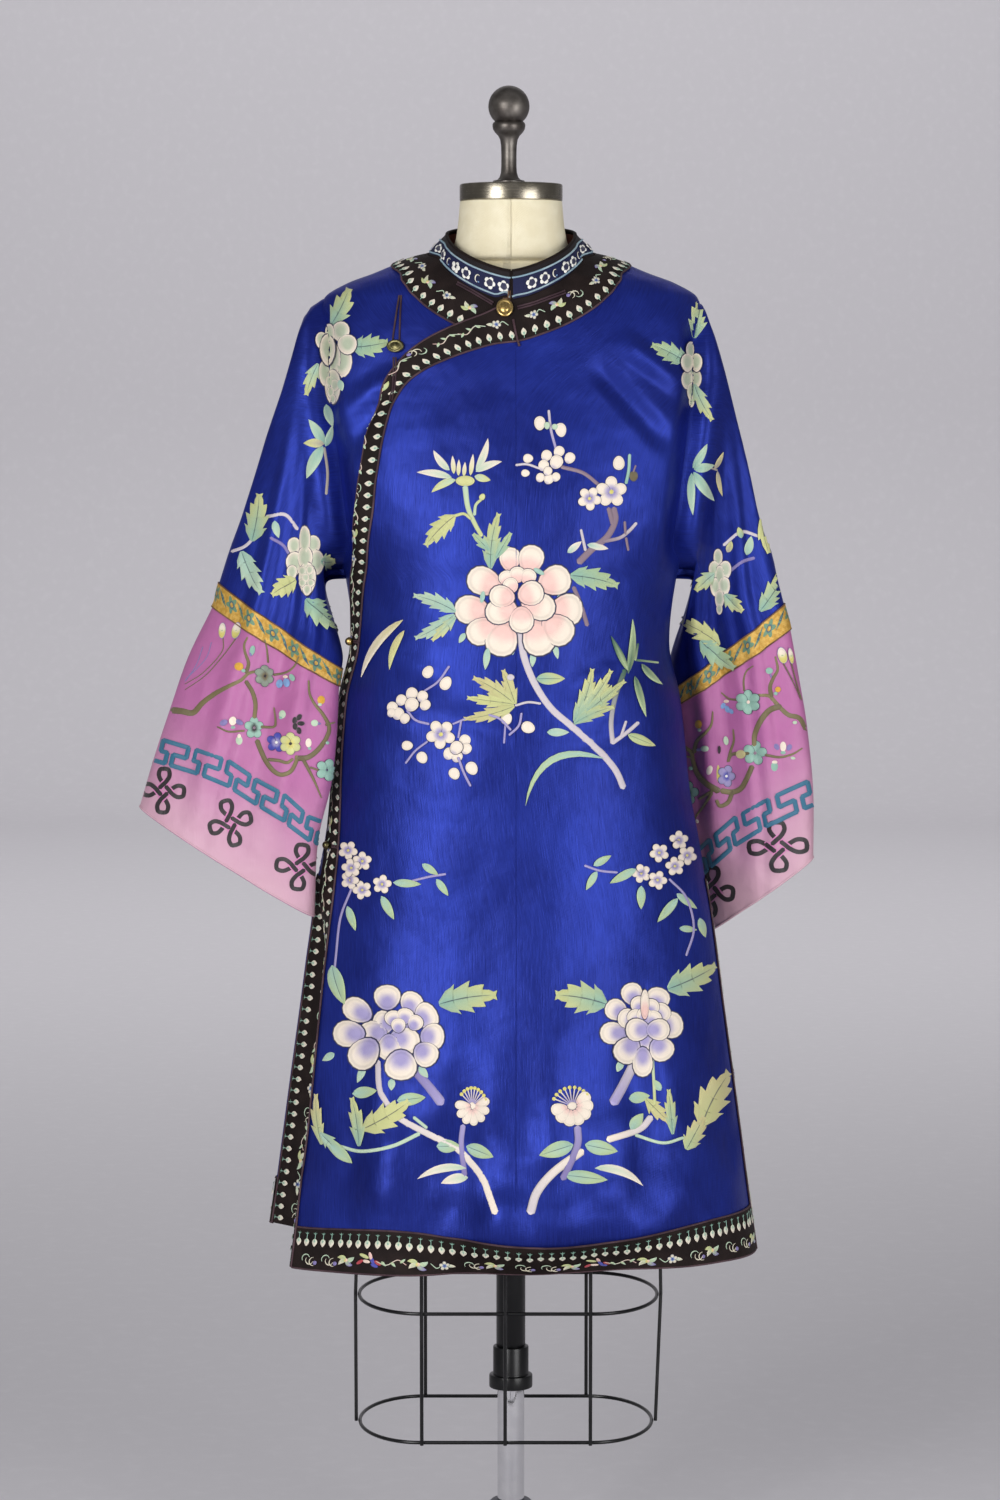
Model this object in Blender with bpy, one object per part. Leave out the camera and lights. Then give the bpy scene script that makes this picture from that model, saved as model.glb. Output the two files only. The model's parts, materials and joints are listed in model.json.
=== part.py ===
"""A blue satin robe with black embroidered trims, worn by a limbless dress form on a pole stand.

Metres, +Z up. The robe faces -Y, so the wearer's right is at -X. The origin is at the middle of the
underside of the round base. Cloth is a wall round a middle surface that these functions give: the body
is a stack of rounded rings, and a sleeve runs from the armhole through ovals to its cuff. An angle on the
body is 0 at the centre front, a quarter turn at the side and half a turn at the centre back.
"""

import math

import bmesh
import bpy
import numpy as np

BAND = 3  # points across a trim
FIELD = 12  # points across the cloth of the outer front, between two trims
INNER_FIELD = 8
BACK_FIELD = 16
HEM_ROWS = (0, 0.5, 1)  # places down a hem trim

QUARTER = math.pi / 2
SHARP = math.radians(40)
NORMAL_STEPS = (math.radians(1.2), 0.003)  # the steps of angle and height that measure a slope
WALL = 0.0014
TRIM_WALL = 0.0012
COLLAR_WALL = 0.0018
GAP = 0.0003
FRONT_LIFT = 0.0034  # the outer front lies over the inner front and the trim on it
FRONT_LIFT_ANGLES = (0.75, 0.05)
VENT_LIFT = 0.0020  # and over the back's edge in the left vent
VENT_LIFT_ANGLES = (0.9, 1.3)
VENT_LIFT_HEIGHTS = (0.90, 0.84)

NECK_FRONT = 1.428
NECK_SIDE = 1.4845
NECK_HALF_WIDTH = 0.082
YOKE_FRONT = 1.386
YOKE_SIDE = 1.4735
YOKE_HALF_WIDTH = 0.1235
NECK_POWER = 0.70  # how the neckline rises round the neck
YOKE_POWER = 0.746
SHOULDER_TIP = 1.4365
UNDERARM = 1.13
VENT_TOP = 0.84
VENT_TRIM_TOP = 0.800
FRONT_HEM = 0.387
BACK_HEM = 0.409
HEM_TRIM = 0.050
EDGE_TRIM = 0.034
BACK_VENT_TRIM = 0.050
TURN_RADIUS = 0.16  # length of cloth to a radian, where an edge turns away from the rings
BACK_TURN = 0.10  # how far before the side, as an angle, the back's vent edges turn in
# Heights over which an edge turns from the rings to its own straight way, which is given as x and y
RIGHT_EDGE_TURNS, RIGHT_EDGE_WAY = (0.80, 0.70), (0.14, 0.99)
LEFT_EDGE_TURNS, LEFT_EDGE_WAY = (VENT_TOP, 0.74), (0.04, 0.999)
BACK_EDGE_TURNS, BACK_EDGE_WAY = (VENT_TOP, 0.78), (0.70, -0.71)
LEFT_VENT_EASE = 0.11  # how much further back, as an angle, the front turns away in the left vent
LEFT_VENT_EASES = (VENT_TOP, 0.76)
BACK_SPREAD = 0.003  # how much wider than the rings the back is at the wearer's right
VENT_SLIVER = 0.004  # cloth between that turn and the vent's trim

FORM_BOTTOM = 0.745
NECK_TOP = 1.5407
CAP_TOP = 1.5595
KNOB_TOP = 1.666
RING_HEIGHTS = (0.3325, 0.1895)
RING_HALF_WIDTHS = (0.166, 0.163)
RING_HALF_DEPTHS = (0.107, 0.105)
RING_MIDDLES = (-0.003, -0.0056)
RING_STRAIGHT = 0.0935
RING_END_POINTS = 13
WIRE_RADIUS = 0.002
WIRE_XS = (-0.0975, -0.0065, 0.0865)
BASE_THICK = 0.022
HUB_TOP = 0.098
POLE_STEPS = (0.2264, 0.241, 0.273)
POLE_RADII = (0.015, 0.0242, 0.0198, 0.0162)
POLE_EDGE = 0.0012
HUB_PROFILE = (
    # radius, height over the base plate
    (0.050, 0.0003),
    (0.050, 0.006),
    (0.030, 0.020),
    (0.024, 0.030),
    (0.024, 0.073),
    (0.021, 0.076),
)
BASE_PROFILE = (
    # radius, height
    (0.204, 0),
    (0.205, 0.002),
    (0.205, 0.012),
    (0.197, 0.020),
    (0.189, 0.022),
)
BASE_SEGMENTS = 40

BLUE = ((0.012, 0.025, 0.26), 0.35, 0.0)
PINK = ((0.52, 0.13, 0.36), 0.4, 0.0)
YELLOW = ((0.60, 0.36, 0.04), 0.5, 0.0)
BLACK = ((0.018, 0.012, 0.012), 0.6, 0.0)
NAVY = ((0.012, 0.016, 0.10), 0.5, 0.0)
CORD = ((0.08, 0.05, 0.07), 0.6, 0.0)
GILT = ((0.60, 0.38, 0.10), 0.35, 1.0)
BRONZE = ((0.20, 0.19, 0.10), 0.4, 1.0)
LINEN = ((0.80, 0.74, 0.58), 0.8, 0.0)
STEEL = ((0.55, 0.54, 0.53), 0.25, 1.0)
IRON = ((0.13, 0.12, 0.11), 0.45, 0.8)
BLACK_PAINT = ((0.012, 0.012, 0.012), 0.3, 0.0)
CHROME = ((0.75, 0.75, 0.76), 0.08, 1.0)


class Table:
    """Rows of sizes with named columns, read smoothly at any value of the first column."""

    def __init__(self, columns, *rows):
        self.names = columns.split()
        self.rows = np.array(sorted(rows), float)

    def at(self, name, value):
        """The named column where the first one has this value, and the end rows beyond its ends."""
        xs, ys = self.rows[:, 0], self.rows[:, self.names.index(name)]
        steps, rises = np.diff(xs), np.diff(ys)
        slopes = rises / steps
        both = slopes[:-1] * slopes[1:]
        total = slopes[:-1] + slopes[1:]
        inner = np.where(both > 0, 2 * both / np.where(total == 0, 1, total), 0)
        tangents = np.concatenate([slopes[:1], inner, slopes[-1:]])
        value = np.clip(value, xs[0], xs[-1])
        i = np.clip(np.searchsorted(xs, value) - 1, 0, len(steps) - 1)
        t = (value - xs[i]) / steps[i]
        rise = t * t * (3 - 2 * t)
        start, end = t * (1 - t) ** 2, t * t * (t - 1)
        return ys[i] + rise * rises[i] + steps[i] * (start * tangents[i] + end * tangents[i + 1])


BODY = Table(
    "height half_width front back roundness",
    (0.380, 0.2710, 0.173, 0.160, 2.2),
    (0.440, 0.2620, 0.172, 0.158, 2.2),
    (0.550, 0.2470, 0.166, 0.152, 2.2),
    (0.665, 0.2310, 0.160, 0.145, 2.2),
    (0.776, 0.2160, 0.153, 0.135, 2.2),
    (0.887, 0.1980, 0.147, 0.122, 2.2),
    (1.000, 0.1855, 0.141, 0.114, 2.2),
    (1.060, 0.1735, 0.139, 0.112, 2.2),
    (1.130, 0.1810, 0.138, 0.112, 2.2),
    (1.200, 0.2140, 0.135, 0.114, 2.2),
    (1.250, 0.2250, 0.129, 0.114, 2.2),
    (1.300, 0.2280, 0.119, 0.112, 2.2),
    (1.350, 0.2260, 0.106, 0.108, 2.2),
    (1.400, 0.2180, 0.092, 0.100, 2.2),
    (1.4365, 0.2030, 0.077, 0.090, 2.1),
    (1.4515, 0.1790, 0.068, 0.083, 2.1),
    (1.462, 0.1510, 0.060, 0.077, 2.05),
    (1.4735, 0.1230, 0.052, 0.069, 2.0),
    (1.480, 0.1040, 0.046, 0.064, 2.0),
    (1.4865, 0.0760, 0.038, 0.057, 2.0),
    (1.500, 0.0600, 0.030, 0.050, 2.0),
)
ARMHOLE = Table(
    "height x",
    (1.130, 0.1805),
    (1.138, 0.1835),
    (1.190, 0.1895),
    (1.248, 0.1960),
    (1.300, 0.2030),
    (1.358, 0.2095),
    (1.390, 0.2090),
    (1.420, 0.2065),
    (1.4365, 0.2028),
)
# Where the outer front turns away at the wearer's right, below the lapel
FRONT_EDGE = Table(
    "height x",
    (0.380, 0.2371),
    (0.460, 0.2263),
    (0.520, 0.2175),
    (0.620, 0.2072),
    (0.706, 0.1983),
    (0.769, 0.1910),
    (0.860, 0.1821),
    (0.937, 0.1797),
    (1.012, 0.1719),
    (1.055, 0.1613),
    (1.110, 0.1565),
    (1.153, 0.1519),
)
# The lapel: its free edge, the trim's other edge on the same row, and how high that row meets the armhole
LAPEL = (
    # free x, free height, trim x, trim height, armhole height
    (0.0000, 1.4280, 0.0080, 1.3860, 1.372),
    (-0.0280, 1.4150, -0.0190, 1.3825, 1.356),
    (-0.0620, 1.4020, -0.0442, 1.3754, 1.339),
    (-0.0920, 1.3870, -0.0700, 1.3660, 1.321),
    (-0.1160, 1.3680, -0.0940, 1.3545, 1.302),
    (-0.1340, 1.3420, -0.1140, 1.3380, 1.282),
    (-0.1460, 1.3100, -0.1280, 1.3120, 1.261),
    (-0.1550, 1.2770, -0.1370, 1.2770, 1.238),
    (-0.1615, 1.2390, -0.1430, 1.2390, 1.213),
    (-0.1665, 1.1960, -0.1475, 1.1960, 1.181),
    (-0.1690, 1.1550, -0.1519, 1.1530, 1.151),
)
NECK_TURNS = (90, 80, 70, 60, 49, 38, 26, 13)
NECK_ROWS_AT_ARMHOLE = (1.4365, 1.4315, 1.4255, 1.419, 1.4115, 1.4035, 1.395, 1.385)
# Rows below the underarm, down to the top of the hem trim
LOW_ROWS = (1.130, 1.095, 1.060, 1.015, 0.970, 0.925, 0.880, 0.840, 0.800, 0.760, 0.705, 0.650, 0.590)
LOW_ROWS += (0.530, 0.480)
# Below the neck the inner front ends at the centre, under the outer front
INNER_ROWS = (
    # height at its inner edge, height at the armhole or side
    (1.350, 1.331),
    (1.300, 1.287),
    (1.250, 1.238),
    (1.190, 1.181),
    (1.130, 1.130),
    (1.060, 1.060),
    (0.970, 0.970),
    (0.905, 0.905),
    (0.843, 0.843),
)
INNER_CENTRE_AT_ARMHOLE = 1.372
BACK_ROW_POWER = 1.25  # how a row of the back leaves the level of its middle
NECK_ROW_POWER = 2.5
BACK_TOP_ROWS = (
    # height at its edge, height at the centre back
    (1.4845, 1.4885),
    (1.4795, 1.4715),
    (1.4735, 1.4545),
    (1.4620, 1.4370),
    (1.4515, 1.4210),
    (1.4365, 1.4000),
    (1.4115, 1.3760),
    (1.3720, 1.3450),
    (1.3210, 1.3050),
    (1.2610, 1.2550),
    (1.1960, 1.1950),
    (1.1510, 1.1510),
)
# How the front hem trim's height and tuck go across the front
FRONT_HEM_SHAPE = Table(
    "x bottom top tuck",
    (-0.240, 0.3797, 0.4240, 0.0),
    (-0.190, 0.3840, 0.4310, 0.0),
    (-0.100, 0.3890, 0.4400, 0.05),
    (-0.045, 0.3890, 0.4270, 0.8),
    (0.010, 0.3882, 0.4215, 1.0),
    (0.095, 0.3882, 0.4235, 1.0),
    (0.150, 0.3910, 0.4310, 0.6),
    (0.205, 0.3895, 0.4375, 0.1),
    (0.270, 0.3857, 0.4360, 0.0),
)
TUCK_DEPTH = 0.027
BILLOW = 0.012
BILLOW_LEAST = 0.35  # its share where the hem isn't tucked
BILLOW_HEIGHT = 0.445
BILLOW_REACH = 0.055
WAVE = 0.004  # depth of the waves above the front hem, with their radians to a metre and their start
WAVE_TURNS = 42
WAVE_START = 0.8
WAVE_HEIGHTS = (0.62, 0.42)
FACING = (0.1, 0.6)  # cosines of the angle over which the front counts as facing forwards

RIGHT_SLEEVE_ROWS = (
    # wearer's right, at -X: outer x, y, height; inner x, y, height; thickness
    (-0.2215, 0.000, 1.4140, -0.1845, -0.004, 1.1220, 0.110),
    (-0.2370, -0.002, 1.3830, -0.1835, -0.010, 1.1090, 0.098),
    (-0.2521, -0.004, 1.3272, -0.1825, -0.018, 1.0930, 0.088),
    (-0.2794, -0.006, 1.2419, -0.1820, -0.030, 1.0700, 0.080),
    (-0.3070, -0.008, 1.1640, -0.1830, -0.042, 1.0500, 0.076),
    (-0.3196, -0.010, 1.1250, -0.1850, -0.052, 1.0330, 0.074),
    (-0.3230, -0.010, 1.1120, -0.1860, -0.056, 1.0240, 0.074),
    (-0.3270, -0.010, 1.0990, -0.1875, -0.060, 1.0150, 0.074),
    (-0.3540, -0.012, 1.0440, -0.1900, -0.070, 0.9600, 0.076),
    (-0.3740, -0.014, 0.9870, -0.1960, -0.074, 0.9080, 0.080),
    (-0.3920, -0.016, 0.9330, -0.2110, -0.064, 0.8450, 0.086),
    (-0.4077, -0.018, 0.8800, -0.2150, -0.060, 0.7640, 0.092),
)
LEFT_SLEEVE_ROWS = (
    # wearer's left, at +X: outer x, y, height; inner x, y, height; thickness
    (0.2180, 0.000, 1.4130, 0.1845, 0.010, 1.1220, 0.110),
    (0.2340, 0.002, 1.3720, 0.1815, 0.028, 1.1050, 0.098),
    (0.2521, 0.004, 1.3064, 0.1740, 0.046, 1.0800, 0.088),
    (0.2734, 0.006, 1.2222, 0.1720, 0.060, 1.0500, 0.080),
    (0.2870, 0.008, 1.1540, 0.1740, 0.070, 1.0230, 0.076),
    (0.3004, 0.010, 1.1010, 0.1780, 0.078, 1.0000, 0.074),
    (0.3040, 0.010, 1.0880, 0.1790, 0.080, 0.9900, 0.074),
    (0.3075, 0.010, 1.0740, 0.1800, 0.082, 0.9800, 0.074),
    (0.3180, 0.012, 1.0180, 0.1830, 0.090, 0.9200, 0.076),
    (0.3270, 0.014, 0.9660, 0.1870, 0.098, 0.8600, 0.080),
    (0.3345, 0.016, 0.8940, 0.1930, 0.106, 0.7900, 0.086),
    (0.3352, 0.018, 0.8203, 0.2000, 0.114, 0.7130, 0.092),
)
RIBBON_ROWS = (5, 6, 7)  # of a sleeve's rows: the ribbon's top, the seam under it, and its lower edge
SLEEVE_POWER = 0.91  # under 1, a sleeve's ovals are squarer than an ellipse
SLEEVE_BLEND_ROWS = 5.5  # rows over which the armhole's shape becomes an oval
SLEEVE_STEP = 0.016  # how far out each of those rows carries the armhole's shape
SLEEVE_FACING = 2  # how soon round the oval a fold has its whole depth
SLEEVE_FOLD_ROWS = (1, 5)
SLEEVE_FOLDS = (
    # place along the chord from the outer edge, depth, half width: all as shares of the chord but the depth
    (0.30, 0.0060, 0.10),
    (0.56, -0.0050, 0.09),
    (0.76, 0.0045, 0.08),
)
BACK_FOLDS = (
    # angle from the centre back, depth outwards, half width of the angle
    (-1.05, 0.006, 0.22),
    (-0.50, 0.005, 0.20),
    (0.05, 0.004, 0.20),
    (0.55, 0.005, 0.20),
    (1.00, 0.006, 0.22),
)
BACK_FOLD_HEIGHTS = (1.05, 0.5)
BACK_FOLD_TURNS = (1.5, 1.2)
TORSO = Table(
    "height half_width front back",
    (0.745, 0.1750, 0.1160, 0.1180),
    (0.800, 0.1760, 0.1165, 0.1220),
    (0.860, 0.1700, 0.1120, 0.1160),
    (0.930, 0.1520, 0.1030, 0.1040),
    (1.000, 0.1300, 0.0940, 0.0920),
    (1.060, 0.1180, 0.0900, 0.0860),
    (1.120, 0.1240, 0.0980, 0.0880),
    (1.200, 0.1380, 0.1160, 0.0940),
    (1.250, 0.1470, 0.1180, 0.0980),
    (1.300, 0.1530, 0.1060, 0.0990),
    (1.350, 0.1620, 0.0920, 0.0970),
    (1.400, 0.1780, 0.0800, 0.0910),
    (1.430, 0.1850, 0.0720, 0.0840),
)
TORSO_NECK = Table(
    "height half_width front back",
    (1.4790, 0.0770, 0.0400, 0.0500),
    (1.4850, 0.0670, 0.0430, 0.0510),
    (1.4960, 0.0615, 0.0450, 0.0510),
    (1.5150, 0.0580, 0.0455, 0.0500),
    (1.5407, 0.0557, 0.0450, 0.0490),
)
SHOULDER_SEAT = 0.0030  # how far the form's shoulder lies below the middle of the cloth
SHOULDER_ROWS = (1.445, 1.4505, 1.456, 1.461, 1.467, 1.4715, 1.475)
KNOB_PROFILE = (
    # radius, height
    (0.0170, 1.5598),
    (0.0170, 1.5630),
    (0.0105, 1.5670),
    (0.0085, 1.5780),
    (0.0085, 1.6020),
    (0.0120, 1.6120),
    (0.0170, 1.6180),
    (0.0178, 1.6240),
    (0.0145, 1.6268),
)
KNOB_RADIUS = 0.0225
KNOB_BALL_FROM = -0.62  # the angle at which the ball leaves the neck under it
KNOB_BALL_TO = QUARTER - 0.2
KNOB_BALL_ROWS = 7
KNOB_TIP = 0.003
KNOB_X = -0.0024
KNOB_SEGMENTS = 16
CAP_Y = -0.002
CAP_EDGE = 0.001
CAP_BEVEL = 0.025
CAP_SEGMENTS = 32
TORSO_SEGMENTS = 24
CAP_HALF_WIDTH = 0.0562
CAP_HALF_DEPTH = 0.0478
SHOULDER_FRONT_FLAT = 0.62
SHOULDER_BACK_FLAT = 0.88
FORM_WIRE_DEPTH = 0.088
FORM_WIRE_WIDTH = 0.160

COLLAR_FRONT = 1.4625
COLLAR_SIDE = 1.5056
COLLAR_BACK = 1.5156
COLLAR_HALF_WIDTH = 0.0700
COLLAR_FRONT_DEPTH = 0.0745
COLLAR_BACK_DEPTH = 0.0530
COLLAR_SLIT = 0.0007

CORD_RADIUS = 0.0011
LOOP_RADIUS = 0.0009
LOOP_TO_BALL = 0.0056
BUTTON_SEGMENTS = 20
BALL_SEGMENTS = 14
DOME_PROFILE = (
    # shares of the radius and of the thickness: a flat back, a rounded rim and a low dome
    (0.86, -0.50),
    (1.00, -0.17),
    (1.00, 0.13),
    (0.82, 0.50),
)
BALL_END = 1.25  # the angle at which a ball ends in a flat
CHEST_BUTTON = (-0.1235, 1.3810)  # x and height on the front, as in the next five
CHEST_LOOP = ((-0.1235, 1.3780), (-0.1193, 1.4360))
CHEST_TAIL = ((-0.1235, 1.3685), (-0.1265, 1.3225))
NECK_BUTTON = (-0.0070, 1.4195)
NECK_FROG_RIGHT = ((-0.0580, 1.4480), (-0.0195, 1.4262))
NECK_FROG_LEFT = ((0.0065, 1.4205), (0.0576, 1.4375))
CHEST_BUTTON_RADIUS = 0.0095
CHEST_BUTTON_THICK = 0.0026
NECK_BUTTON_RADIUS = 0.0103
NECK_BUTTON_THICK = 0.0040
NECK_BUTTON_STRETCH = (0.88, 1)
BALL_RADIUS = 0.0045
SIDE_BUTTON = 1.0630
VENT_BUTTON = 0.840


def clear_scene():
    """Remove what a new file holds."""
    for thing in list(bpy.data.objects):
        bpy.data.objects.remove(thing)


def dress(thing, finish):
    """Give an object its own material."""
    colour, roughness, metallic = finish
    material = bpy.data.materials.new(thing.name)
    material.use_nodes = True
    shader = material.node_tree.nodes["Principled BSDF"]
    shader.inputs["Base Color"].default_value = (*colour, 1)
    shader.inputs["Roughness"].default_value = roughness
    shader.inputs["Metallic"].default_value = metallic
    thing.data.materials.clear()
    thing.data.materials.append(material)


def add_object(name, data, finish):
    """Link a named object into the scene."""
    thing = bpy.data.objects.new(name, data)
    bpy.context.scene.collection.objects.link(thing)
    dress(thing, finish)


def add_mesh(name, mesh, finish):
    """Turn the faces of a closed mesh outwards and add it."""
    if mesh.calc_volume(signed=True) < 0:
        bmesh.ops.reverse_faces(mesh, faces=mesh.faces)
    data = bpy.data.meshes.new(name)
    mesh.to_mesh(data)
    mesh.free()
    data.shade_smooth()
    data.set_sharp_from_angle(angle=SHARP)
    add_object(name, data, finish)


def ramp(value, start, end):
    """0 at start and before, 1 at end and beyond, smooth between."""
    t = np.clip((value - start) / (end - start), 0, 1)
    return t * t * (3 - 2 * t)


def bump(value, middle, half_width):
    """1 in the middle, 0 a half width away, smooth between."""
    t = np.clip(np.abs(value - middle) / half_width, 0, 1)
    return (1 - t * t) ** 2


def ring(angle, height, grow=0.0):
    """x and y of the body's cloth at an angle from the centre front."""
    across, along = np.sin(angle), np.cos(angle)
    power = 2 / BODY.at("roundness", height)
    half_width = BODY.at("half_width", height) + grow
    depth = np.where(along > 0, -BODY.at("front", height), BODY.at("back", height))
    return half_width * np.sign(across) * np.abs(across) ** power, depth * np.abs(along) ** power


def angle_at(x, height):
    """The angle at which the front of a ring has this x."""
    share = np.clip(np.abs(x) / BODY.at("half_width", height), 0, 1)
    return np.sign(x) * np.arcsin(share ** (BODY.at("roundness", height) / 2))


def past_edge(x, y, past, edge, straight, turned):
    """Where a panel goes beyond its edge: round with the rings, or straight once it has turned."""
    straight_x = edge[0] + past * TURN_RADIUS * straight[0]
    straight_y = edge[1] + past * TURN_RADIUS * straight[1]
    share = np.where(past > 0, turned, 0)
    return (1 - share) * x + share * straight_x, (1 - share) * y + share * straight_y


def left_turn_angle(height):
    """Where the front starts to turn away at the wearer's left: at the seam, then at the vent."""
    return QUARTER - EDGE_TRIM / TURN_RADIUS + LEFT_VENT_EASE * ramp(height, *LEFT_VENT_EASES)


def front_skin(angle, height):
    """The middle surface of the fronts."""
    x, y = ring(angle, height)
    edge = angle_at(FRONT_EDGE.at("x", height), height)
    turned = ramp(height, *RIGHT_EDGE_TURNS)
    x, y = past_edge(x, y, np.maximum(-angle - edge, 0), ring(-edge, height), RIGHT_EDGE_WAY, turned)
    edge = left_turn_angle(height)
    turned = ramp(height, *LEFT_EDGE_TURNS)
    x, y = past_edge(x, y, np.maximum(angle - edge, 0), ring(edge, height), LEFT_EDGE_WAY, turned)
    tuck = FRONT_HEM_SHAPE.at("tuck", x)
    hem, hem_top = FRONT_HEM_SHAPE.at("bottom", x), FRONT_HEM_SHAPE.at("top", x)
    facing = ramp(np.cos(angle), *FACING)
    below = np.clip((hem_top - height) / (hem_top - hem), 0, 1)
    billow = BILLOW * (BILLOW_LEAST + (1 - BILLOW_LEAST) * tuck) * bump(height, BILLOW_HEIGHT, BILLOW_REACH)
    wave = WAVE * np.sin(x * WAVE_TURNS + WAVE_START) * ramp(height, *WAVE_HEIGHTS)
    return np.stack([x, y + facing * (tuck * TUCK_DEPTH * below - billow - wave), height + 0 * x], axis=-1)


def vent_share(height):
    """0 above the vents, and 1 where they are open."""
    return ramp(height, *BACK_EDGE_TURNS)


def back_skin(angle, height):
    """The middle surface of the back, whose vent edges turn in towards the front."""
    vent = vent_share(height)
    turn = angle - math.pi
    grow = BACK_SPREAD * vent * (turn > 0)
    x, y = ring(angle, height, grow)
    edge = QUARTER - BACK_TURN * vent
    for side in (-1, 1):
        past = np.maximum(side * turn - edge, 0)
        way = (side * BACK_EDGE_WAY[0], BACK_EDGE_WAY[1])
        x, y = past_edge(x, y, past, ring(math.pi + side * edge, height, grow), way, vent)
    out = sum(depth * bump(turn, middle, width) for middle, depth, width in BACK_FOLDS)
    y = y + out * ramp(height, *BACK_FOLD_HEIGHTS) * ramp(np.abs(turn), *BACK_FOLD_TURNS)
    return np.stack([x, y, height + 0 * x], axis=-1)


def normals_of(skin, angle, height):
    """Unit vectors out of a skin."""
    turn, rise = NORMAL_STEPS
    across = skin(angle + turn, height) - skin(angle - turn, height)
    up = skin(angle, height + rise) - skin(angle, height - rise)
    out = np.cross(across, up)
    return out / np.linalg.norm(out, axis=-1, keepdims=True)


class Sheet:
    """A grid of middle points of cloth and the directions out of it."""

    def __init__(self, points, out):
        self.points, self.out = points, out

    def part(self, rows=slice(None), columns=slice(None)):
        """Some of the rows and columns."""
        return Sheet(self.points[rows, columns], self.out[rows, columns])

    def moved(self, distance):
        """The same cloth, further out."""
        return Sheet(self.points + self.out * np.asarray(distance)[..., None], self.out)

    def trimmed(self, top=0.0, bottom=0.0, left=0.0, right=0.0):
        """The same cloth with a narrow strip off each named edge, still in the planes of its facets."""
        points = self.points.copy()
        for cut, end, beside in ((top, 0, 1), (bottom, -1, -2)):
            points[end] += step_to(points[end], points[beside], cut)
        for cut, end, beside in ((left, 0, 1), (right, -1, -2)):
            points[:, end] += step_to(points[:, end], points[:, beside], cut)
        return Sheet(points, self.out)


def step_to(start, end, length):
    """The step of this length from one row of points towards another."""
    way = end - start
    return way / np.linalg.norm(way, axis=-1, keepdims=True) * length


def add_wall(name, sheet, thick, finish, around=False):
    """A closed wall on both sides of a sheet's middle points. A sheet that goes around has no side edges."""
    rows, columns = sheet.points.shape[:2]
    half = sheet.out * thick / 2
    mesh = bmesh.new()
    layers = [
        [[mesh.verts.new(point) for point in row] for row in layer]
        for layer in (sheet.points + half, sheet.points - half)
    ]

    def quad(a, b, c, d):
        mesh.faces.new((a, b, c))
        mesh.faces.new((a, c, d))

    outer, inner = layers
    last = columns if around else columns - 1
    for i in range(rows - 1):
        for j in range(last):
            k = (j + 1) % columns
            quad(outer[i][j], outer[i + 1][j], outer[i + 1][k], outer[i][k])
            quad(inner[i][j], inner[i][k], inner[i + 1][k], inner[i + 1][j])
        if not around:
            quad(outer[i][0], inner[i][0], inner[i + 1][0], outer[i + 1][0])
            quad(outer[i][-1], outer[i + 1][-1], inner[i + 1][-1], inner[i][-1])
    for j in range(last):
        k = (j + 1) % columns
        quad(outer[0][j], outer[0][k], inner[0][k], inner[0][j])
        quad(outer[-1][j], inner[-1][j], inner[-1][k], outer[-1][k])
    add_mesh(name, mesh, finish)


def neck_curve(turn, half_width, front, side, power):
    """x and height of a curve round the front of the neck, from the centre front (0) to the shoulder (90)."""
    turn = math.radians(turn)
    return half_width * math.sin(turn), front + (side - front) * (1 - math.cos(turn)) ** power


def neckline(turn):
    """The neckline at a turn round the neck."""
    return neck_curve(turn, NECK_HALF_WIDTH, NECK_FRONT, NECK_SIDE, NECK_POWER)


def yoke_line(turn):
    """The yoke's outer edge at a turn round the neck."""
    return neck_curve(turn, YOKE_HALF_WIDTH, YOKE_FRONT, YOKE_SIDE, YOKE_POWER)


def on_front(x, height):
    """Angle and height of a point of the front that is given by its x."""
    return angle_at(x, height), height


def armhole_point(height):
    """Angle and height on the armhole, or on the side seam below it."""
    if height >= SHOULDER_TIP or height <= UNDERARM:
        return QUARTER, height
    return angle_at(ARMHOLE.at("x", height), height), height


def spread(start, end, count):
    """Angles and heights from one point to another, in equal steps, with both ends."""
    share = np.linspace(0, 1, count)[:, None]
    return np.array(start) * (1 - share) + np.array(end) * share


def neck_row(turn, armhole_height):
    """A row of a front from the neckline over the yoke to the armhole, at +X."""
    if turn == 90:
        free, band = (QUARTER, NECK_SIDE), (QUARTER, YOKE_SIDE)
    else:
        free, band = on_front(*neckline(turn)), on_front(*yoke_line(turn))
    return free, band, armhole_point(armhole_height)


def outer_front_grid():
    """Angles and heights of the outer front, row by row from its free edge to the armhole or side."""
    rows = [neck_row(turn, height) for turn, height in zip(NECK_TURNS, NECK_ROWS_AT_ARMHOLE)]
    for free_x, free_height, trim_x, trim_height, arm_height in LAPEL:
        rows.append((on_front(free_x, free_height), on_front(trim_x, trim_height), armhole_point(arm_height)))
    grid = []
    for free, band, arm in rows:
        grid.append(np.concatenate([spread(free, band, BAND), spread(band, arm, FIELD + BAND - 1)[1:]]))
    trim_angle = EDGE_TRIM / TURN_RADIUS
    for height in LOW_ROWS:
        edge, turn = -angle_at(FRONT_EDGE.at("x", height), height), left_turn_angle(height)
        free = spread((edge - trim_angle, height), (edge, height), BAND)
        field = spread((edge, height), (turn, height), FIELD)
        end = spread((turn, height), (turn + trim_angle, height), BAND)
        grid.append(np.concatenate([free, field[1:], end[1:]]))
    grid = np.array(grid)
    last_angles = grid[-1, :, 0]
    x = front_skin(last_angles, np.full_like(last_angles, HEM_TRIM + FRONT_HEM))[:, 0]
    top, bottom = FRONT_HEM_SHAPE.at("top", x), FRONT_HEM_SHAPE.at("bottom", x)
    hem = [np.stack([last_angles, top * (1 - down) + bottom * down], axis=-1) for down in HEM_ROWS]
    return np.concatenate([grid, np.array(hem)])


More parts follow.
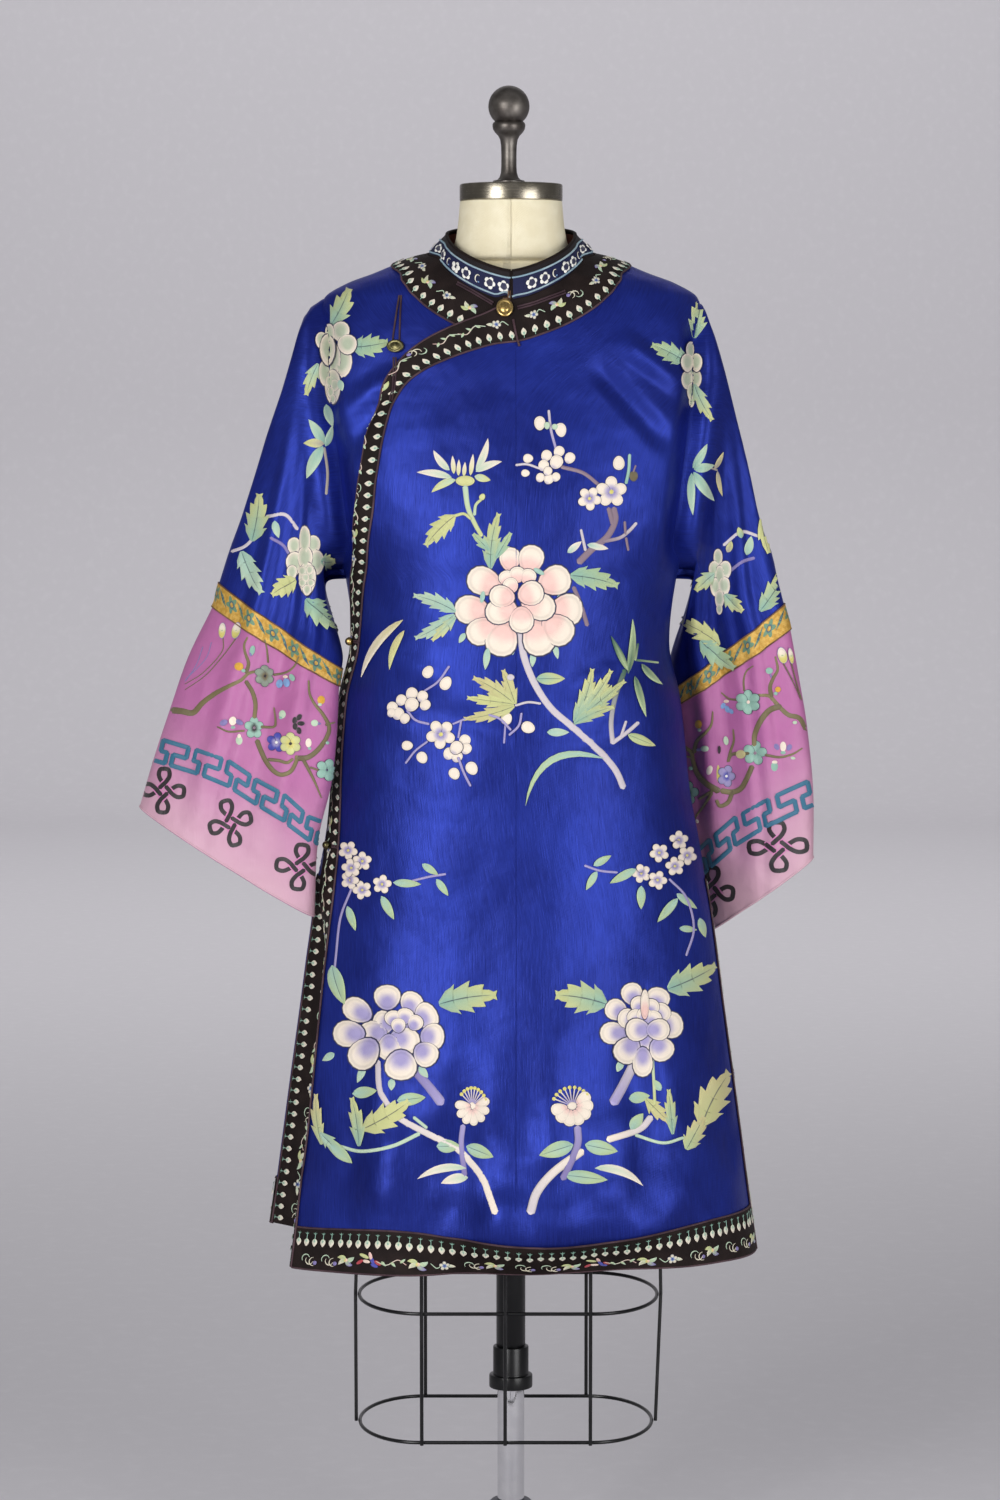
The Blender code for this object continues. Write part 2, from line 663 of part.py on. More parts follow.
def inner_front_grid():
    """Angles and heights of the inner front, from its free edge to the armhole or side, at -X."""
    rows = [neck_row(turn, height) for turn, height in zip(NECK_TURNS, NECK_ROWS_AT_ARMHOLE)]
    rows.append(neck_row(0, INNER_CENTRE_AT_ARMHOLE))
    for inner_height, arm_height in INNER_ROWS:
        band = on_front(EDGE_TRIM, inner_height)
        rows.append(((0.0, inner_height), band, armhole_point(arm_height)))
    grid = []
    for free, band, arm in rows:
        grid.append(np.concatenate([spread(free, band, BAND), spread(band, arm, INNER_FIELD)[1:]]))
    return np.array(grid) * (-1, 1)


def back_grid():
    """Angles and heights of the back, from the wearer's left (+X) round to the right."""
    trim_angle = BACK_VENT_TRIM / TURN_RADIUS
    hem_rows = [(BACK_HEM + HEM_TRIM * (1 - down),) * 2 for down in HEM_ROWS]
    rows = list(BACK_TOP_ROWS) + [(height, height) for height in LOW_ROWS[:-1]] + hem_rows
    grid = []
    for edge_height, centre_height in rows:
        vent = vent_share(edge_height)
        end = armhole_point(edge_height)[0] + (VENT_SLIVER / TURN_RADIUS + trim_angle - BACK_TURN) * vent
        strip = np.linspace(end - trim_angle, end, BAND)[1:]
        field = np.linspace(trim_angle - end, end - trim_angle, BACK_FIELD)
        turns = np.concatenate([-strip[::-1], field, strip])
        power = NECK_ROW_POWER if edge_height == NECK_SIDE else BACK_ROW_POWER
        heights = centre_height + (edge_height - centre_height) * np.abs(turns / end) ** power
        grid.append(np.stack([math.pi + turns, heights], axis=-1))
    return np.array(grid)


def sheet_on(skin, grid):
    """The sheet of a grid of angles and heights on a skin."""
    angle, height = grid[..., 0], grid[..., 1]
    return Sheet(skin(angle, height), normals_of(skin, angle, height))


def over(sheet):
    """A trim's middle surface, on the cloth under it."""
    return sheet.moved(WALL / 2 + GAP + TRIM_WALL / 2)


def front_lift(angle, height):
    """How far the outer front lies out: over the inner front, and over the back's edge in the left vent."""
    vent = ramp(angle, *VENT_LIFT_ANGLES) * ramp(height, *VENT_LIFT_HEIGHTS)
    return FRONT_LIFT * ramp(angle, *FRONT_LIFT_ANGLES) + VENT_LIFT * vent


def grid_normals(points, around):
    """Unit vectors out of a grid of points whose columns go round."""
    if around:
        across = np.roll(points, -1, axis=1) - np.roll(points, 1, axis=1)
    else:
        across = np.gradient(points, axis=1)
    out = np.cross(across, np.gradient(points, axis=0))
    return out / np.linalg.norm(out, axis=-1, keepdims=True)


def make_body():
    """The fronts, the back and the trims on them. Returns the three sheets."""
    grid = outer_front_grid()
    outer = sheet_on(front_skin, grid).moved(front_lift(grid[..., 0], grid[..., 1]))
    inner = sheet_on(front_skin, inner_front_grid())
    back = sheet_on(back_skin, back_grid())
    seam = GAP / 2
    add_wall("outer_front", outer.trimmed(top=seam, right=seam), WALL, BLUE)
    add_wall("inner_front", inner.trimmed(top=seam, right=seam), WALL, BLUE)
    add_wall("back", back.trimmed(left=seam, right=seam), WALL, BLUE)

    first, last = slice(0, BAND), slice(-BAND, None)
    between = slice(BAND - 1, 1 - BAND)
    centre_row = len(NECK_TURNS)
    to_centre = slice(0, centre_row + 1)
    vent_row = centre_row + len(LAPEL) + LOW_ROWS.index(VENT_TRIM_TOP)
    back_vent_row = len(BACK_TOP_ROWS) + LOW_ROWS.index(VENT_TRIM_TOP)
    trims = {
        "yoke_left": outer.part(to_centre, first).trimmed(top=seam, bottom=GAP),
        "lapel_trim": outer.part(slice(centre_row, None), first).trimmed(top=GAP, right=seam),
        "yoke_right": inner.part(to_centre, first).trimmed(top=seam),
        "yoke_back": back.part(first).trimmed(left=seam, right=seam),
        "front_hem_trim": outer.part(last, between).trimmed(left=seam, right=seam),
        "front_vent_trim_left": outer.part(slice(vent_row, None), last).trimmed(left=seam),
        "back_vent_trim_left": back.part(slice(back_vent_row, None), first).trimmed(right=seam),
        "back_vent_trim_right": back.part(slice(back_vent_row, None), last).trimmed(left=seam),
        "back_hem_trim": back.part(last, between).trimmed(left=seam, right=seam),
    }
    for name, sheet in trims.items():
        add_wall(name, over(sheet), TRIM_WALL, BLACK)
    return outer, inner, back


def make_collar(outer, inner, back):
    """The standing collar, open at the centre front, on the neckline of the three panels."""
    rows = len(NECK_TURNS)
    right_turns = np.radians((0,) + tuple(reversed(NECK_TURNS)))
    neck = np.concatenate([outer.points[rows::-1, 0][:rows], back.points[0], inner.points[: rows + 1, 0][1:]])
    back_turns = np.linspace(QUARTER, 3 * QUARTER, back.points.shape[1])
    turns = np.concatenate([right_turns[:-1], back_turns, 2 * math.pi - right_turns[:-1][::-1]])
    inwards = -neck * (1, 1, 0)
    inwards /= np.maximum(np.linalg.norm(inwards, axis=-1, keepdims=True), 1e-9)
    bottom = neck + inwards * (COLLAR_WALL / 2 + WALL / 2 + GAP) + (0, 0, GAP)
    front = np.cos(turns) > 0
    rise = (1 - np.abs(np.cos(turns))) ** NECK_POWER
    side_height = COLLAR_FRONT + (COLLAR_SIDE - COLLAR_FRONT) * rise
    back_height = COLLAR_SIDE + (COLLAR_BACK - COLLAR_SIDE) * np.abs(np.cos(turns))
    depth = np.where(front, -COLLAR_FRONT_DEPTH, COLLAR_BACK_DEPTH)
    top = np.stack(
        [
            COLLAR_HALF_WIDTH * np.sin(turns),
            depth * np.abs(np.cos(turns)),
            np.where(front, side_height, back_height),
        ],
        axis=-1,
    )
    bottom[0, 0] = top[0, 0] = COLLAR_SLIT
    bottom[-1, 0] = top[-1, 0] = -COLLAR_SLIT
    points = np.stack([top, (top + bottom) / 2, bottom])
    add_wall("collar", Sheet(points, -grid_normals(points, around=False)), COLLAR_WALL, NAVY)


def make_sleeve(side, name, front, back_edge, rows):
    """A sleeve from the armhole, which the edges of a front and of the back give, to its cuff."""
    edge = Sheet(np.concatenate([front.points, back_edge.points]), np.concatenate([front.out, back_edge.out]))
    middle, half = (SHOULDER_TIP + UNDERARM) / 2, (SHOULDER_TIP - UNDERARM) / 2
    turn = np.arccos(np.clip((edge.points[:, 2] - middle) / half, -1, 1))
    turn[len(front.points) :] *= -1
    outwards = np.array((side, 0.0, 0.0))
    grid = [edge.points + outwards * GAP]
    along = np.sign(np.cos(turn)) * np.abs(np.cos(turn)) ** SLEEVE_POWER
    across = np.sign(np.sin(turn)) * np.abs(np.sin(turn)) ** SLEEVE_POWER
    share = (1 - along) / 2
    facing = np.sign(np.sin(turn)) * np.minimum(1, SLEEVE_FACING * np.abs(np.sin(turn)))
    fold = sum(depth * bump(share, place, width) for place, depth, width in SLEEVE_FOLDS) * facing
    for number, row in enumerate(rows):
        outer, inner, thick = np.array(row[:3]), np.array(row[3:6]), row[6]
        blend = ramp(number + 1.0, 0, SLEEVE_BLEND_ROWS)
        oval = (outer + inner) / 2 + (outer - inner) / 2 * along[:, None]
        oval[:, 1] -= across * thick / 2 + fold * ramp(number, *SLEEVE_FOLD_ROWS)
        start = edge.points + outwards * SLEEVE_STEP * (number + 1)
        grid.append(start * (1 - blend) + oval * blend)
    points = np.array(grid)
    out = grid_normals(points, around=True) * side
    out[0] = edge.out
    whole = Sheet(points, out)
    top, seam, low = (row + 1 for row in RIBBON_ROWS)
    upper = whole.part(slice(0, seam + 1)).trimmed(bottom=GAP / 2)
    lower = whole.part(slice(seam, None)).trimmed(top=GAP / 2)
    add_wall("sleeve_" + name, upper, WALL, BLUE, around=True)
    add_wall("cuff_" + name, lower, WALL, PINK, around=True)
    add_wall("ribbon_" + name, over(whole.part(slice(top, low + 1))), TRIM_WALL, YELLOW, around=True)


def make_sleeves(outer, inner, back):
    """Both sleeves."""
    tip = [row[0] for row in BACK_TOP_ROWS].index(SHOULDER_TIP)
    under = len(BACK_TOP_ROWS)
    outer_rows = len(NECK_TURNS) + len(LAPEL) + 1
    inner_rows = len(NECK_TURNS) + 1 + [row[1] for row in INNER_ROWS].index(UNDERARM) + 1
    between = slice(under - 1, tip, -1)
    ends = {
        "left": (1, outer.part(slice(0, outer_rows), -1), back.part(between, 0), LEFT_SLEEVE_ROWS),
        "right": (-1, inner.part(slice(0, inner_rows), -1), back.part(between, -1), RIGHT_SLEEVE_ROWS),
    }
    for name, (side, front, back_edge, rows) in ends.items():
        make_sleeve(side, name, front, back_edge, rows)


def add_cord(name, route, radius, finish, closed=False):
    """A round cord or wire along a route."""
    curve = bpy.data.curves.new(name, "CURVE")
    curve.dimensions = "3D"
    curve.bevel_depth = radius
    curve.bevel_resolution = 1
    curve.use_fill_caps = not closed
    spline = curve.splines.new("POLY")
    spline.points.add(len(route) - 1)
    for point, place in zip(spline.points, route):
        point.co = (*place, 1)
    spline.use_cyclic_u = closed
    add_object(name, curve, finish)


def on_skin(x, height, out):
    """A point this far out from the front's middle surface."""
    return off_skin(angle_at(x, height), height, out)


def off_skin(angle, height, out):
    """As on_skin, at an angle."""
    return front_skin(angle, height) + normals_of(front_skin, angle, height) * out


def add_loft(name, rings, finish):
    """A closed solid through rings of points, with flat ends."""
    mesh = bmesh.new()
    rows = [[mesh.verts.new(point) for point in ring_points] for ring_points in rings]
    count = len(rows[0])
    for low, high in zip(rows, rows[1:]):
        for j in range(count):
            k = (j + 1) % count
            mesh.faces.new((low[j], low[k], high[k], high[j]))
    mesh.faces.new(rows[0][::-1])
    mesh.faces.new(rows[-1])
    add_mesh(name, mesh, finish)


def add_turned(name, profile, centre, finish, segments=24, stretch=(1, 1), axis=None):
    """A turned piece: (radius, height) pairs from its lower end to its upper one, with flat ends."""
    frame = np.eye(3) if axis is None else frame_of(axis)
    turns = np.arange(segments) * 2 * math.pi / segments
    across, along = stretch[0] * np.cos(turns), stretch[1] * np.sin(turns)
    rings = []
    for radius, height in profile:
        flat = np.stack([radius * across, radius * along, np.full(segments, height)])
        rings.append((frame @ flat).T + np.array(centre))
    add_loft(name, rings, finish)


def frame_of(axis):
    """Three directions as columns, the third along an axis and the first level."""
    up = np.array(axis, float) / np.linalg.norm(axis)
    side = np.cross((0, 0, 1), up)
    side /= np.linalg.norm(side)
    return np.stack([side, np.cross(up, side), up], axis=-1)


def dome(radius, thick):
    """The profile of a button: a flat back, a rounded rim and a low dome."""
    return [(radius * width, thick * height) for width, height in DOME_PROFILE]


def ball(radius, turns=5):
    """The profile of a ball with small flat ends."""
    angles = np.linspace(-BALL_END, BALL_END, turns)
    return [(radius * math.cos(angle), radius * math.sin(angle)) for angle in angles]


def cord_on_front(name, start, end, out, points=4):
    """A straight cord laid on the front from one (x, height) to another."""
    route = [on_skin(x, height, out + CORD_RADIUS) for x, height in spread(start, end, points)]
    add_cord(name, route, CORD_RADIUS, CORD)


def button_on_front(name, place, profile, out, finish, stretch=(1, 1)):
    """A turned button that faces out of the front at an (x, height)."""
    axis = normals_of(front_skin, angle_at(*place), place[1])
    add_turned(name, profile, on_skin(*place, out), finish, BUTTON_SEGMENTS, stretch, axis)


def ball_on_edge(name, height, out, finish):
    """A ball button on the side edge's trim, and the loop that comes to it from the cloth."""
    edge = -angle_at(FRONT_EDGE.at("x", height), height)
    middle = edge - EDGE_TRIM / TURN_RADIUS / 2
    add_turned(name + "_button", ball(BALL_RADIUS), off_skin(middle, height, out + BALL_RADIUS), finish, BALL_SEGMENTS)
    angles = np.linspace(edge, middle + LOOP_TO_BALL / TURN_RADIUS, 4)
    route = [off_skin(angle, height, out + LOOP_RADIUS + GAP) for angle in angles]
    add_cord(name + "_loop", route, LOOP_RADIUS, CORD)


def make_fastenings():
    """The buttons, their loops and the cords sewn to both sides of them."""
    on_cloth = WALL / 2 + GAP
    on_yoke = on_cloth + TRIM_WALL + GAP
    on_lapel = FRONT_LIFT + on_yoke
    on_cords = on_cloth + 2 * CORD_RADIUS + GAP

    cord_on_front("chest_loop", *CHEST_LOOP, on_cloth)
    cord_on_front("chest_tail", *CHEST_TAIL, on_lapel)
    chest = dome(CHEST_BUTTON_RADIUS, CHEST_BUTTON_THICK)
    button_on_front("chest_button", CHEST_BUTTON, chest, on_cords + CHEST_BUTTON_THICK / 2, BRONZE)

    cord_on_front("neck_frog_right", *NECK_FROG_RIGHT, on_yoke, 6)
    cord_on_front("neck_frog_left", *NECK_FROG_LEFT, on_lapel, 6)
    neck = dome(NECK_BUTTON_RADIUS, NECK_BUTTON_THICK)
    out = on_lapel + NECK_BUTTON_THICK / 2
    button_on_front("neck_button", NECK_BUTTON, neck, out, GILT, NECK_BUTTON_STRETCH)

    ball_on_edge("side", SIDE_BUTTON, on_lapel, GILT)
    ball_on_edge("vent", VENT_BUTTON, on_lapel, BRONZE)


def oval_ring(half_width, front, back, height, count, power=2.1):
    """Points of a rounded ring of the form at one height."""
    turns = np.arange(count) * 2 * math.pi / count
    across, along = np.sin(turns), np.cos(turns)
    depth = np.where(along > 0, -front, back)
    x = half_width * np.sign(across) * np.abs(across) ** (2 / power)
    return np.stack([x, depth * np.abs(along) ** (2 / power), np.full(count, height)], axis=-1)


def make_form():
    """The limbless form with its neck, cap and knob."""
    count = TORSO_SEGMENTS
    rings = [oval_ring(*row[1:], row[0], count) for row in TORSO.rows]
    for height in SHOULDER_ROWS:
        cloth = height + SHOULDER_SEAT
        width, front, back = (BODY.at(name, cloth) for name in ("half_width", "front", "back"))
        front, back = front * SHOULDER_FRONT_FLAT, back * SHOULDER_BACK_FLAT
        rings.append(oval_ring(width, front, back, height, count))
    rings += [oval_ring(*row[1:], row[0], count) for row in TORSO_NECK.rows]
    add_loft("form_torso", rings, LINEN)

    cap = [(1.0, NECK_TOP + GAP), (1.0, CAP_TOP - CAP_EDGE), (1.0 - CAP_BEVEL, CAP_TOP)]
    add_turned("neck_cap", cap, (0, CAP_Y, 0), STEEL, CAP_SEGMENTS, (CAP_HALF_WIDTH, CAP_HALF_DEPTH))
    angles = np.linspace(KNOB_BALL_FROM, KNOB_BALL_TO, KNOB_BALL_ROWS)
    middle = KNOB_TOP - KNOB_RADIUS
    knob = [(KNOB_RADIUS * math.cos(angle), middle + KNOB_RADIUS * math.sin(angle)) for angle in angles]
    knob[-1] = (KNOB_TIP, KNOB_TOP)
    add_turned("neck_knob", list(KNOB_PROFILE) + knob, (KNOB_X, CAP_Y, 0), IRON, KNOB_SEGMENTS)


def cage_ring(level):
    """Points of a cage ring: straight in front and behind, with rounded ends."""
    half_depth = RING_HALF_DEPTHS[level]
    end = RING_HALF_WIDTHS[level] - RING_STRAIGHT
    turns = np.linspace(-QUARTER, QUARTER, RING_END_POINTS)
    right = [(RING_STRAIGHT + end * math.cos(turn), half_depth * math.sin(turn)) for turn in turns]
    left = [(-x, -y) for x, y in right]
    return [(x + RING_MIDDLES[level], y, RING_HEIGHTS[level]) for x, y in right + left]


def make_stand():
    """The wire cage, the pole and the base."""
    for level, name in enumerate(("upper", "lower")):
        add_cord(f"cage_ring_{name}", cage_ring(level), WIRE_RADIUS, BLACK_PAINT, closed=True)
    beside = 2 * WIRE_RADIUS + GAP
    heights = (RING_HEIGHTS[1] - WIRE_RADIUS, RING_HEIGHTS[0], FORM_BOTTOM - GAP)
    depths = (RING_HALF_DEPTHS[1] + beside, RING_HALF_DEPTHS[0] + beside, FORM_WIRE_DEPTH)
    for side, place in ((-1, "front"), (1, "back")):
        for number, x in enumerate(WIRE_XS):
            route = [(x, side * depth, height) for depth, height in zip(depths, heights)]
            add_cord(f"cage_wire_{place}_{number + 1}", route, WIRE_RADIUS, BLACK_PAINT)
    for side, place in ((-1, "right"), (1, "left")):
        xs = [RING_MIDDLES[level] + side * (RING_HALF_WIDTHS[level] + beside) for level in (1, 0)]
        route = [(x, 0, height) for x, height in zip(xs + [side * FORM_WIRE_WIDTH], heights)]
        add_cord(f"cage_wire_{place}", route, WIRE_RADIUS, BLACK_PAINT)

    chrome, flange, step, sleeve = POLE_RADII
    low, middle, high = POLE_STEPS
    add_turned("pole_sleeve", [(sleeve, high + GAP), (sleeve, FORM_BOTTOM - GAP)], (0, 0, 0), BLACK_PAINT)
    edge = POLE_EDGE
    collar = [(flange - edge, low), (flange, low + edge), (flange, middle - edge), (flange - edge, middle)]
    collar += [(step, middle + GAP), (step, high - edge), (step - edge, high)]
    add_turned("pole_collar", collar, (0, 0, 0), BLACK_PAINT)
    add_turned("pole_chrome", [(chrome, HUB_TOP + GAP), (chrome, low - GAP)], (0, 0, 0), CHROME)
    hub = [(radius, BASE_THICK + height) for radius, height in HUB_PROFILE]
    add_turned("base_hub", hub, (0, 0, 0), BLACK_PAINT)
    add_turned("base_disc", BASE_PROFILE, (0, 0, 0), BLACK_PAINT, BASE_SEGMENTS)


def main():
    """Build every piece."""
    clear_scene()
    outer, inner, back = make_body()
    make_collar(outer, inner, back)
    make_sleeves(outer, inner, back)
    make_fastenings()
    make_form()
    make_stand()


main()
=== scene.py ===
import json
import logging
import math
from collections.abc import Callable
from dataclasses import dataclass, field
from enum import Enum

import bmesh
import bpy
import numpy as np
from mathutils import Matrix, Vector
from mathutils.bvhtree import BVHTree

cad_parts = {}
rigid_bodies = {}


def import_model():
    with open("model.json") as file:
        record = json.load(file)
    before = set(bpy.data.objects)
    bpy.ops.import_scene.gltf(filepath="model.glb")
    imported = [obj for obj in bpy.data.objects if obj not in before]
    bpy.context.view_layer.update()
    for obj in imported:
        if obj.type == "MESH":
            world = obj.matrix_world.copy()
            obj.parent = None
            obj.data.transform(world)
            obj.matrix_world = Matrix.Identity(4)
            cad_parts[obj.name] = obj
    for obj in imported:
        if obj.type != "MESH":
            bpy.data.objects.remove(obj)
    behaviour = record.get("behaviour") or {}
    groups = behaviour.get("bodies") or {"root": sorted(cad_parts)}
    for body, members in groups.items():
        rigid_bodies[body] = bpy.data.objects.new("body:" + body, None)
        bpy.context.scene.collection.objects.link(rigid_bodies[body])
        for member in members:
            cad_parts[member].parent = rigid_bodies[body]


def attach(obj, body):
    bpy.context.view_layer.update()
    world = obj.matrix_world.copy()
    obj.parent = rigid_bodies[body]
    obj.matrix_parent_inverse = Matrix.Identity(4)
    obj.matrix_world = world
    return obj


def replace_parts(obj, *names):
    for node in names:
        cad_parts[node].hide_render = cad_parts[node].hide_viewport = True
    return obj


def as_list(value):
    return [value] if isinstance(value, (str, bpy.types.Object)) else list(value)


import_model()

LOG = logging.getLogger("robe")
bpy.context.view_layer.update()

QUARTER = math.pi / 2
CLOTH_WALL = 0.0012
TRIM_WALL = 0.0009
TRIM_LIFT = 0.0016  # a trim's middle surface over the middle surface of the cloth under it
FRONT_LIFT = 0.0034
VENT_LIFT = 0.0020
NECK_SIDE = 1.4845
UNDERARM = 1.13
SHOULDER_TIP = 1.4365
VENT_TOP = 0.84
FRONT_HEM = 0.387
BACK_HEM = 0.409
HEM_TRIM = 0.050
EDGE_TRIM = 0.034
BACK_VENT_TRIM = 0.050
TURN_RADIUS = 0.16
BAND = 3  # control points across a trim
FIELD = 12
INNER_FIELD = 8
BACK_FIELD = 16
HEM_ROWS = (0, 0.5, 1)  # places down a hem trim


class Table:
    """Rows of sizes with named columns, read smoothly at any value of the first column."""

    def __init__(self, columns: str, *rows: tuple[float, ...]) -> None:
        """Keep the rows in the order of their first column.

        Args:
            columns: the names of the columns, with spaces between them.
            rows: one tuple of sizes for each row.
        """
        self.names = columns.split()
        self.rows = np.array(sorted(rows), float)

    def at(self, name: str, value: np.ndarray | float) -> np.ndarray:
        """Read a column.

        Args:
            name: the column.
            value: where to read it, as a value of the first column.

        Returns:
            The column there, and its end rows beyond its ends.
        """
        xs, ys = self.rows[:, 0], self.rows[:, self.names.index(name)]
        steps, rises = np.diff(xs), np.diff(ys)
        slopes = rises / steps
        both = slopes[:-1] * slopes[1:]
        total = slopes[:-1] + slopes[1:]
        inner = np.where(both > 0, 2 * both / np.where(total == 0, 1, total), 0)
        tangents = np.concatenate([slopes[:1], inner, slopes[-1:]])
        value = np.clip(value, xs[0], xs[-1])
        i = np.clip(np.searchsorted(xs, value) - 1, 0, len(steps) - 1)
        t = (value - xs[i]) / steps[i]
        rise = t * t * (3 - 2 * t)
        start, end = t * (1 - t) ** 2, t * t * (t - 1)
        return ys[i] + rise * rises[i] + steps[i] * (start * tangents[i] + end * tangents[i + 1])


BODY = Table(
    "height half_width front back roundness",
    (0.380, 0.2710, 0.173, 0.160, 2.2),
    (0.440, 0.2620, 0.172, 0.158, 2.2),
    (0.550, 0.2470, 0.166, 0.152, 2.2),
    (0.665, 0.2310, 0.160, 0.145, 2.2),
    (0.776, 0.2160, 0.153, 0.135, 2.2),
    (0.887, 0.1980, 0.147, 0.122, 2.2),
    (1.000, 0.1855, 0.141, 0.114, 2.2),
    (1.060, 0.1735, 0.139, 0.112, 2.2),
    (1.130, 0.1810, 0.138, 0.112, 2.2),
    (1.200, 0.2140, 0.135, 0.114, 2.2),
    (1.250, 0.2250, 0.129, 0.114, 2.2),
    (1.300, 0.2280, 0.119, 0.112, 2.2),
    (1.350, 0.2260, 0.106, 0.108, 2.2),
    (1.400, 0.2180, 0.092, 0.100, 2.2),
    (1.4365, 0.2030, 0.077, 0.090, 2.1),
    (1.4515, 0.1790, 0.068, 0.083, 2.1),
    (1.462, 0.1510, 0.060, 0.077, 2.05),
    (1.4735, 0.1230, 0.052, 0.069, 2.0),
    (1.480, 0.1040, 0.046, 0.064, 2.0),
    (1.4865, 0.0760, 0.038, 0.057, 2.0),
    (1.500, 0.0600, 0.030, 0.050, 2.0),
)
ARMHOLE = Table(
    "height x",
    (1.130, 0.1805),
    (1.138, 0.1835),
    (1.190, 0.1895),
    (1.248, 0.1960),
    (1.300, 0.2030),
    (1.358, 0.2095),
    (1.390, 0.2090),
    (1.420, 0.2065),
    (1.4365, 0.2028),
)
# Where the outer front turns away at the wearer's right, below the lapel
FRONT_EDGE = Table(
    "height x",
    (0.380, 0.2371),
    (0.460, 0.2263),
    (0.520, 0.2175),
    (0.620, 0.2072),
    (0.706, 0.1983),
    (0.769, 0.1910),
    (0.860, 0.1821),
    (0.937, 0.1797),
    (1.012, 0.1719),
    (1.055, 0.1613),
    (1.110, 0.1565),
    (1.153, 0.1519),
)
# The lapel: its free edge, the trim's other edge on the same row, and how high that row meets the armhole
LAPEL = (
    # free x, free height, trim x, trim height, armhole height
    (0.0000, 1.4280, 0.0080, 1.3860, 1.372),
    (-0.0280, 1.4150, -0.0190, 1.3825, 1.356),
    (-0.0620, 1.4020, -0.0442, 1.3754, 1.339),
    (-0.0920, 1.3870, -0.0700, 1.3660, 1.321),
    (-0.1160, 1.3680, -0.0940, 1.3545, 1.302),
    (-0.1340, 1.3420, -0.1140, 1.3380, 1.282),
    (-0.1460, 1.3100, -0.1280, 1.3120, 1.261),
    (-0.1550, 1.2770, -0.1370, 1.2770, 1.238),
    (-0.1615, 1.2390, -0.1430, 1.2390, 1.213),
    (-0.1665, 1.1960, -0.1475, 1.1960, 1.181),
    (-0.1690, 1.1550, -0.1519, 1.1530, 1.151),
)
NECK_TURNS = (90, 80, 70, 60, 49, 38, 26, 13)
NECK_ROWS_AT_ARMHOLE = (1.4365, 1.4315, 1.4255, 1.419, 1.4115, 1.4035, 1.395, 1.385)
# Rows below the underarm, down to the top of the hem trim
LOW_ROWS = (1.130, 1.095, 1.060, 1.015, 0.970, 0.925, 0.880, 0.840, 0.800, 0.760, 0.705, 0.650, 0.590)
LOW_ROWS += (0.530, 0.480)
# Below the neck the inner front ends at the centre, under the outer front
INNER_ROWS = (
    # height at its inner edge, height at the armhole or side
    (1.350, 1.331),
    (1.300, 1.287),
    (1.250, 1.238),
    (1.190, 1.181),
    (1.130, 1.130),
    (1.060, 1.060),
    (0.970, 0.970),
    (0.905, 0.905),
    (0.843, 0.843),
)
INNER_CENTRE_AT_ARMHOLE = 1.372
BACK_ROW_POWER = 1.25  # how a row of the back leaves the level of its middle
NECK_ROW_POWER = 2.5  # the same for the row at the neckline
YOKE_SIDE = 1.4735  # the height of the yoke's outer edge at the shoulder
NECK_HOLE = (0.082, 1.428, NECK_SIDE, 0.70)  # half width, front, side and the power of its curve
YOKE_EDGE = (0.1235, 1.386, YOKE_SIDE, 0.746)
HEM_ROUNDED_BELOW = 0.47
VENT_TRIM_ROW = 0.800  # the row of LOW_ROWS from which the vents have their trims
BACK_TOP_ROWS = (
    # height at its edge, height at the centre back
    (1.4845, 1.4885),
    (1.4795, 1.4715),
    (1.4735, 1.4545),
    (1.4620, 1.4370),
    (1.4515, 1.4210),
    (1.4365, 1.4000),
    (1.4115, 1.3760),
    (1.3720, 1.3450),
    (1.3210, 1.3050),
    (1.2610, 1.2550),
    (1.1960, 1.1950),
    (1.1510, 1.1510),
)
FRONT_HEM_SHAPE = Table(
    "x bottom top tuck",
    (-0.240, 0.3797, 0.4240, 0.0),
    (-0.190, 0.3840, 0.4310, 0.0),
    (-0.100, 0.3890, 0.4400, 0.05),
    (-0.045, 0.3890, 0.4270, 0.8),
    (0.010, 0.3882, 0.4215, 1.0),
    (0.095, 0.3882, 0.4235, 1.0),
    (0.150, 0.3910, 0.4310, 0.6),
    (0.205, 0.3895, 0.4375, 0.1),
    (0.270, 0.3857, 0.4360, 0.0),
)
RIGHT_SLEEVE_ROWS = (
    # wearer's right, at -X: outer x, y, height; inner x, y, height; thickness
    (-0.2215, 0.000, 1.4140, -0.1845, -0.004, 1.1220, 0.110),
    (-0.2370, -0.002, 1.3830, -0.1835, -0.010, 1.1090, 0.098),
    (-0.2521, -0.004, 1.3272, -0.1825, -0.018, 1.0930, 0.088),
    (-0.2794, -0.006, 1.2419, -0.1820, -0.030, 1.0700, 0.080),
    (-0.3070, -0.008, 1.1640, -0.1830, -0.042, 1.0500, 0.076),
    (-0.3196, -0.010, 1.1250, -0.1850, -0.052, 1.0330, 0.074),
    (-0.3230, -0.010, 1.1120, -0.1860, -0.056, 1.0240, 0.074),
    (-0.3270, -0.010, 1.0990, -0.1875, -0.060, 1.0150, 0.074),
    (-0.3540, -0.012, 1.0440, -0.1900, -0.070, 0.9600, 0.076),
    (-0.3740, -0.014, 0.9870, -0.1960, -0.074, 0.9080, 0.080),
    (-0.3920, -0.016, 0.9330, -0.2110, -0.064, 0.8450, 0.086),
    (-0.4077, -0.018, 0.8800, -0.2150, -0.060, 0.7640, 0.092),
)
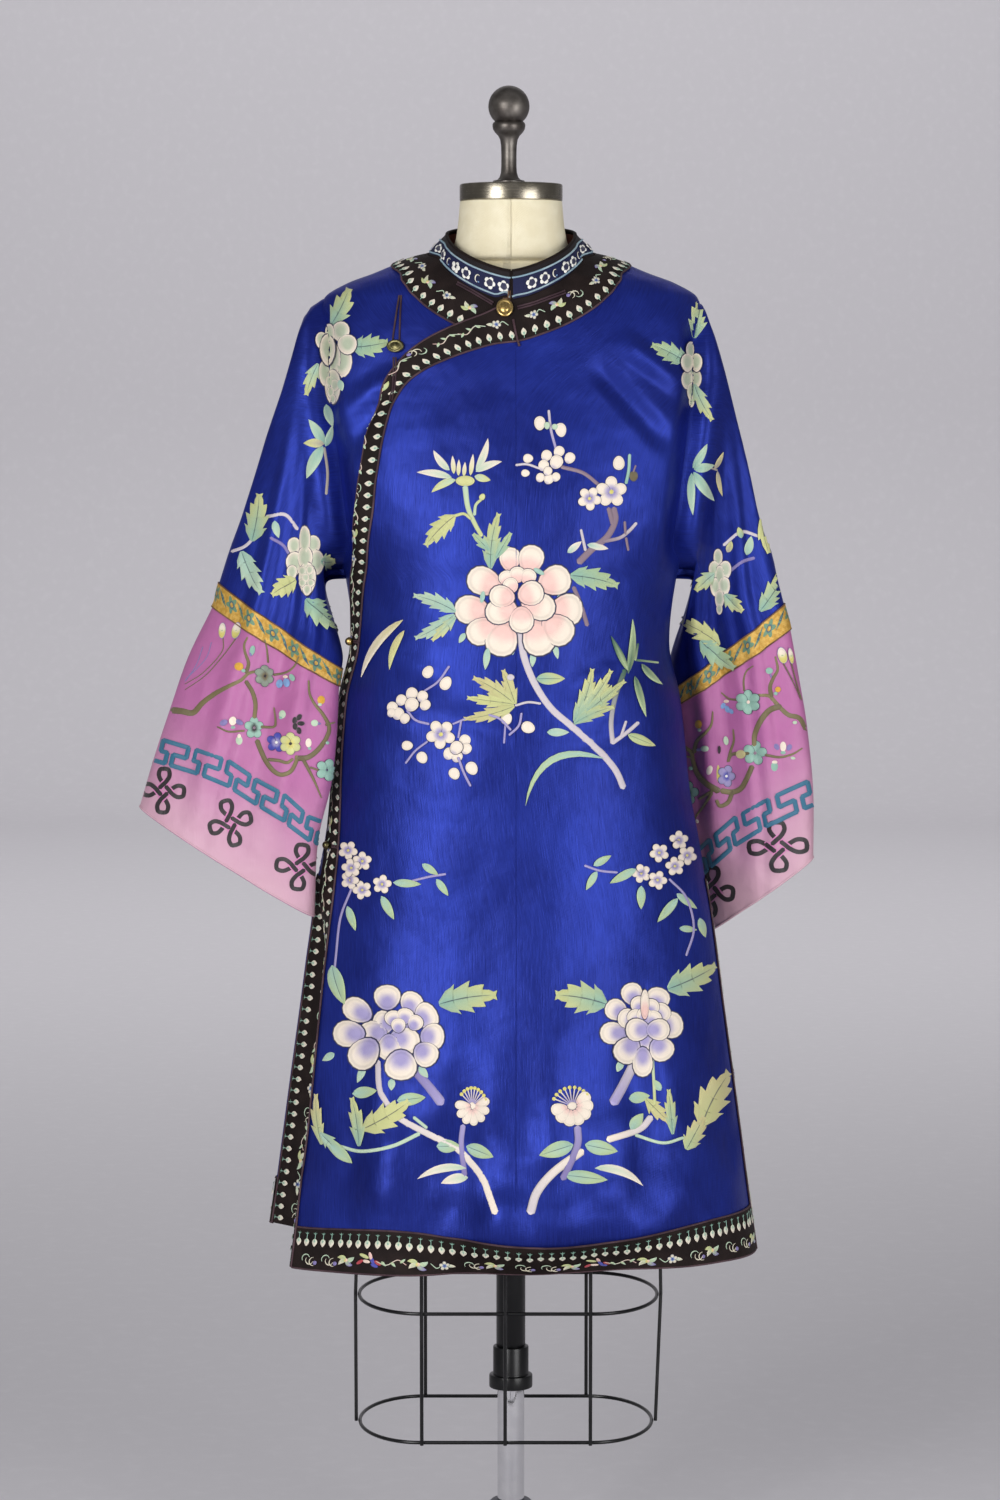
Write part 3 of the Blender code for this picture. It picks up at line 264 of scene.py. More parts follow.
LEFT_SLEEVE_ROWS = (
    # wearer's left, at +X: outer x, y, height; inner x, y, height; thickness
    (0.2180, 0.000, 1.4130, 0.1845, 0.010, 1.1220, 0.110),
    (0.2340, 0.002, 1.3720, 0.1815, 0.028, 1.1050, 0.098),
    (0.2521, 0.004, 1.3064, 0.1740, 0.046, 1.0800, 0.088),
    (0.2734, 0.006, 1.2222, 0.1720, 0.060, 1.0500, 0.080),
    (0.2870, 0.008, 1.1540, 0.1740, 0.070, 1.0230, 0.076),
    (0.3004, 0.010, 1.1010, 0.1780, 0.078, 1.0000, 0.074),
    (0.3040, 0.010, 1.0880, 0.1790, 0.080, 0.9900, 0.074),
    (0.3075, 0.010, 1.0740, 0.1800, 0.082, 0.9800, 0.074),
    (0.3180, 0.012, 1.0180, 0.1830, 0.090, 0.9200, 0.076),
    (0.3270, 0.014, 0.9660, 0.1870, 0.098, 0.8600, 0.080),
    (0.3345, 0.016, 0.8940, 0.1930, 0.106, 0.7900, 0.086),
    (0.3352, 0.018, 0.8203, 0.2000, 0.114, 0.7130, 0.092),
)
RIBBON_ROWS = (5, 6, 7)  # of a sleeve's rows: the ribbon's top, its seam and its lower edge
BACK_FOLDS = (
    # angle from the centre back, depth outwards, half width of the angle
    (-1.05, 0.006, 0.22),
    (-0.50, 0.005, 0.20),
    (0.05, 0.004, 0.20),
    (0.55, 0.005, 0.20),
    (1.00, 0.006, 0.22),
)
TORSO = Table(
    "height half_width front back",
    (0.745, 0.1750, 0.1160, 0.1180),
    (0.800, 0.1760, 0.1165, 0.1220),
    (0.860, 0.1700, 0.1120, 0.1160),
    (0.930, 0.1520, 0.1030, 0.1040),
    (1.000, 0.1300, 0.0940, 0.0920),
    (1.060, 0.1180, 0.0900, 0.0860),
    (1.120, 0.1240, 0.0980, 0.0880),
    (1.200, 0.1380, 0.1160, 0.0940),
    (1.250, 0.1470, 0.1180, 0.0980),
    (1.300, 0.1530, 0.1060, 0.0990),
    (1.350, 0.1620, 0.0920, 0.0970),
    (1.400, 0.1780, 0.0800, 0.0910),
    (1.430, 0.1850, 0.0720, 0.0840),
)
TORSO_NECK = Table(
    "height half_width front back",
    (1.4790, 0.0770, 0.0400, 0.0500),
    (1.4850, 0.0670, 0.0430, 0.0510),
    (1.4960, 0.0615, 0.0450, 0.0510),
    (1.5150, 0.0580, 0.0455, 0.0500),
    (1.5407, 0.0557, 0.0450, 0.0490),
)
SHOULDER_ROWS = (1.445, 1.4505, 1.456, 1.461, 1.467, 1.4715, 1.475)


def ramp(value: np.ndarray | float, start: float, end: float) -> np.ndarray:
    """0 at start and before, 1 at end and beyond, smooth between."""
    t = np.clip((value - start) / (end - start), 0, 1)
    return t * t * (3 - 2 * t)


def bump(value: np.ndarray | float, middle: float, half_width: float) -> np.ndarray:
    """1 in the middle, 0 a half width away, smooth between."""
    t = np.clip(np.abs(value - middle) / half_width, 0, 1)
    return (1 - t * t) ** 2


def smooth_rows(grid: np.ndarray, times: int) -> np.ndarray:
    """Put rows between those of a grid, on smooth curves through them.

    Args:
        grid: any array, whose first axis is refined.
        times: how many steps each step becomes.

    Returns:
        The finer array.
    """
    count = len(grid)
    padded = np.concatenate([2 * grid[:1] - grid[1:2], grid, 2 * grid[-1:] - grid[-2:-1]])
    places = np.linspace(0, count - 1, (count - 1) * times + 1)
    i = np.minimum(places.astype(int), count - 2)
    t = (places - i).reshape((-1,) + (1,) * (grid.ndim - 1))
    a, b, c, d = (padded[i + k] for k in range(4))
    return 0.5 * (2 * b + (c - a) * t + (2 * a - 5 * b + 4 * c - d) * t**2 + (3 * b - a - 3 * c + d) * t**3)


def straight_columns(grid: np.ndarray, times: int) -> np.ndarray:
    """Put columns between those of a grid, on straight lines.

    Args:
        grid: an array whose second axis is refined.
        times: how many steps each step becomes.

    Returns:
        The finer array.
    """
    count = grid.shape[1]
    places = np.linspace(0, count - 1, (count - 1) * times + 1)
    i = np.minimum(places.astype(int), count - 2)
    t = (places - i).reshape((1, -1) + (1,) * (grid.ndim - 2))
    return grid[:, i] * (1 - t) + grid[:, i + 1] * t


def unit(vectors: np.ndarray) -> np.ndarray:
    """Vectors of length 1."""
    return vectors / np.maximum(np.linalg.norm(vectors, axis=-1, keepdims=True), 1e-12)


@dataclass(frozen=True)
class Crease:
    """A soft ridge or valley in worn cloth, between two places of the front as (x, height)."""

    start: tuple[float, float]
    end: tuple[float, float]
    depth: float
    half_width: float
    sag: float = 0.0

    def rise(self, x: np.ndarray, height: np.ndarray) -> np.ndarray:
        """How far the crease lifts the cloth.

        Args:
            x: places across the front.
            height: their heights.

        Returns:
            The lift there, below 0 in a valley.
        """
        start, end = np.array(self.start), np.array(self.end)
        way = end - start
        length = np.linalg.norm(way)
        along = ((x - start[0]) * way[0] + (height - start[1]) * way[1]) / length**2
        across = ((x - start[0]) * way[1] - (height - start[1]) * way[0]) / length
        across = across + self.sag * 4 * along * (1 - along)
        ends = ramp(along, -0.05, 0.3) * ramp(along, 1.05, 0.7)
        return self.depth * ends * bump(across, 0, self.half_width)


ROWS_FINER = 5  # steps of the looks for each step of the cut
COLUMNS_FINER = 8
NORMAL_STEP = (math.radians(0.8), 0.002)  # the angle and the height over which a slope is measured
VALLEY_DEPTH = 0.015
VALLEY_REACH = 0.030  # how far from the armhole its valley begins


def armhole_valley(height: np.ndarray) -> np.ndarray:
    """How far the seam between body and sleeve lies in its valley."""
    return VALLEY_DEPTH * ramp(height, 1.432, 1.385) * ramp(height, 1.134, 1.175)


FRONT_CREASES = (
    Crease((-0.120, 1.355), (-0.198, 1.300), 0.007, 0.016),
    Crease((-0.130, 1.330), (-0.190, 1.255), -0.006, 0.014),
    Crease((0.110, 1.395), (0.190, 1.335), 0.007, 0.018),
    Crease((0.080, 1.370), (0.175, 1.270), -0.006, 0.018),
    Crease((-0.150, 1.060), (-0.060, 1.020), 0.004, 0.016),
    Crease((0.150, 1.050), (0.050, 1.010), 0.004, 0.016),
    Crease((-0.155, 1.000), (0.020, 0.955), -0.003, 0.018, 0.01),
    Crease((0.160, 0.990), (0.010, 0.950), -0.003, 0.018, 0.01),
    Crease((-0.120, 0.700), (-0.150, 0.440), 0.006, 0.030),
    Crease((-0.040, 0.640), (-0.060, 0.430), -0.006, 0.030),
    Crease((0.040, 0.680), (0.050, 0.430), 0.006, 0.032),
    Crease((0.130, 0.700), (0.150, 0.440), -0.006, 0.030),
)
BACK_CREASES = (
    Crease((-0.150, 1.060), (-0.040, 1.010), 0.004, 0.018),
    Crease((0.150, 1.060), (0.040, 1.010), 0.004, 0.018),
    Crease((-0.130, 1.360), (-0.190, 1.270), 0.004, 0.020),
    Crease((0.130, 1.360), (0.190, 1.270), 0.004, 0.020),
)
# The lines that the sleeves' heads fall along: distance from the centre, height
RIGHT_SHOULDER = (
    (0.1744, 1.4490), (0.1958, 1.4425), (0.2068, 1.4345), (0.2166, 1.4240), (0.2244, 1.4130),
    (0.2288, 1.4020), (0.2332, 1.3908), (0.2388, 1.3688),
    (0.2454, 1.3468), (0.2521, 1.3250), (0.2677, 1.2813), (0.2811, 1.2375), (0.2956, 1.1937),
    (0.3113, 1.1499),
)
LEFT_SHOULDER = (
    (0.1750, 1.4490), (0.1849, 1.4452), (0.1946, 1.4345), (0.2067, 1.4240), (0.2144, 1.4130),
    (0.2210, 1.3908), (0.2277, 1.3688), (0.2344, 1.3468),
    (0.2399, 1.3250), (0.2511, 1.2813), (0.2623, 1.2375), (0.2720, 1.1937), (0.2850, 1.1499),
)
# Folds of a sleeve, along it: place across the chord and rows from the armhole, depth, half width
SLEEVE_CREASES = (
    Crease((0.30, 2.0), (0.32, 12.5), 0.0085, 0.10),
    Crease((0.55, 1.5), (0.58, 12.5), -0.0078, 0.10),
    Crease((0.76, 2.0), (0.74, 12.5), 0.0066, 0.09),
    Crease((0.42, 6.0), (0.45, 12.5), 0.0045, 0.07),
)


class BodyShape:
    """The middle surfaces of the robe's body, as functions of an angle and a height."""

    @staticmethod
    def ring(angle: np.ndarray, height: np.ndarray, grow: np.ndarray | float = 0.0) -> tuple:
        """Find points on the rings of the body.

        Args:
            angle: the angle from the centre front.
            height: the ring's height.
            grow: how much wider than the ring.

        Returns:
            Their x and y.
        """
        across, along = np.sin(angle), np.cos(angle)
        power = 2 / BODY.at("roundness", height)
        half_width = BODY.at("half_width", height) + grow
        depth = np.where(along > 0, -BODY.at("front", height), BODY.at("back", height))
        return half_width * np.sign(across) * np.abs(across) ** power, depth * np.abs(along) ** power

    @staticmethod
    def angle_at(x: np.ndarray | float, height: np.ndarray | float) -> np.ndarray:
        """The angle at which the front of a ring has this x."""
        share = np.clip(np.abs(x) / BODY.at("half_width", height), 0, 1)
        return np.sign(x) * np.arcsin(share ** (BODY.at("roundness", height) / 2))

    @staticmethod
    def past_edge(x: np.ndarray, y: np.ndarray, past: np.ndarray, edge: tuple, straight: tuple,
                  turned: np.ndarray) -> tuple:
        """Take a panel beyond its edge: round with the rings, or straight once it has turned.

        Args:
            x: the x of its points on the rings.
            y: their y.
            past: how far beyond the edge they lie, as an angle.
            edge: x and y of the edge.
            straight: the way it goes once it has turned.
            turned: how much of the turn there is at each height.

        Returns:
            x and y of the points.
        """
        straight_x = edge[0] + past * TURN_RADIUS * straight[0]
        straight_y = edge[1] + past * TURN_RADIUS * straight[1]
        share = np.where(past > 0, turned, 0)
        return (1 - share) * x + share * straight_x, (1 - share) * y + share * straight_y

    @staticmethod
    def left_turn_angle(height: np.ndarray | float) -> np.ndarray:
        """Where the front starts to turn away at the wearer's left: at the seam, then at the vent."""
        return QUARTER - EDGE_TRIM / TURN_RADIUS + 0.11 * ramp(height, VENT_TOP, 0.76)

    @classmethod
    def front(cls, angle: np.ndarray, height: np.ndarray) -> np.ndarray:
        """Find the middle surface of the fronts, with its creases.

        Args:
            angle: angles from the centre front.
            height: heights.

        Returns:
            The points there.
        """
        x, y = cls.ring(angle, height)
        edge = cls.angle_at(FRONT_EDGE.at("x", height), height)
        turned = ramp(height, 0.80, 0.70)
        x, y = cls.past_edge(x, y, np.maximum(-angle - edge, 0), cls.ring(-edge, height), (0.14, 0.99),
                             turned)
        edge = cls.left_turn_angle(height)
        turned = ramp(height, VENT_TOP, 0.74)
        x, y = cls.past_edge(x, y, np.maximum(angle - edge, 0), cls.ring(edge, height), (0.04, 0.999),
                             turned)
        tuck = FRONT_HEM_SHAPE.at("tuck", x)
        hem, hem_top = FRONT_HEM_SHAPE.at("bottom", x), FRONT_HEM_SHAPE.at("top", x)
        facing = ramp(np.cos(angle), 0.1, 0.6)
        below = np.clip((hem_top - height) / (hem_top - hem), 0, 1)
        billow = 0.012 * (0.35 + 0.65 * tuck) * bump(height, 0.445, 0.055)
        wave = 0.004 * np.sin(x * 42 + 0.8) * ramp(height, 0.62, 0.42)
        y = y + facing * (tuck * 0.027 * below - billow - wave)
        beside = ARMHOLE.at("x", height) - np.abs(x)
        fold = sum(crease.rise(x, height) for crease in FRONT_CREASES)
        fold = fold - armhole_valley(height) * ramp(beside, VALLEY_REACH, 0.0)
        away = ramp(np.cos(angle), 0.02, 0.35)
        out = unit(np.stack([0.6 * np.sin(angle), -np.cos(angle), 0 * angle], axis=-1))
        return np.stack([x, y, height + 0 * x], axis=-1) + out * (fold * away)[..., None]

    @classmethod
    def back(cls, angle: np.ndarray, height: np.ndarray) -> np.ndarray:
        """Find the middle surface of the back, whose vent edges turn in towards the front.

        Args:
            angle: angles from the centre front.
            height: heights.

        Returns:
            The points there.
        """
        vent = ramp(height, VENT_TOP, 0.78)
        turn = angle - math.pi
        grow = 0.003 * vent * (turn > 0)
        x, y = cls.ring(angle, height, grow)
        edge = QUARTER - 0.10 * vent
        for side in (-1, 1):
            past = np.maximum(side * turn - edge, 0)
            edge_point = cls.ring(math.pi + side * edge, height, grow)
            x, y = cls.past_edge(x, y, past, edge_point, (side * 0.70, -0.71), vent)
        out = sum(depth * bump(turn, middle, width) for middle, depth, width in BACK_FOLDS)
        y = y + out * ramp(height, 1.05, 0.5) * ramp(np.abs(turn), 1.5, 1.2)
        fold = sum(crease.rise(x, height) for crease in BACK_CREASES)
        beside = ARMHOLE.at("x", height) - np.abs(x)
        valley = 0.8 * armhole_valley(height) * ramp(beside, VALLEY_REACH, 0.0)
        y = y + fold * ramp(np.abs(turn), 1.5, 1.2) - valley
        return np.stack([x, y, height + 0 * x], axis=-1)

    @staticmethod
    def normals(skin: Callable, angle: np.ndarray, height: np.ndarray) -> np.ndarray:
        """Measure the directions out of a skin.

        Args:
            skin: the function of the surface.
            angle: angles from the centre front.
            height: heights.

        Returns:
            Unit vectors.
        """
        turn, rise = NORMAL_STEP
        across = skin(angle + turn, height) - skin(angle - turn, height)
        up = skin(angle, height + rise) - skin(angle, height - rise)
        return unit(np.cross(across, up))


@dataclass
class Cloth:
    """A grid of the middle points of cloth and the directions out of it."""

    points: np.ndarray
    out: np.ndarray

    def part(self, rows: slice = slice(None), columns: slice | int = slice(None)) -> "Cloth":
        """Some of the rows and columns."""
        return Cloth(self.points[rows, columns], self.out[rows, columns])

    def turned(self) -> "Cloth":
        """The same cloth with its rows as columns."""
        return Cloth(self.points.swapaxes(0, 1), self.out.swapaxes(0, 1))

    def moved(self, distance: np.ndarray | float) -> "Cloth":
        """The same cloth, further out."""
        return Cloth(self.points + self.out * np.asarray(distance)[..., None], self.out)

    def metres(self, around: bool = False) -> tuple[np.ndarray, np.ndarray]:
        """How far along its row and its column each point lies.

        Args:
            around: whether the rows close on themselves.

        Returns:
            Two arrays: lengths along the rows and along the columns.
        """
        points = self.points
        if around:
            points = np.concatenate([points, points[:, :1]], axis=1)
        across = np.linalg.norm(np.diff(points, axis=1), axis=-1)
        along = np.linalg.norm(np.diff(points, axis=0), axis=-1)
        u = np.concatenate([np.zeros((len(points), 1)), np.cumsum(across, axis=1)], axis=1)
        v = np.concatenate([np.zeros((1, points.shape[1])), np.cumsum(along, axis=0)])
        return u - u.mean(axis=1, keepdims=True), v

    def area(self, around: bool = False) -> float:
        """The flat area of the cloth in square metres."""
        points = self.points
        if around:
            points = np.concatenate([points, points[:, :1]], axis=1)
        one = np.cross(points[1:, :-1] - points[:-1, :-1], points[:-1, 1:] - points[:-1, :-1])
        two = np.cross(points[1:, 1:] - points[1:, :-1], points[1:, 1:] - points[:-1, 1:])
        return float((np.linalg.norm(one, axis=-1) + np.linalg.norm(two, axis=-1)).sum() / 2)


def add_piece(name: str, mesh: bpy.types.Mesh, material: bpy.types.Material, slot: str,
              sharp: float = 50) -> bpy.types.Object:
    """Link a finished mesh that rides on the part.

    Args:
        name: the piece's name.
        mesh: its mesh, in place.
        material: its finish.
        slot: the record's slot of that finish; not used.
        sharp: the angle in degrees from which an edge is sharp.

    Returns:
        The piece.
    """
    mesh.materials.append(material)
    mesh.shade_smooth()
    mesh.set_sharp_from_angle(angle=math.radians(sharp))
    piece = bpy.data.objects.new(name, mesh)
    bpy.context.scene.collection.objects.link(piece)
    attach(piece, "root")
    return piece


def cells_of(number: np.ndarray) -> np.ndarray:
    """The faces of a grid of numbered points."""
    corners = [number[:-1, :-1], number[1:, :-1], number[1:, 1:], number[:-1, 1:]]
    return np.stack(corners, axis=-1).reshape(-1, 4)


def shell(name: str, cloth: Cloth, thick: float, around: bool = False) -> bpy.types.Mesh:
    """Make a closed wall on both sides of a cloth's middle points, with UVs in metres.

    Args:
        name: the mesh's name.
        cloth: the middle points.
        thick: the wall's thickness.
        around: whether its rows close on themselves.

    Returns:
        The mesh.
    """
    rows, columns = cloth.points.shape[:2]
    half = cloth.out * thick / 2
    layers = np.concatenate([(cloth.points + half).reshape(-1, 3), (cloth.points - half).reshape(-1, 3)])
    size = rows * columns
    number = np.arange(size).reshape(rows, columns)
    if around:
        number = np.concatenate([number, number[:, :1]], axis=1)
    u, v = cloth.metres(around)
    cells = [(slice(None, -1), slice(None, -1)), (slice(1, None), slice(None, -1))]
    cells += [(slice(1, None), slice(1, None)), (slice(None, -1), slice(1, None))]
    top = cells_of(number)
    top_uv = np.stack([np.stack([u[cell], v[cell]], axis=-1) for cell in cells], axis=-2).reshape(-1, 4, 2)
    faces = [top, top[:, ::-1] + size]
    uvs = [top_uv, top_uv[:, ::-1]]
    rims = [(number[0], u[0], v[0], 1), (number[-1], u[-1], v[-1], -1)]
    if not around:
        rims += [(number[:, 0], u[:, 0], v[:, 0], -1), (number[:, -1], u[:, -1], v[:, -1], 1)]
    for line, line_u, line_v, way in rims:
        rim = np.stack([line[:-1], line[1:], line[1:] + size, line[:-1] + size], axis=-1)
        spots = np.stack([line_u, line_v], axis=-1)
        rim_uv = np.stack([spots[:-1], spots[1:], spots[1:], spots[:-1]], axis=1)
        faces.append(rim[:, ::way])
        uvs.append(rim_uv[:, ::way])
    every, every_uv = np.concatenate(faces), np.concatenate(uvs)
    corner = layers[top[0]]
    if np.dot(np.cross(corner[1] - corner[0], corner[2] - corner[0]),
              cloth.out.reshape(-1, 3)[top[0][0]]) < 0:
        every, every_uv = every[:, ::-1], every_uv[:, ::-1]
    mesh = bpy.data.meshes.new(name)
    mesh.from_pydata(layers.tolist(), [], every.tolist())
    mesh.uv_layers.new(name="UVMap").data.foreach_set("uv", every_uv.ravel().astype(np.float32))
    return mesh


def declare_sheet(piece: bpy.types.Object, cloth: Cloth, around: bool, rests_on: list,
                  with_pieces: list) -> None:
    """State the flat size of a piece of cloth, which the form doesn't stretch.

    Args:
        piece: the piece.
        cloth: its middle points.
        around: whether its rows close on themselves.
        rests_on: what it lies on; not used.
        with_pieces: what is sewn on it; not used.
    """
    u, v = cloth.metres(around)
    width, length = float(np.ptp(u, axis=1).max()), float(v.max())
    cloth.area(around)
    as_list(rests_on)
    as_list(with_pieces)
    LOG.info("%s: cut %.3f x %.3f m, %.3f m2", piece.name, width, length, cloth.area(around))


class Socket:
    """A value in a material, which takes part in Python expressions."""

    def __init__(self, graph: "Graph", link: bpy.types.NodeSocket) -> None:
        """Wrap a link's start.

        Args:
            graph: the graph that it belongs to.
            link: the output socket.
        """
        self.graph, self.link = graph, link

    def _maths(self, operation: str, *values: "Socket | float") -> "Socket":
        """A Math node on values."""
        return self.graph.node("ShaderNodeMath", {"operation": operation}, dict(enumerate(values)))

    def __add__(self, other: "Socket | float") -> "Socket":
        """Their sum."""
        return self._maths("ADD", self, other)

    __radd__ = __add__

    def __sub__(self, other: "Socket | float") -> "Socket":
        """Their difference."""
        return self._maths("SUBTRACT", self, other)

    def __rsub__(self, other: "Socket | float") -> "Socket":
        """Their difference, the other way round."""
        return self._maths("SUBTRACT", other, self)

    def __mul__(self, other: "Socket | float") -> "Socket":
        """Their product."""
        return self._maths("MULTIPLY", self, other)

    __rmul__ = __mul__

    def __truediv__(self, other: "Socket | float") -> "Socket":
        """Their quotient."""
        return self._maths("DIVIDE", self, other)

    def __lt__(self, other: "Socket | float") -> "Socket":
        """1 where this is less, otherwise 0."""
        return self._maths("LESS_THAN", self, other)

    def __gt__(self, other: "Socket | float") -> "Socket":
        """1 where this is more, otherwise 0."""
        return self._maths("GREATER_THAN", self, other)

    def sine(self) -> "Socket":
        """Its sine."""
        return self._maths("SINE", self)

    def size(self) -> "Socket":
        """Its size without its sign."""
        return self._maths("ABSOLUTE", self)

    def part(self, step: float) -> "Socket":
        """How far it is past the last whole step."""
        return self._maths("FLOORED_MODULO", self, step)

    def power(self, exponent: float) -> "Socket":
        """It to a power."""
        return self._maths("POWER", self, exponent)

    def angle_to(self, other: "Socket") -> "Socket":
        """The angle whose tangent is this over the other."""
        return self._maths("ARCTAN2", self, other)

    def between(self, start: float, end: float) -> "Socket":
        """0 at start and 1 at end, smooth between."""
        settings = {"interpolation_type": "SMOOTHSTEP"}
        return self.graph.node("ShaderNodeMapRange", settings,
                               {"Value": self, "From Min": start, "From Max": end})


Value = float | Socket
Colour = tuple[float, float, float] | Socket


class Graph:
    """A new material and the nodes in it."""

    def __init__(self, name: str) -> None:
        """Start a material with an empty shader."""
        self.material = bpy.data.materials.new(name)
        self.material.use_nodes = True
        self.tree = self.material.node_tree
        self.shader = self.tree.nodes["Principled BSDF"]

    def node(self, kind: str, settings: dict, inputs: dict, output: int | str = 0) -> Socket:
        """Add any node.

        Args:
            kind: its type.
            settings: its own settings, which are set first.
            inputs: the values or links of its sockets, by name or number.
            output: the output that is wanted.

        Returns:
            That output.
        """
        node = self.tree.nodes.new(kind)
        for key, value in settings.items():
            setattr(node, key, value)
        for key, value in inputs.items():
            self.put(node.inputs[key], value)
        return Socket(self, node.outputs[output])

    def put(self, socket: bpy.types.NodeSocket, value: "Value | tuple") -> None:
        """Set an input socket, or link it.

        Args:
            socket: the input.
            value: its value, or what is linked to it.
        """
        if isinstance(value, Socket):
            self.tree.links.new(value.link, socket)
        elif isinstance(value, tuple) and len(value) == 3 and socket.type == "RGBA":
            socket.default_value = (*value, 1)
        else:
            socket.default_value = value

    def place(self) -> Socket:
        """Where a point lies on the object, in metres."""
        return self.node("ShaderNodeTexCoord", {}, {}, "Object")

    def uv(self) -> tuple[Socket, Socket]:
        """The two coordinates of the piece's own UV map, in metres."""
        spot = self.node("ShaderNodeTexCoord", {}, {}, "UV")
        node = self.tree.nodes.new("ShaderNodeSeparateXYZ")
        self.put(node.inputs[0], spot)
        return Socket(self, node.outputs[0]), Socket(self, node.outputs[1])

    def noise(self, scale: float, detail: float = 3, where: Socket | None = None) -> Socket:
        """Soft random values about 0.5, with this many patches to a unit of where they are read."""
        inputs = {"Vector": where or self.place(), "Scale": scale, "Detail": detail}
        return self.node("ShaderNodeTexNoise", {}, inputs)

    def mix(self, share: Value, first: Colour, second: Colour) -> Socket:
        """Mix two colours.

        Args:
            share: how much of the second there is.
            first: the colour where it is 0.
            second: the colour where it is 1.

        Returns:
            The mixed colour.
        """
        node = self.tree.nodes.new("ShaderNodeMix")
        node.data_type = "RGBA"
        for socket, value in ((node.inputs[0], share), (node.inputs[6], first), (node.inputs[7], second)):
            self.put(socket, value)
        return Socket(self, node.outputs[2])

    def bump(self, height: Value, distance: float, strength: float = 1.0) -> Socket:
        """A normal for a relief of this height."""
        inputs = {"Height": height, "Distance": distance, "Strength": strength}
        return self.node("ShaderNodeBump", {}, inputs, "Normal")

    def dress(self, **inputs) -> bpy.types.Material:
        """Set the shader's sockets, named with _ for a space, and give the material."""
        for key, value in inputs.items():
            self.put(self.shader.inputs[key.replace("_", " ")], value)
        return self.material


@dataclass(frozen=True)
class Satin:
    """A smooth lustrous cloth of long threads, a little darker and lighter in soft patches."""

    name: str = "blue_satin"
    shade: tuple = (0.0075, 0.0125, 0.130)
    light: tuple = (0.0170, 0.0320, 0.270)
    tint: tuple = (0.24, 0.34, 0.9)
    roughness: float = 0.35

    def material(self) -> bpy.types.Material:
        """Build it."""
        graph = Graph(self.name)
        across, along = graph.uv()
        soft = graph.noise(9, 4)
        slub = graph.noise(1, 2, self.stretched(graph))
        share = (soft * 0.7 + slub * 0.5 - 0.1).between(0.25, 0.85)
        weave = (across * 5200).sine() * 0.5 + (along * 3600).sine() * 0.5
        grain = weave * 0.00004 + slub * 0.00025 + graph.noise(160, 3) * 0.00025
        height = graph.node("ShaderNodeSeparateXYZ", {}, {"Vector": graph.place()}, "Z")
        low = 1 - height.between(0.46, 0.80)
        relief = grain + graph.noise(6.5, 2) * 0.015 + graph.noise(19, 2) * 0.004
        relief = relief + graph.noise(10, 1) * (low * 0.048)
        colour = graph.mix(share, self.shade, self.light)
        return graph.dress(
            Base_Color=colour,
            Roughness=self.roughness + soft * 0.10,
            Metallic=0.45,
            Specular_IOR_Level=0.55,
            Specular_Tint=(*self.tint, 1),
            Normal=graph.bump(relief, 1.0, 0.8),
        )

    @staticmethod
    def stretched(graph: Graph) -> Socket:
        """Places drawn out along the threads, which run down the cloth."""
        spot = graph.node("ShaderNodeTexCoord", {}, {}, "UV")
        return graph.node("ShaderNodeMapping", {}, {"Vector": spot, "Scale": (900, 40, 1)})


@dataclass(frozen=True)
class CuffSatin:
    """Pink satin that pales towards the hem."""

    top: tuple = (0.40, 0.125, 0.300)
    low: tuple = (0.55, 0.345, 0.410)

    def material(self) -> bpy.types.Material:
        """Build it."""
        graph = Graph("pink_satin")
        _, along = graph.uv()
        soft = graph.noise(14, 4)
        slub = graph.noise(1, 2, Satin.stretched(graph))
        share = (along + (soft - 0.5) * 0.06).between(0.10, 0.30)
        relief = slub * 0.0003 + graph.noise(160, 3) * 0.0002 + graph.noise(13, 2) * 0.016
        relief = relief + graph.noise(34, 2) * 0.003
        return graph.dress(
            Base_Color=graph.mix(share, self.top, self.low),
            Roughness=0.44 + soft * 0.14,
            Specular_IOR_Level=0.35,
            Normal=graph.bump(relief, 1.0, 0.8),
        )


@dataclass(frozen=True)
class Brocade:
    """A golden woven ribbon with a row of small teal and navy flowers."""

    pitch: float = 0.032
    gold: tuple = (0.46, 0.25, 0.030)
    pale: tuple = (0.60, 0.37, 0.080)
    teal: tuple = (0.13, 0.24, 0.15)
    navy: tuple = (0.05, 0.10, 0.14)

    def material(self) -> bpy.types.Material:
        """Build it."""
        graph = Graph("gold_brocade")
        across, along = graph.uv()
        step = across + 10 * self.pitch
        u = step.part(self.pitch) - self.pitch / 2
        v = along - 0.0105
        radius = (u * u + v * v).power(0.5)
        petals = (v.angle_to(u) * 5).sine()
        flower = (radius < (petals * 0.0022 + 0.0072)) - (radius < 0.0024)
        beside = (step + self.pitch / 2).part(self.pitch) - self.pitch / 2
        leaf = (beside.size() * 0.9 + (v - beside * 0.8).size() * 2.6) < 0.0082
        weave = (across * 2600).sine() * (along * 2600).sine()
        ground = graph.mix(graph.noise(240, 2).between(0.35, 0.65), self.gold, self.pale)
        speckled = graph.mix(graph.noise(300, 1).between(0.45, 0.55), self.navy, self.teal)
        colour = graph.mix(leaf, ground, speckled)
        ringed = graph.mix(radius.between(0.003, 0.0045), self.navy, self.teal)
        colour = graph.mix(flower, colour, ringed)
        return graph.dress(
            Base_Color=colour,
            Roughness=0.42 + graph.noise(90, 2) * 0.15,
            Metallic=0.25,
            Normal=graph.bump(weave * 0.5 + flower + leaf, 0.0004, 0.6),
        )


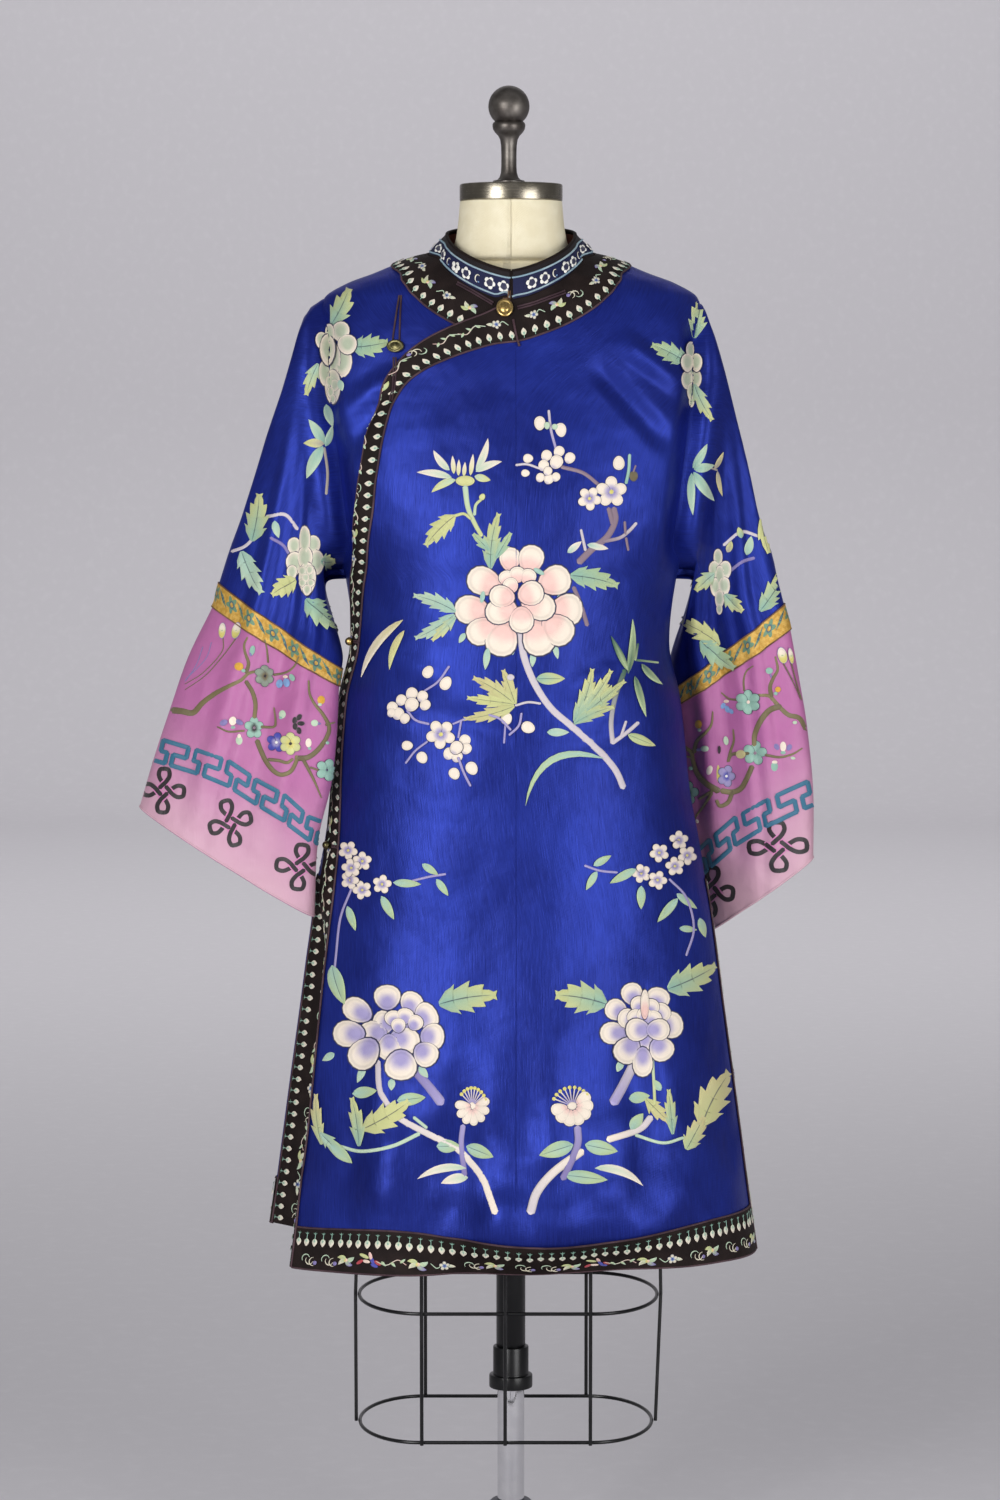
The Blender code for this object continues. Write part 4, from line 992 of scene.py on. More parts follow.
@dataclass(frozen=True)
class PlainCloth:
    """A cloth of one colour, with a fine weave and soft patches."""

    name: str
    colour: tuple
    light: tuple
    roughness: float = 0.6
    weave: float = 3000
    relief: float = 0.0004
    sheen: float = 0.0
    gloss: float = 0.25

    def material(self) -> bpy.types.Material:
        """Build it."""
        graph = Graph(self.name)
        across, along = graph.uv()
        threads = (across * self.weave).sine() * (along * self.weave).sine()
        soft = graph.noise(40, 4)
        return graph.dress(
            Base_Color=graph.mix(soft.between(0.35, 0.7), self.colour, self.light),
            Roughness=self.roughness + (soft - 0.5) * 0.2,
            Sheen_Weight=self.sheen,
            Specular_IOR_Level=self.gloss,
            Normal=graph.bump(threads * 0.5 + graph.noise(400, 2) * 0.6, self.relief, 0.6),
        )


@dataclass(frozen=True)
class Floss:
    """Silk embroidery thread, in the colours that the stitches carry."""

    def material(self) -> bpy.types.Material:
        """Build it."""
        graph = Graph("silk_floss")
        _, along = graph.uv()
        dye = graph.node("ShaderNodeAttribute", {"attribute_name": "floss"}, {}, "Color")
        threads = (along * 9000 + graph.noise(500, 1) * 3).sine() * 0.5 + 0.5
        colour = graph.mix(threads * 0.35, dye, graph.mix(0.55, dye, (0.0, 0.0, 0.0)))
        return graph.dress(
            Base_Color=colour,
            Roughness=0.42 + graph.noise(200, 2) * 0.12,
            Specular_IOR_Level=0.6,
            Sheen_Weight=0.2,
            Normal=graph.bump(threads, 0.0003, 0.5),
        )


@dataclass(frozen=True)
class Metal:
    """A metal with fine turning marks, a little uneven in its gloss."""

    name: str
    colour: tuple
    worn: tuple
    roughness: float
    metallic: float = 1.0
    marks: float = 900
    depth: float = 0.0002
    lumps: float = 60

    def material(self) -> bpy.types.Material:
        """Build it."""
        graph = Graph(self.name)
        spot = graph.place()
        drawn = graph.node("ShaderNodeMapping", {}, {"Vector": spot, "Scale": (6, 6, self.marks)})
        marks = graph.noise(1, 3, drawn)
        lumps = graph.noise(self.lumps, 4)
        return graph.dress(
            Base_Color=graph.mix(lumps.between(0.3, 0.75), self.colour, self.worn),
            Roughness=self.roughness + (marks - 0.5) * 0.18 + (lumps - 0.5) * 0.12,
            Metallic=self.metallic,
            Normal=graph.bump(marks + lumps * 0.8, self.depth, 0.35),
        )


@dataclass(frozen=True)
class Paint:
    """Semi-gloss paint with a faint orange-peel and a little dust."""

    name: str
    colour: tuple
    dusty: tuple
    roughness: float

    def material(self) -> bpy.types.Material:
        """Build it."""
        graph = Graph(self.name)
        patches = graph.noise(35, 5)
        return graph.dress(
            Base_Color=graph.mix(patches.between(0.45, 0.8), self.colour, self.dusty),
            Roughness=self.roughness + (patches - 0.5) * 0.2,
            Specular_IOR_Level=0.3,
            Normal=graph.bump(graph.noise(700, 2), 0.0002, 0.3),
        )


@dataclass(frozen=True)
class CollarBand:
    """The collar's cloth: navy, with black bindings along its top and bottom."""

    navy: tuple = (0.006, 0.008, 0.036)
    black: tuple = (0.012, 0.008, 0.010)
    binding: float = 0.0080

    def material(self) -> bpy.types.Material:
        """Build it."""
        graph = Graph("navy_band")
        across, along = graph.uv()
        soft = graph.noise(60, 3)
        threads = (across * 3000).sine() * (along * 3000).sine()
        lighter = tuple(1.8 * part for part in self.navy)
        colour = graph.mix(along < self.binding, graph.mix(soft, self.navy, lighter), self.black)
        return graph.dress(
            Base_Color=colour,
            Roughness=0.5 + soft * 0.15,
            Specular_IOR_Level=0.25,
            Normal=graph.bump(threads + soft, 0.0003, 0.6),
        )


class Finishes:
    """The materials of the object and of the studio."""

    def __init__(self) -> None:
        """Build them all."""
        self.satin = Satin().material()
        self.cuff = CuffSatin().material()
        self.brocade = Brocade().material()
        self.trim = PlainCloth("black_trim", (0.0100, 0.0062, 0.0058), (0.0180, 0.0115, 0.0105), 0.62,
                               gloss=0.12).material()
        self.piping = PlainCloth("plum_piping", (0.055, 0.028, 0.036), (0.10, 0.055, 0.065), 0.5).material()
        self.cord = PlainCloth("dark_cord", (0.040, 0.020, 0.027), (0.080, 0.045, 0.055), 0.6).material()
        self.loop = PlainCloth("brown_loop", (0.13, 0.065, 0.035), (0.22, 0.12, 0.07), 0.55).material()
        self.lining = PlainCloth("collar_lining", (0.16, 0.060, 0.055), (0.24, 0.10, 0.085), 0.55).material()
        self.collar = CollarBand().material()
        self.pale_cord = PlainCloth("pale_blue_cord", (0.24, 0.36, 0.44), (0.42, 0.54, 0.60), 0.5).material()
        self.floss = Floss().material()
        self.linen = PlainCloth("cream_linen", (0.71, 0.64, 0.45), (0.78, 0.72, 0.54), 0.8, 2400,
                                0.0005).material()
        self.steel = Metal("brushed_steel", (0.20, 0.18, 0.14), (0.30, 0.27, 0.22), 0.26).material()
        self.iron = Metal("turned_iron", (0.075, 0.065, 0.058), (0.17, 0.155, 0.14), 0.42, 0.85,
                          700).material()
        self.gilt = Metal("chased_gilt", (0.42, 0.27, 0.085), (0.68, 0.50, 0.20), 0.34, 1.0, 400, 0.0004,
                          500).material()
        self.bronze = Metal("dark_bronze", (0.070, 0.062, 0.026), (0.17, 0.15, 0.075), 0.36, 1.0, 400,
                            0.0004, 500).material()
        self.chrome = Metal("chrome", (0.72, 0.72, 0.74), (0.80, 0.80, 0.81), 0.10, 1.0, 300,
                            0.00005).material()
        self.paint = Paint("black_paint", (0.004, 0.004, 0.0045), (0.010, 0.010, 0.011), 0.32).material()
        self.hub_paint = Paint("hub_paint", (0.014, 0.018, 0.034), (0.030, 0.036, 0.060), 0.34).material()
        self.wall = Paint("studio_grey", (0.620, 0.603, 0.632), (0.645, 0.628, 0.657), 0.9).material()


class Grids:
    """The angles and heights of the panels' seams and edges, row by row."""

    @staticmethod
    def neck_curve(turn: float, half_width: float, front: float, side: float, power: float) -> tuple:
        """x and height of a curve round the neck, from the centre front (0) to the shoulder (90)."""
        turn = math.radians(turn)
        return half_width * math.sin(turn), front + (side - front) * (1 - math.cos(turn)) ** power

    @classmethod
    def neckline(cls, turn: float) -> tuple[float, float]:
        """The neckline at a turn round the neck."""
        return cls.neck_curve(turn, *NECK_HOLE)

    @classmethod
    def yoke_line(cls, turn: float) -> tuple[float, float]:
        """The yoke's outer edge at a turn round the neck."""
        return cls.neck_curve(turn, *YOKE_EDGE)

    @staticmethod
    def on_front(x: float, height: float) -> tuple[float, float]:
        """Angle and height of a point of the front that is given by its x."""
        return float(BodyShape.angle_at(x, height)), height

    @staticmethod
    def armhole_point(height: float) -> tuple[float, float]:
        """Angle and height on the armhole, or on the side seam below it."""
        if height >= SHOULDER_TIP or height <= UNDERARM:
            return QUARTER, height
        return float(BodyShape.angle_at(ARMHOLE.at("x", height), height)), height

    @staticmethod
    def spread(start: tuple, end: tuple, count: int) -> np.ndarray:
        """Angles and heights from one point to another, in equal steps, with both ends."""
        share = np.linspace(0, 1, count)[:, None]
        return np.array(start) * (1 - share) + np.array(end) * share

    @classmethod
    def neck_row(cls, turn: float, armhole_height: float) -> tuple:
        """A row of a front from the neckline over the yoke to the armhole, at +X."""
        if turn == 90:
            free, band = (QUARTER, NECK_SIDE), (QUARTER, YOKE_SIDE)
        else:
            free, band = cls.on_front(*cls.neckline(turn)), cls.on_front(*cls.yoke_line(turn))
        return free, band, cls.armhole_point(armhole_height)

    @classmethod
    def outer_front(cls) -> np.ndarray:
        """The outer front, from its free edge to the armhole or side."""
        spread = cls.spread
        rows = [cls.neck_row(turn, height) for turn, height in zip(NECK_TURNS, NECK_ROWS_AT_ARMHOLE)]
        for free_x, free_height, trim_x, trim_height, arm_height in LAPEL:
            free, band = cls.on_front(free_x, free_height), cls.on_front(trim_x, trim_height)
            rows.append((free, band, cls.armhole_point(arm_height)))
        grid = []
        for free, band, arm in rows:
            grid.append(np.concatenate([spread(free, band, BAND), spread(band, arm, FIELD + BAND - 1)[1:]]))
        trim_angle = EDGE_TRIM / TURN_RADIUS
        for height in LOW_ROWS:
            edge = -float(BodyShape.angle_at(FRONT_EDGE.at("x", height), height))
            turn = float(BodyShape.left_turn_angle(height))
            free = spread((edge - trim_angle, height), (edge, height), BAND)
            field = spread((edge, height), (turn, height), FIELD)
            end = spread((turn, height), (turn + trim_angle, height), BAND)
            grid.append(np.concatenate([free, field[1:], end[1:]]))
        grid = np.array(grid)
        last_angles = grid[-1, :, 0]
        x = BodyShape.front(last_angles, np.full_like(last_angles, HEM_TRIM + FRONT_HEM))[:, 0]
        top, bottom = FRONT_HEM_SHAPE.at("top", x), FRONT_HEM_SHAPE.at("bottom", x)
        hem = [np.stack([last_angles, top * (1 - down) + bottom * down], axis=-1) for down in HEM_ROWS]
        return np.concatenate([grid, np.array(hem)])

    @classmethod
    def inner_front(cls) -> np.ndarray:
        """The inner front, from its free edge to the armhole or side, at -X."""
        rows = [cls.neck_row(turn, height) for turn, height in zip(NECK_TURNS, NECK_ROWS_AT_ARMHOLE)]
        rows.append(cls.neck_row(0, INNER_CENTRE_AT_ARMHOLE))
        for inner_height, arm_height in INNER_ROWS:
            band = cls.on_front(EDGE_TRIM, inner_height)
            rows.append(((0.0, inner_height), band, cls.armhole_point(arm_height)))
        grid = []
        for free, band, arm in rows:
            field = cls.spread(band, arm, INNER_FIELD)
            grid.append(np.concatenate([cls.spread(free, band, BAND), field[1:]]))
        return np.array(grid) * (-1, 1)

    @classmethod
    def back(cls) -> np.ndarray:
        """The back, from the wearer's left (+X) round to the right."""
        trim_angle = BACK_VENT_TRIM / TURN_RADIUS
        hem_rows = [(BACK_HEM + HEM_TRIM * (1 - down),) * 2 for down in HEM_ROWS]
        rows = list(BACK_TOP_ROWS) + [(height, height) for height in LOW_ROWS[:-1]] + hem_rows
        grid = []
        for edge_height, centre_height in rows:
            vent = float(ramp(edge_height, VENT_TOP, 0.78))
            end = cls.armhole_point(edge_height)[0] + (0.004 / TURN_RADIUS + trim_angle - 0.10) * vent
            strip = np.linspace(end - trim_angle, end, BAND)[1:]
            field = np.linspace(trim_angle - end, end - trim_angle, BACK_FIELD)
            turns = np.concatenate([-strip[::-1], field, strip])
            power = NECK_ROW_POWER if edge_height == NECK_SIDE else BACK_ROW_POWER
            heights = centre_height + (edge_height - centre_height) * np.abs(turns / end) ** power
            grid.append(np.stack([math.pi + turns, heights], axis=-1))
        return np.array(grid)


def softened(heights: np.ndarray, reach: int) -> np.ndarray:
    """Heights along rows, each the mean of those within reach on both sides."""
    padded = np.pad(heights, ((0, 0), (reach, reach)), mode="edge")
    return np.mean([padded[:, first:first + heights.shape[1]] for first in range(2 * reach + 1)], axis=0)


def fine(grid: np.ndarray) -> np.ndarray:
    """A grid of angles and heights with the steps of the looks, and with a hem that has no corners."""
    grid = straight_columns(smooth_rows(grid, ROWS_FINER), COLUMNS_FINER)
    low = grid[..., 1].max(axis=1) < HEM_ROUNDED_BELOW
    if low.any():
        grid[low, :, 1] = softened(grid[low, :, 1], COLUMNS_FINER)
    return grid


def rows_between(first: int, last: int | None = None) -> slice:
    """The fine rows from one row of the cut to another."""
    return slice(first * ROWS_FINER, None if last is None else last * ROWS_FINER + 1)


def columns_between(first: int, last: int | None = None) -> slice:
    """The fine columns from one column of the cut to another."""
    return slice(first * COLUMNS_FINER, None if last is None else last * COLUMNS_FINER + 1)


def front_lift(angle: np.ndarray, height: np.ndarray) -> np.ndarray:
    """How far the outer front lies out: over the inner front, and over the back's edge in the left vent."""
    vent = ramp(angle, 0.9, 1.3) * ramp(height, 0.90, VENT_TOP)
    return FRONT_LIFT * ramp(angle, 0.75, 0.05) + VENT_LIFT * vent


def cloth_on(skin: Callable, grid: np.ndarray) -> Cloth:
    """The cloth of a grid of angles and heights on a skin."""
    return Cloth(skin(grid[..., 0], grid[..., 1]), BodyShape.normals(skin, grid[..., 0], grid[..., 1]))


def walls_of(number: np.ndarray) -> np.ndarray:
    """The faces between rings of numbered points, one ring to a row."""
    following = np.roll(number, -1, axis=1)
    return np.stack([number[:-1], following[:-1], following[1:], number[1:]], axis=-1).reshape(-1, 4)


def tube(name: str, route: np.ndarray, radius: float | np.ndarray, sides: int = 8,
         closed: bool = False) -> bpy.types.Mesh:
    """Make a round cord along a route, with its length and its turn as UVs.

    Args:
        name: the mesh's name.
        route: its middle points.
        radius: its radius, or one for each point.
        sides: how many sides it has.
        closed: whether its end meets its start.

    Returns:
        The mesh.
    """
    points = np.asarray(route, float)
    if closed:
        ahead = unit(np.roll(points, -1, axis=0) - np.roll(points, 1, axis=0))
    else:
        ahead = unit(np.gradient(points, axis=0))
    side = np.cross(ahead[0], (0.0, 0.0, 1.0))
    if np.linalg.norm(side) < 0.2:
        side = np.cross(ahead[0], (1.0, 0.0, 0.0))
    sides_of = []
    for way in ahead:
        side = side - way * np.dot(side, way)
        side = side / np.linalg.norm(side)
        sides_of.append(side)
    first = np.array(sides_of)
    second = np.cross(ahead, first)
    turns = np.arange(sides) * 2 * math.pi / sides
    radii = np.broadcast_to(np.asarray(radius, float), (len(points),))[:, None, None]
    rings = first[:, None] * np.cos(turns)[:, None] + second[:, None] * np.sin(turns)[:, None]
    verts = (points[:, None] + rings * radii).reshape(-1, 3)
    number = np.arange(len(points) * sides).reshape(len(points), sides)
    if closed:
        number = np.concatenate([number, number[:1]])
    faces = walls_of(number).tolist()
    length = np.concatenate([[0], np.cumsum(np.linalg.norm(np.diff(points, axis=0), axis=-1))])
    if closed:
        length = np.append(length, length[-1] + np.linalg.norm(points[0] - points[-1]))
    share = np.arange(sides + 1) / sides
    low, high = length[:-1], length[1:]
    uv = np.zeros((len(low), sides, 4, 2))
    uv[..., 0, 0] = uv[..., 1, 0] = low[:, None]
    uv[..., 2, 0] = uv[..., 3, 0] = high[:, None]
    uv[..., 0, 1] = uv[..., 3, 1] = share[:-1]
    uv[..., 1, 1] = uv[..., 2, 1] = share[1:]
    uvs = uv.reshape(-1, 2)
    if not closed:
        faces += [number[0][::-1].tolist(), number[-1].tolist()]
        uvs = np.concatenate([uvs, np.zeros((2 * sides, 2))])
    mesh = bpy.data.meshes.new(name)
    mesh.from_pydata(verts.tolist(), [], faces)
    mesh.uv_layers.new(name="UVMap").data.foreach_set("uv", uvs.ravel().astype(np.float32))
    return mesh


def along_smooth(points: list | np.ndarray, times: int) -> np.ndarray:
    """A smooth route through points."""
    return smooth_rows(np.asarray(points, float), times)


@dataclass
class Body:
    """The panels of the robe's body, with the black trims sewn on them."""

    finishes: Finishes
    piping: float = 0.0011
    edge_piping: float = 0.0015

    def __post_init__(self) -> None:
        """Lay out the three panels."""
        grid = fine(Grids.outer_front())
        self.outer = cloth_on(BodyShape.front, grid).moved(front_lift(grid[..., 0], grid[..., 1]))
        self.inner = cloth_on(BodyShape.front, fine(Grids.inner_front()))
        self.back = cloth_on(BodyShape.back, fine(Grids.back()))
        first, last = columns_between(0, BAND - 1), slice(-(BAND - 1) * COLUMNS_FINER - 1, None)
        between = slice((BAND - 1) * COLUMNS_FINER, -(BAND - 1) * COLUMNS_FINER)
        hem = slice(-2 * ROWS_FINER - 1, None)
        centre = len(NECK_TURNS)
        vent = centre + len(LAPEL) + LOW_ROWS.index(VENT_TRIM_ROW)
        back_vent = len(BACK_TOP_ROWS) + LOW_ROWS.index(VENT_TRIM_ROW)
        self.trims = {
            "yoke_left": self.outer.part(rows_between(0, centre), first),
            "lapel_trim": self.outer.part(rows_between(centre), first),
            "yoke_right": self.inner.part(rows_between(0, centre), first),
            "yoke_back": self.back.part(rows_between(0, BAND - 1)),
            "front_hem_trim": self.outer.part(hem, between),
            "front_vent_trim_left": self.outer.part(rows_between(vent), last),
            "back_vent_trim_left": self.back.part(rows_between(back_vent), first),
            "back_vent_trim_right": self.back.part(rows_between(back_vent), last),
            "back_hem_trim": self.back.part(hem, between),
        }
        self.trims = {name: cloth.moved(TRIM_LIFT) for name, cloth in self.trims.items()}
        self.sewn: dict[str, list] = {"outer_front": [], "inner_front": [], "back": []}

    def build(self) -> None:
        """Make the panels, the trims and their piping."""
        panels = {"outer_front": self.outer, "inner_front": self.inner, "back": self.back}
        self.pieces = {}
        for name, cloth in panels.items():
            mesh = shell(name + "_cloth", cloth, CLOTH_WALL)
            self.pieces[name] = add_piece(name + "_cloth", mesh, self.finishes.satin, "blue_satin")
            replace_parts(self.pieces[name], name)
        for name, cloth in self.trims.items():
            panel = self.panel_of(name)
            piece = add_piece(name + "_band", shell(name + "_band", cloth, TRIM_WALL), self.finishes.trim,
                              "black_trim")
            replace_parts(piece, name)
            self.sewn[panel].append(piece)
            self.pipe(name, cloth, panel)

    @staticmethod
    def panel_of(trim: str) -> str:
        """The panel that a trim is sewn on."""
        if trim == "yoke_right":
            return "inner_front"
        return "back" if "back" in trim else "outer_front"

    def pipe(self, name: str, cloth: Cloth, panel: str) -> None:
        """Put piping on the long edges of a trim.

        Args:
            name: the trim's name.
            cloth: its middle surface.
            panel: the panel that it is sewn on.
        """
        along = "hem" in name or name == "yoke_back"
        lines = cloth if along else cloth.turned()
        ends = (-1,) if "yoke" in name else (0, -1)
        free_end = {"lapel_trim": 0, "back_vent_trim_left": 0, "back_vent_trim_right": -1}.get(name, -1)
        for end in ends:
            free = end == free_end and "yoke" not in name
            radius = self.edge_piping if free else self.piping
            lift = -TRIM_LIFT / 2 if free else radius * 0.35
            route = lines.points[end] + lines.out[end] * lift
            finish = self.finishes.cord if end == 0 and "hem" in name else self.finishes.piping
            mesh = tube(f"{name}_piping_{end % 3}", route, radius, 8)
            self.sewn[panel].append(add_piece(mesh.name, mesh, finish, "black_trim"))

    def declare(self) -> None:
        """State the cut of each panel."""
        panels = {"outer_front": self.outer, "inner_front": self.inner, "back": self.back}
        for name, cloth in panels.items():
            declare_sheet(self.pieces[name], cloth, False, ["form_torso"], self.sewn[name])


@dataclass
class Sleeve:
    """A wide hanging sleeve with its ribbon and its cuff band."""

    finishes: Finishes
    name: str
    side: int
    rows: tuple
    shoulder: tuple
    softness: float = 0.0035
    turns: int = 120
    steps: int = 6
    roundness: float = 0.91
    head_rows: float = 5.5  # the rows over which the armhole's oval becomes the sleeve's
    head_spread: float = 0.016
    valley_rows: float = 0.9
    valley_share: float = 0.8
    edge_cord: float = 0.0009
    hem_cord: float = 0.0014

    def armhole(self, turn: np.ndarray, sunk: bool) -> np.ndarray:
        """The seam with the body at each turn round it, from the shoulder tip (0) over the front.

        Args:
            turn: the turns.
            sunk: whether the seam lies in its valley, or level with the cloth beside it.

        Returns:
            The points of the seam.
        """
        middle, half = (SHOULDER_TIP + UNDERARM) / 2, (SHOULDER_TIP - UNDERARM) / 2
        height = middle + half * np.cos(turn)
        angle = np.array([Grids.armhole_point(float(z))[0] for z in height])
        front = BodyShape.front(self.side * angle, height)
        back = BodyShape.back(math.pi - self.side * angle, height)
        points = np.where(np.sin(turn)[:, None] >= 0, front, back)
        if not sunk:
            outwards = np.where(np.sin(turn)[:, None] >= 0, (0.0, -1.0, 0.0), (0.0, 1.0, 0.0))
            points = points + outwards * armhole_valley(height)[:, None] * self.valley_share
        return points

    def lay_out(self) -> None:
        """Work out the middle surface from the armhole to the cuff."""
        turn = np.arange(self.turns) * 2 * math.pi / self.turns
        along = np.sign(np.cos(turn)) * np.abs(np.cos(turn)) ** self.roundness
        across = np.sign(np.sin(turn)) * np.abs(np.sin(turn)) ** self.roundness
        share = (1 - along) / 2
        facing = np.sign(np.sin(turn)) * np.minimum(1, 2 * np.abs(np.sin(turn)))
        level, sunk = self.armhole(turn, False), self.armhole(turn, True)
        outwards = np.array((self.side, 0.0, 0.0))
        sizes = smooth_rows(np.array(self.rows), self.steps)
        sizes = np.concatenate([np.repeat(sizes[:1], self.steps, axis=0), sizes])
        rings = []
        for number, size in enumerate(sizes):
            s = number / self.steps
            outer, inner, thick = size[:3], size[3:6], size[6]
            blend = float(ramp(s, 0, self.head_rows))
            oval = (outer + inner) / 2 + (outer - inner) / 2 * along[:, None]
            fold = sum(crease.rise(share, s) for crease in SLEEVE_CREASES)
            oval[:, 1] -= across * thick / 2 + fold * facing * float(ramp(s, 1, 4))
            start = level + outwards * self.head_spread * s
            ring = start * (1 - blend) + oval * blend
            rings.append(ring + (sunk - level) * math.exp(-((s / self.valley_rows) ** 2)))
        points = self.pressed(np.array(rings))
        around = np.roll(points, -1, axis=1) - np.roll(points, 1, axis=1)
        out = unit(np.cross(around, np.gradient(points, axis=0))) * self.side
        self.whole = Cloth(points, out)

    def pressed(self, points: np.ndarray) -> np.ndarray:
        """Press the sleeve's head softly under the line of the shoulder.

        Args:
            points: the sleeve's points.

        Returns:
            The points where they lie then.
        """
        line = np.array(self.shoulder)
        beside = self.side * points[..., 0]
        slopes = np.gradient(line[:, 1], line[:, 0])
        above = points[..., 2] - np.interp(beside, line[:, 0], line[:, 1], left=2.0)
        steep = np.interp(beside, line[:, 0], -slopes)
        past = self.softness * np.logaddexp(0, above / self.softness) / (1 + steep)
        past = past * ramp(points[..., 2], line[-1, 1] - 0.02, line[-1, 1] + 0.05)
        return points - past[..., None] * np.array((self.side, 0.0, 1.0))

    def build(self) -> None:
        """Make the sleeve, the cuff band, the ribbon and its cords."""
        self.lay_out()
        top, seam, low = ((row + 1) * self.steps for row in RIBBON_ROWS)
        parts = {
            "sleeve_" + self.name: (self.whole.part(slice(0, seam + 1)), self.finishes.satin, "blue_satin"),
            "cuff_" + self.name: (self.whole.part(slice(seam, None)), self.finishes.cuff, "pink_satin"),
        }
        self.pieces = {}
        self.cloths = {}
        for name, (cloth, finish, slot) in parts.items():
            piece = add_piece(name + "_cloth", shell(name + "_cloth", cloth, CLOTH_WALL, around=True),
                              finish, slot)
            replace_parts(piece, name)
            self.pieces[name], self.cloths[name] = piece, cloth
        band = self.whole.part(slice(top, low + 1)).moved(TRIM_LIFT)
        self.ribbon = band
        mesh = shell(f"ribbon_{self.name}_band", band, TRIM_WALL, around=True)
        ribbon = add_piece(mesh.name, mesh, self.finishes.brocade, "gold_ribbon")
        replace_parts(ribbon, "ribbon_" + self.name)
        self.sewn = {"sleeve_" + self.name: [ribbon], "cuff_" + self.name: []}
        for end, key in ((0, "sleeve_"), (-1, "cuff_")):
            mesh = tube(f"ribbon_{self.name}_edge_{end % 2}", band.points[end], self.edge_cord, 8,
                        closed=True)
            self.sewn[key + self.name].append(add_piece(mesh.name, mesh, self.finishes.loop, "black_trim"))
        mesh = tube(f"cuff_{self.name}_hem", self.whole.points[-1], self.hem_cord, 8, closed=True)
        self.sewn["cuff_" + self.name].append(add_piece(mesh.name, mesh, self.finishes.cuff, "pink_satin"))

    def declare(self) -> None:
        """State the cut of the sleeve and of its cuff band."""
        rests = {"sleeve_" + self.name: ["form_torso"], "cuff_" + self.name: ["sleeve_" + self.name]}
        for name, piece in self.pieces.items():
            declare_sheet(piece, self.cloths[name], True, rests[name], self.sewn[name])


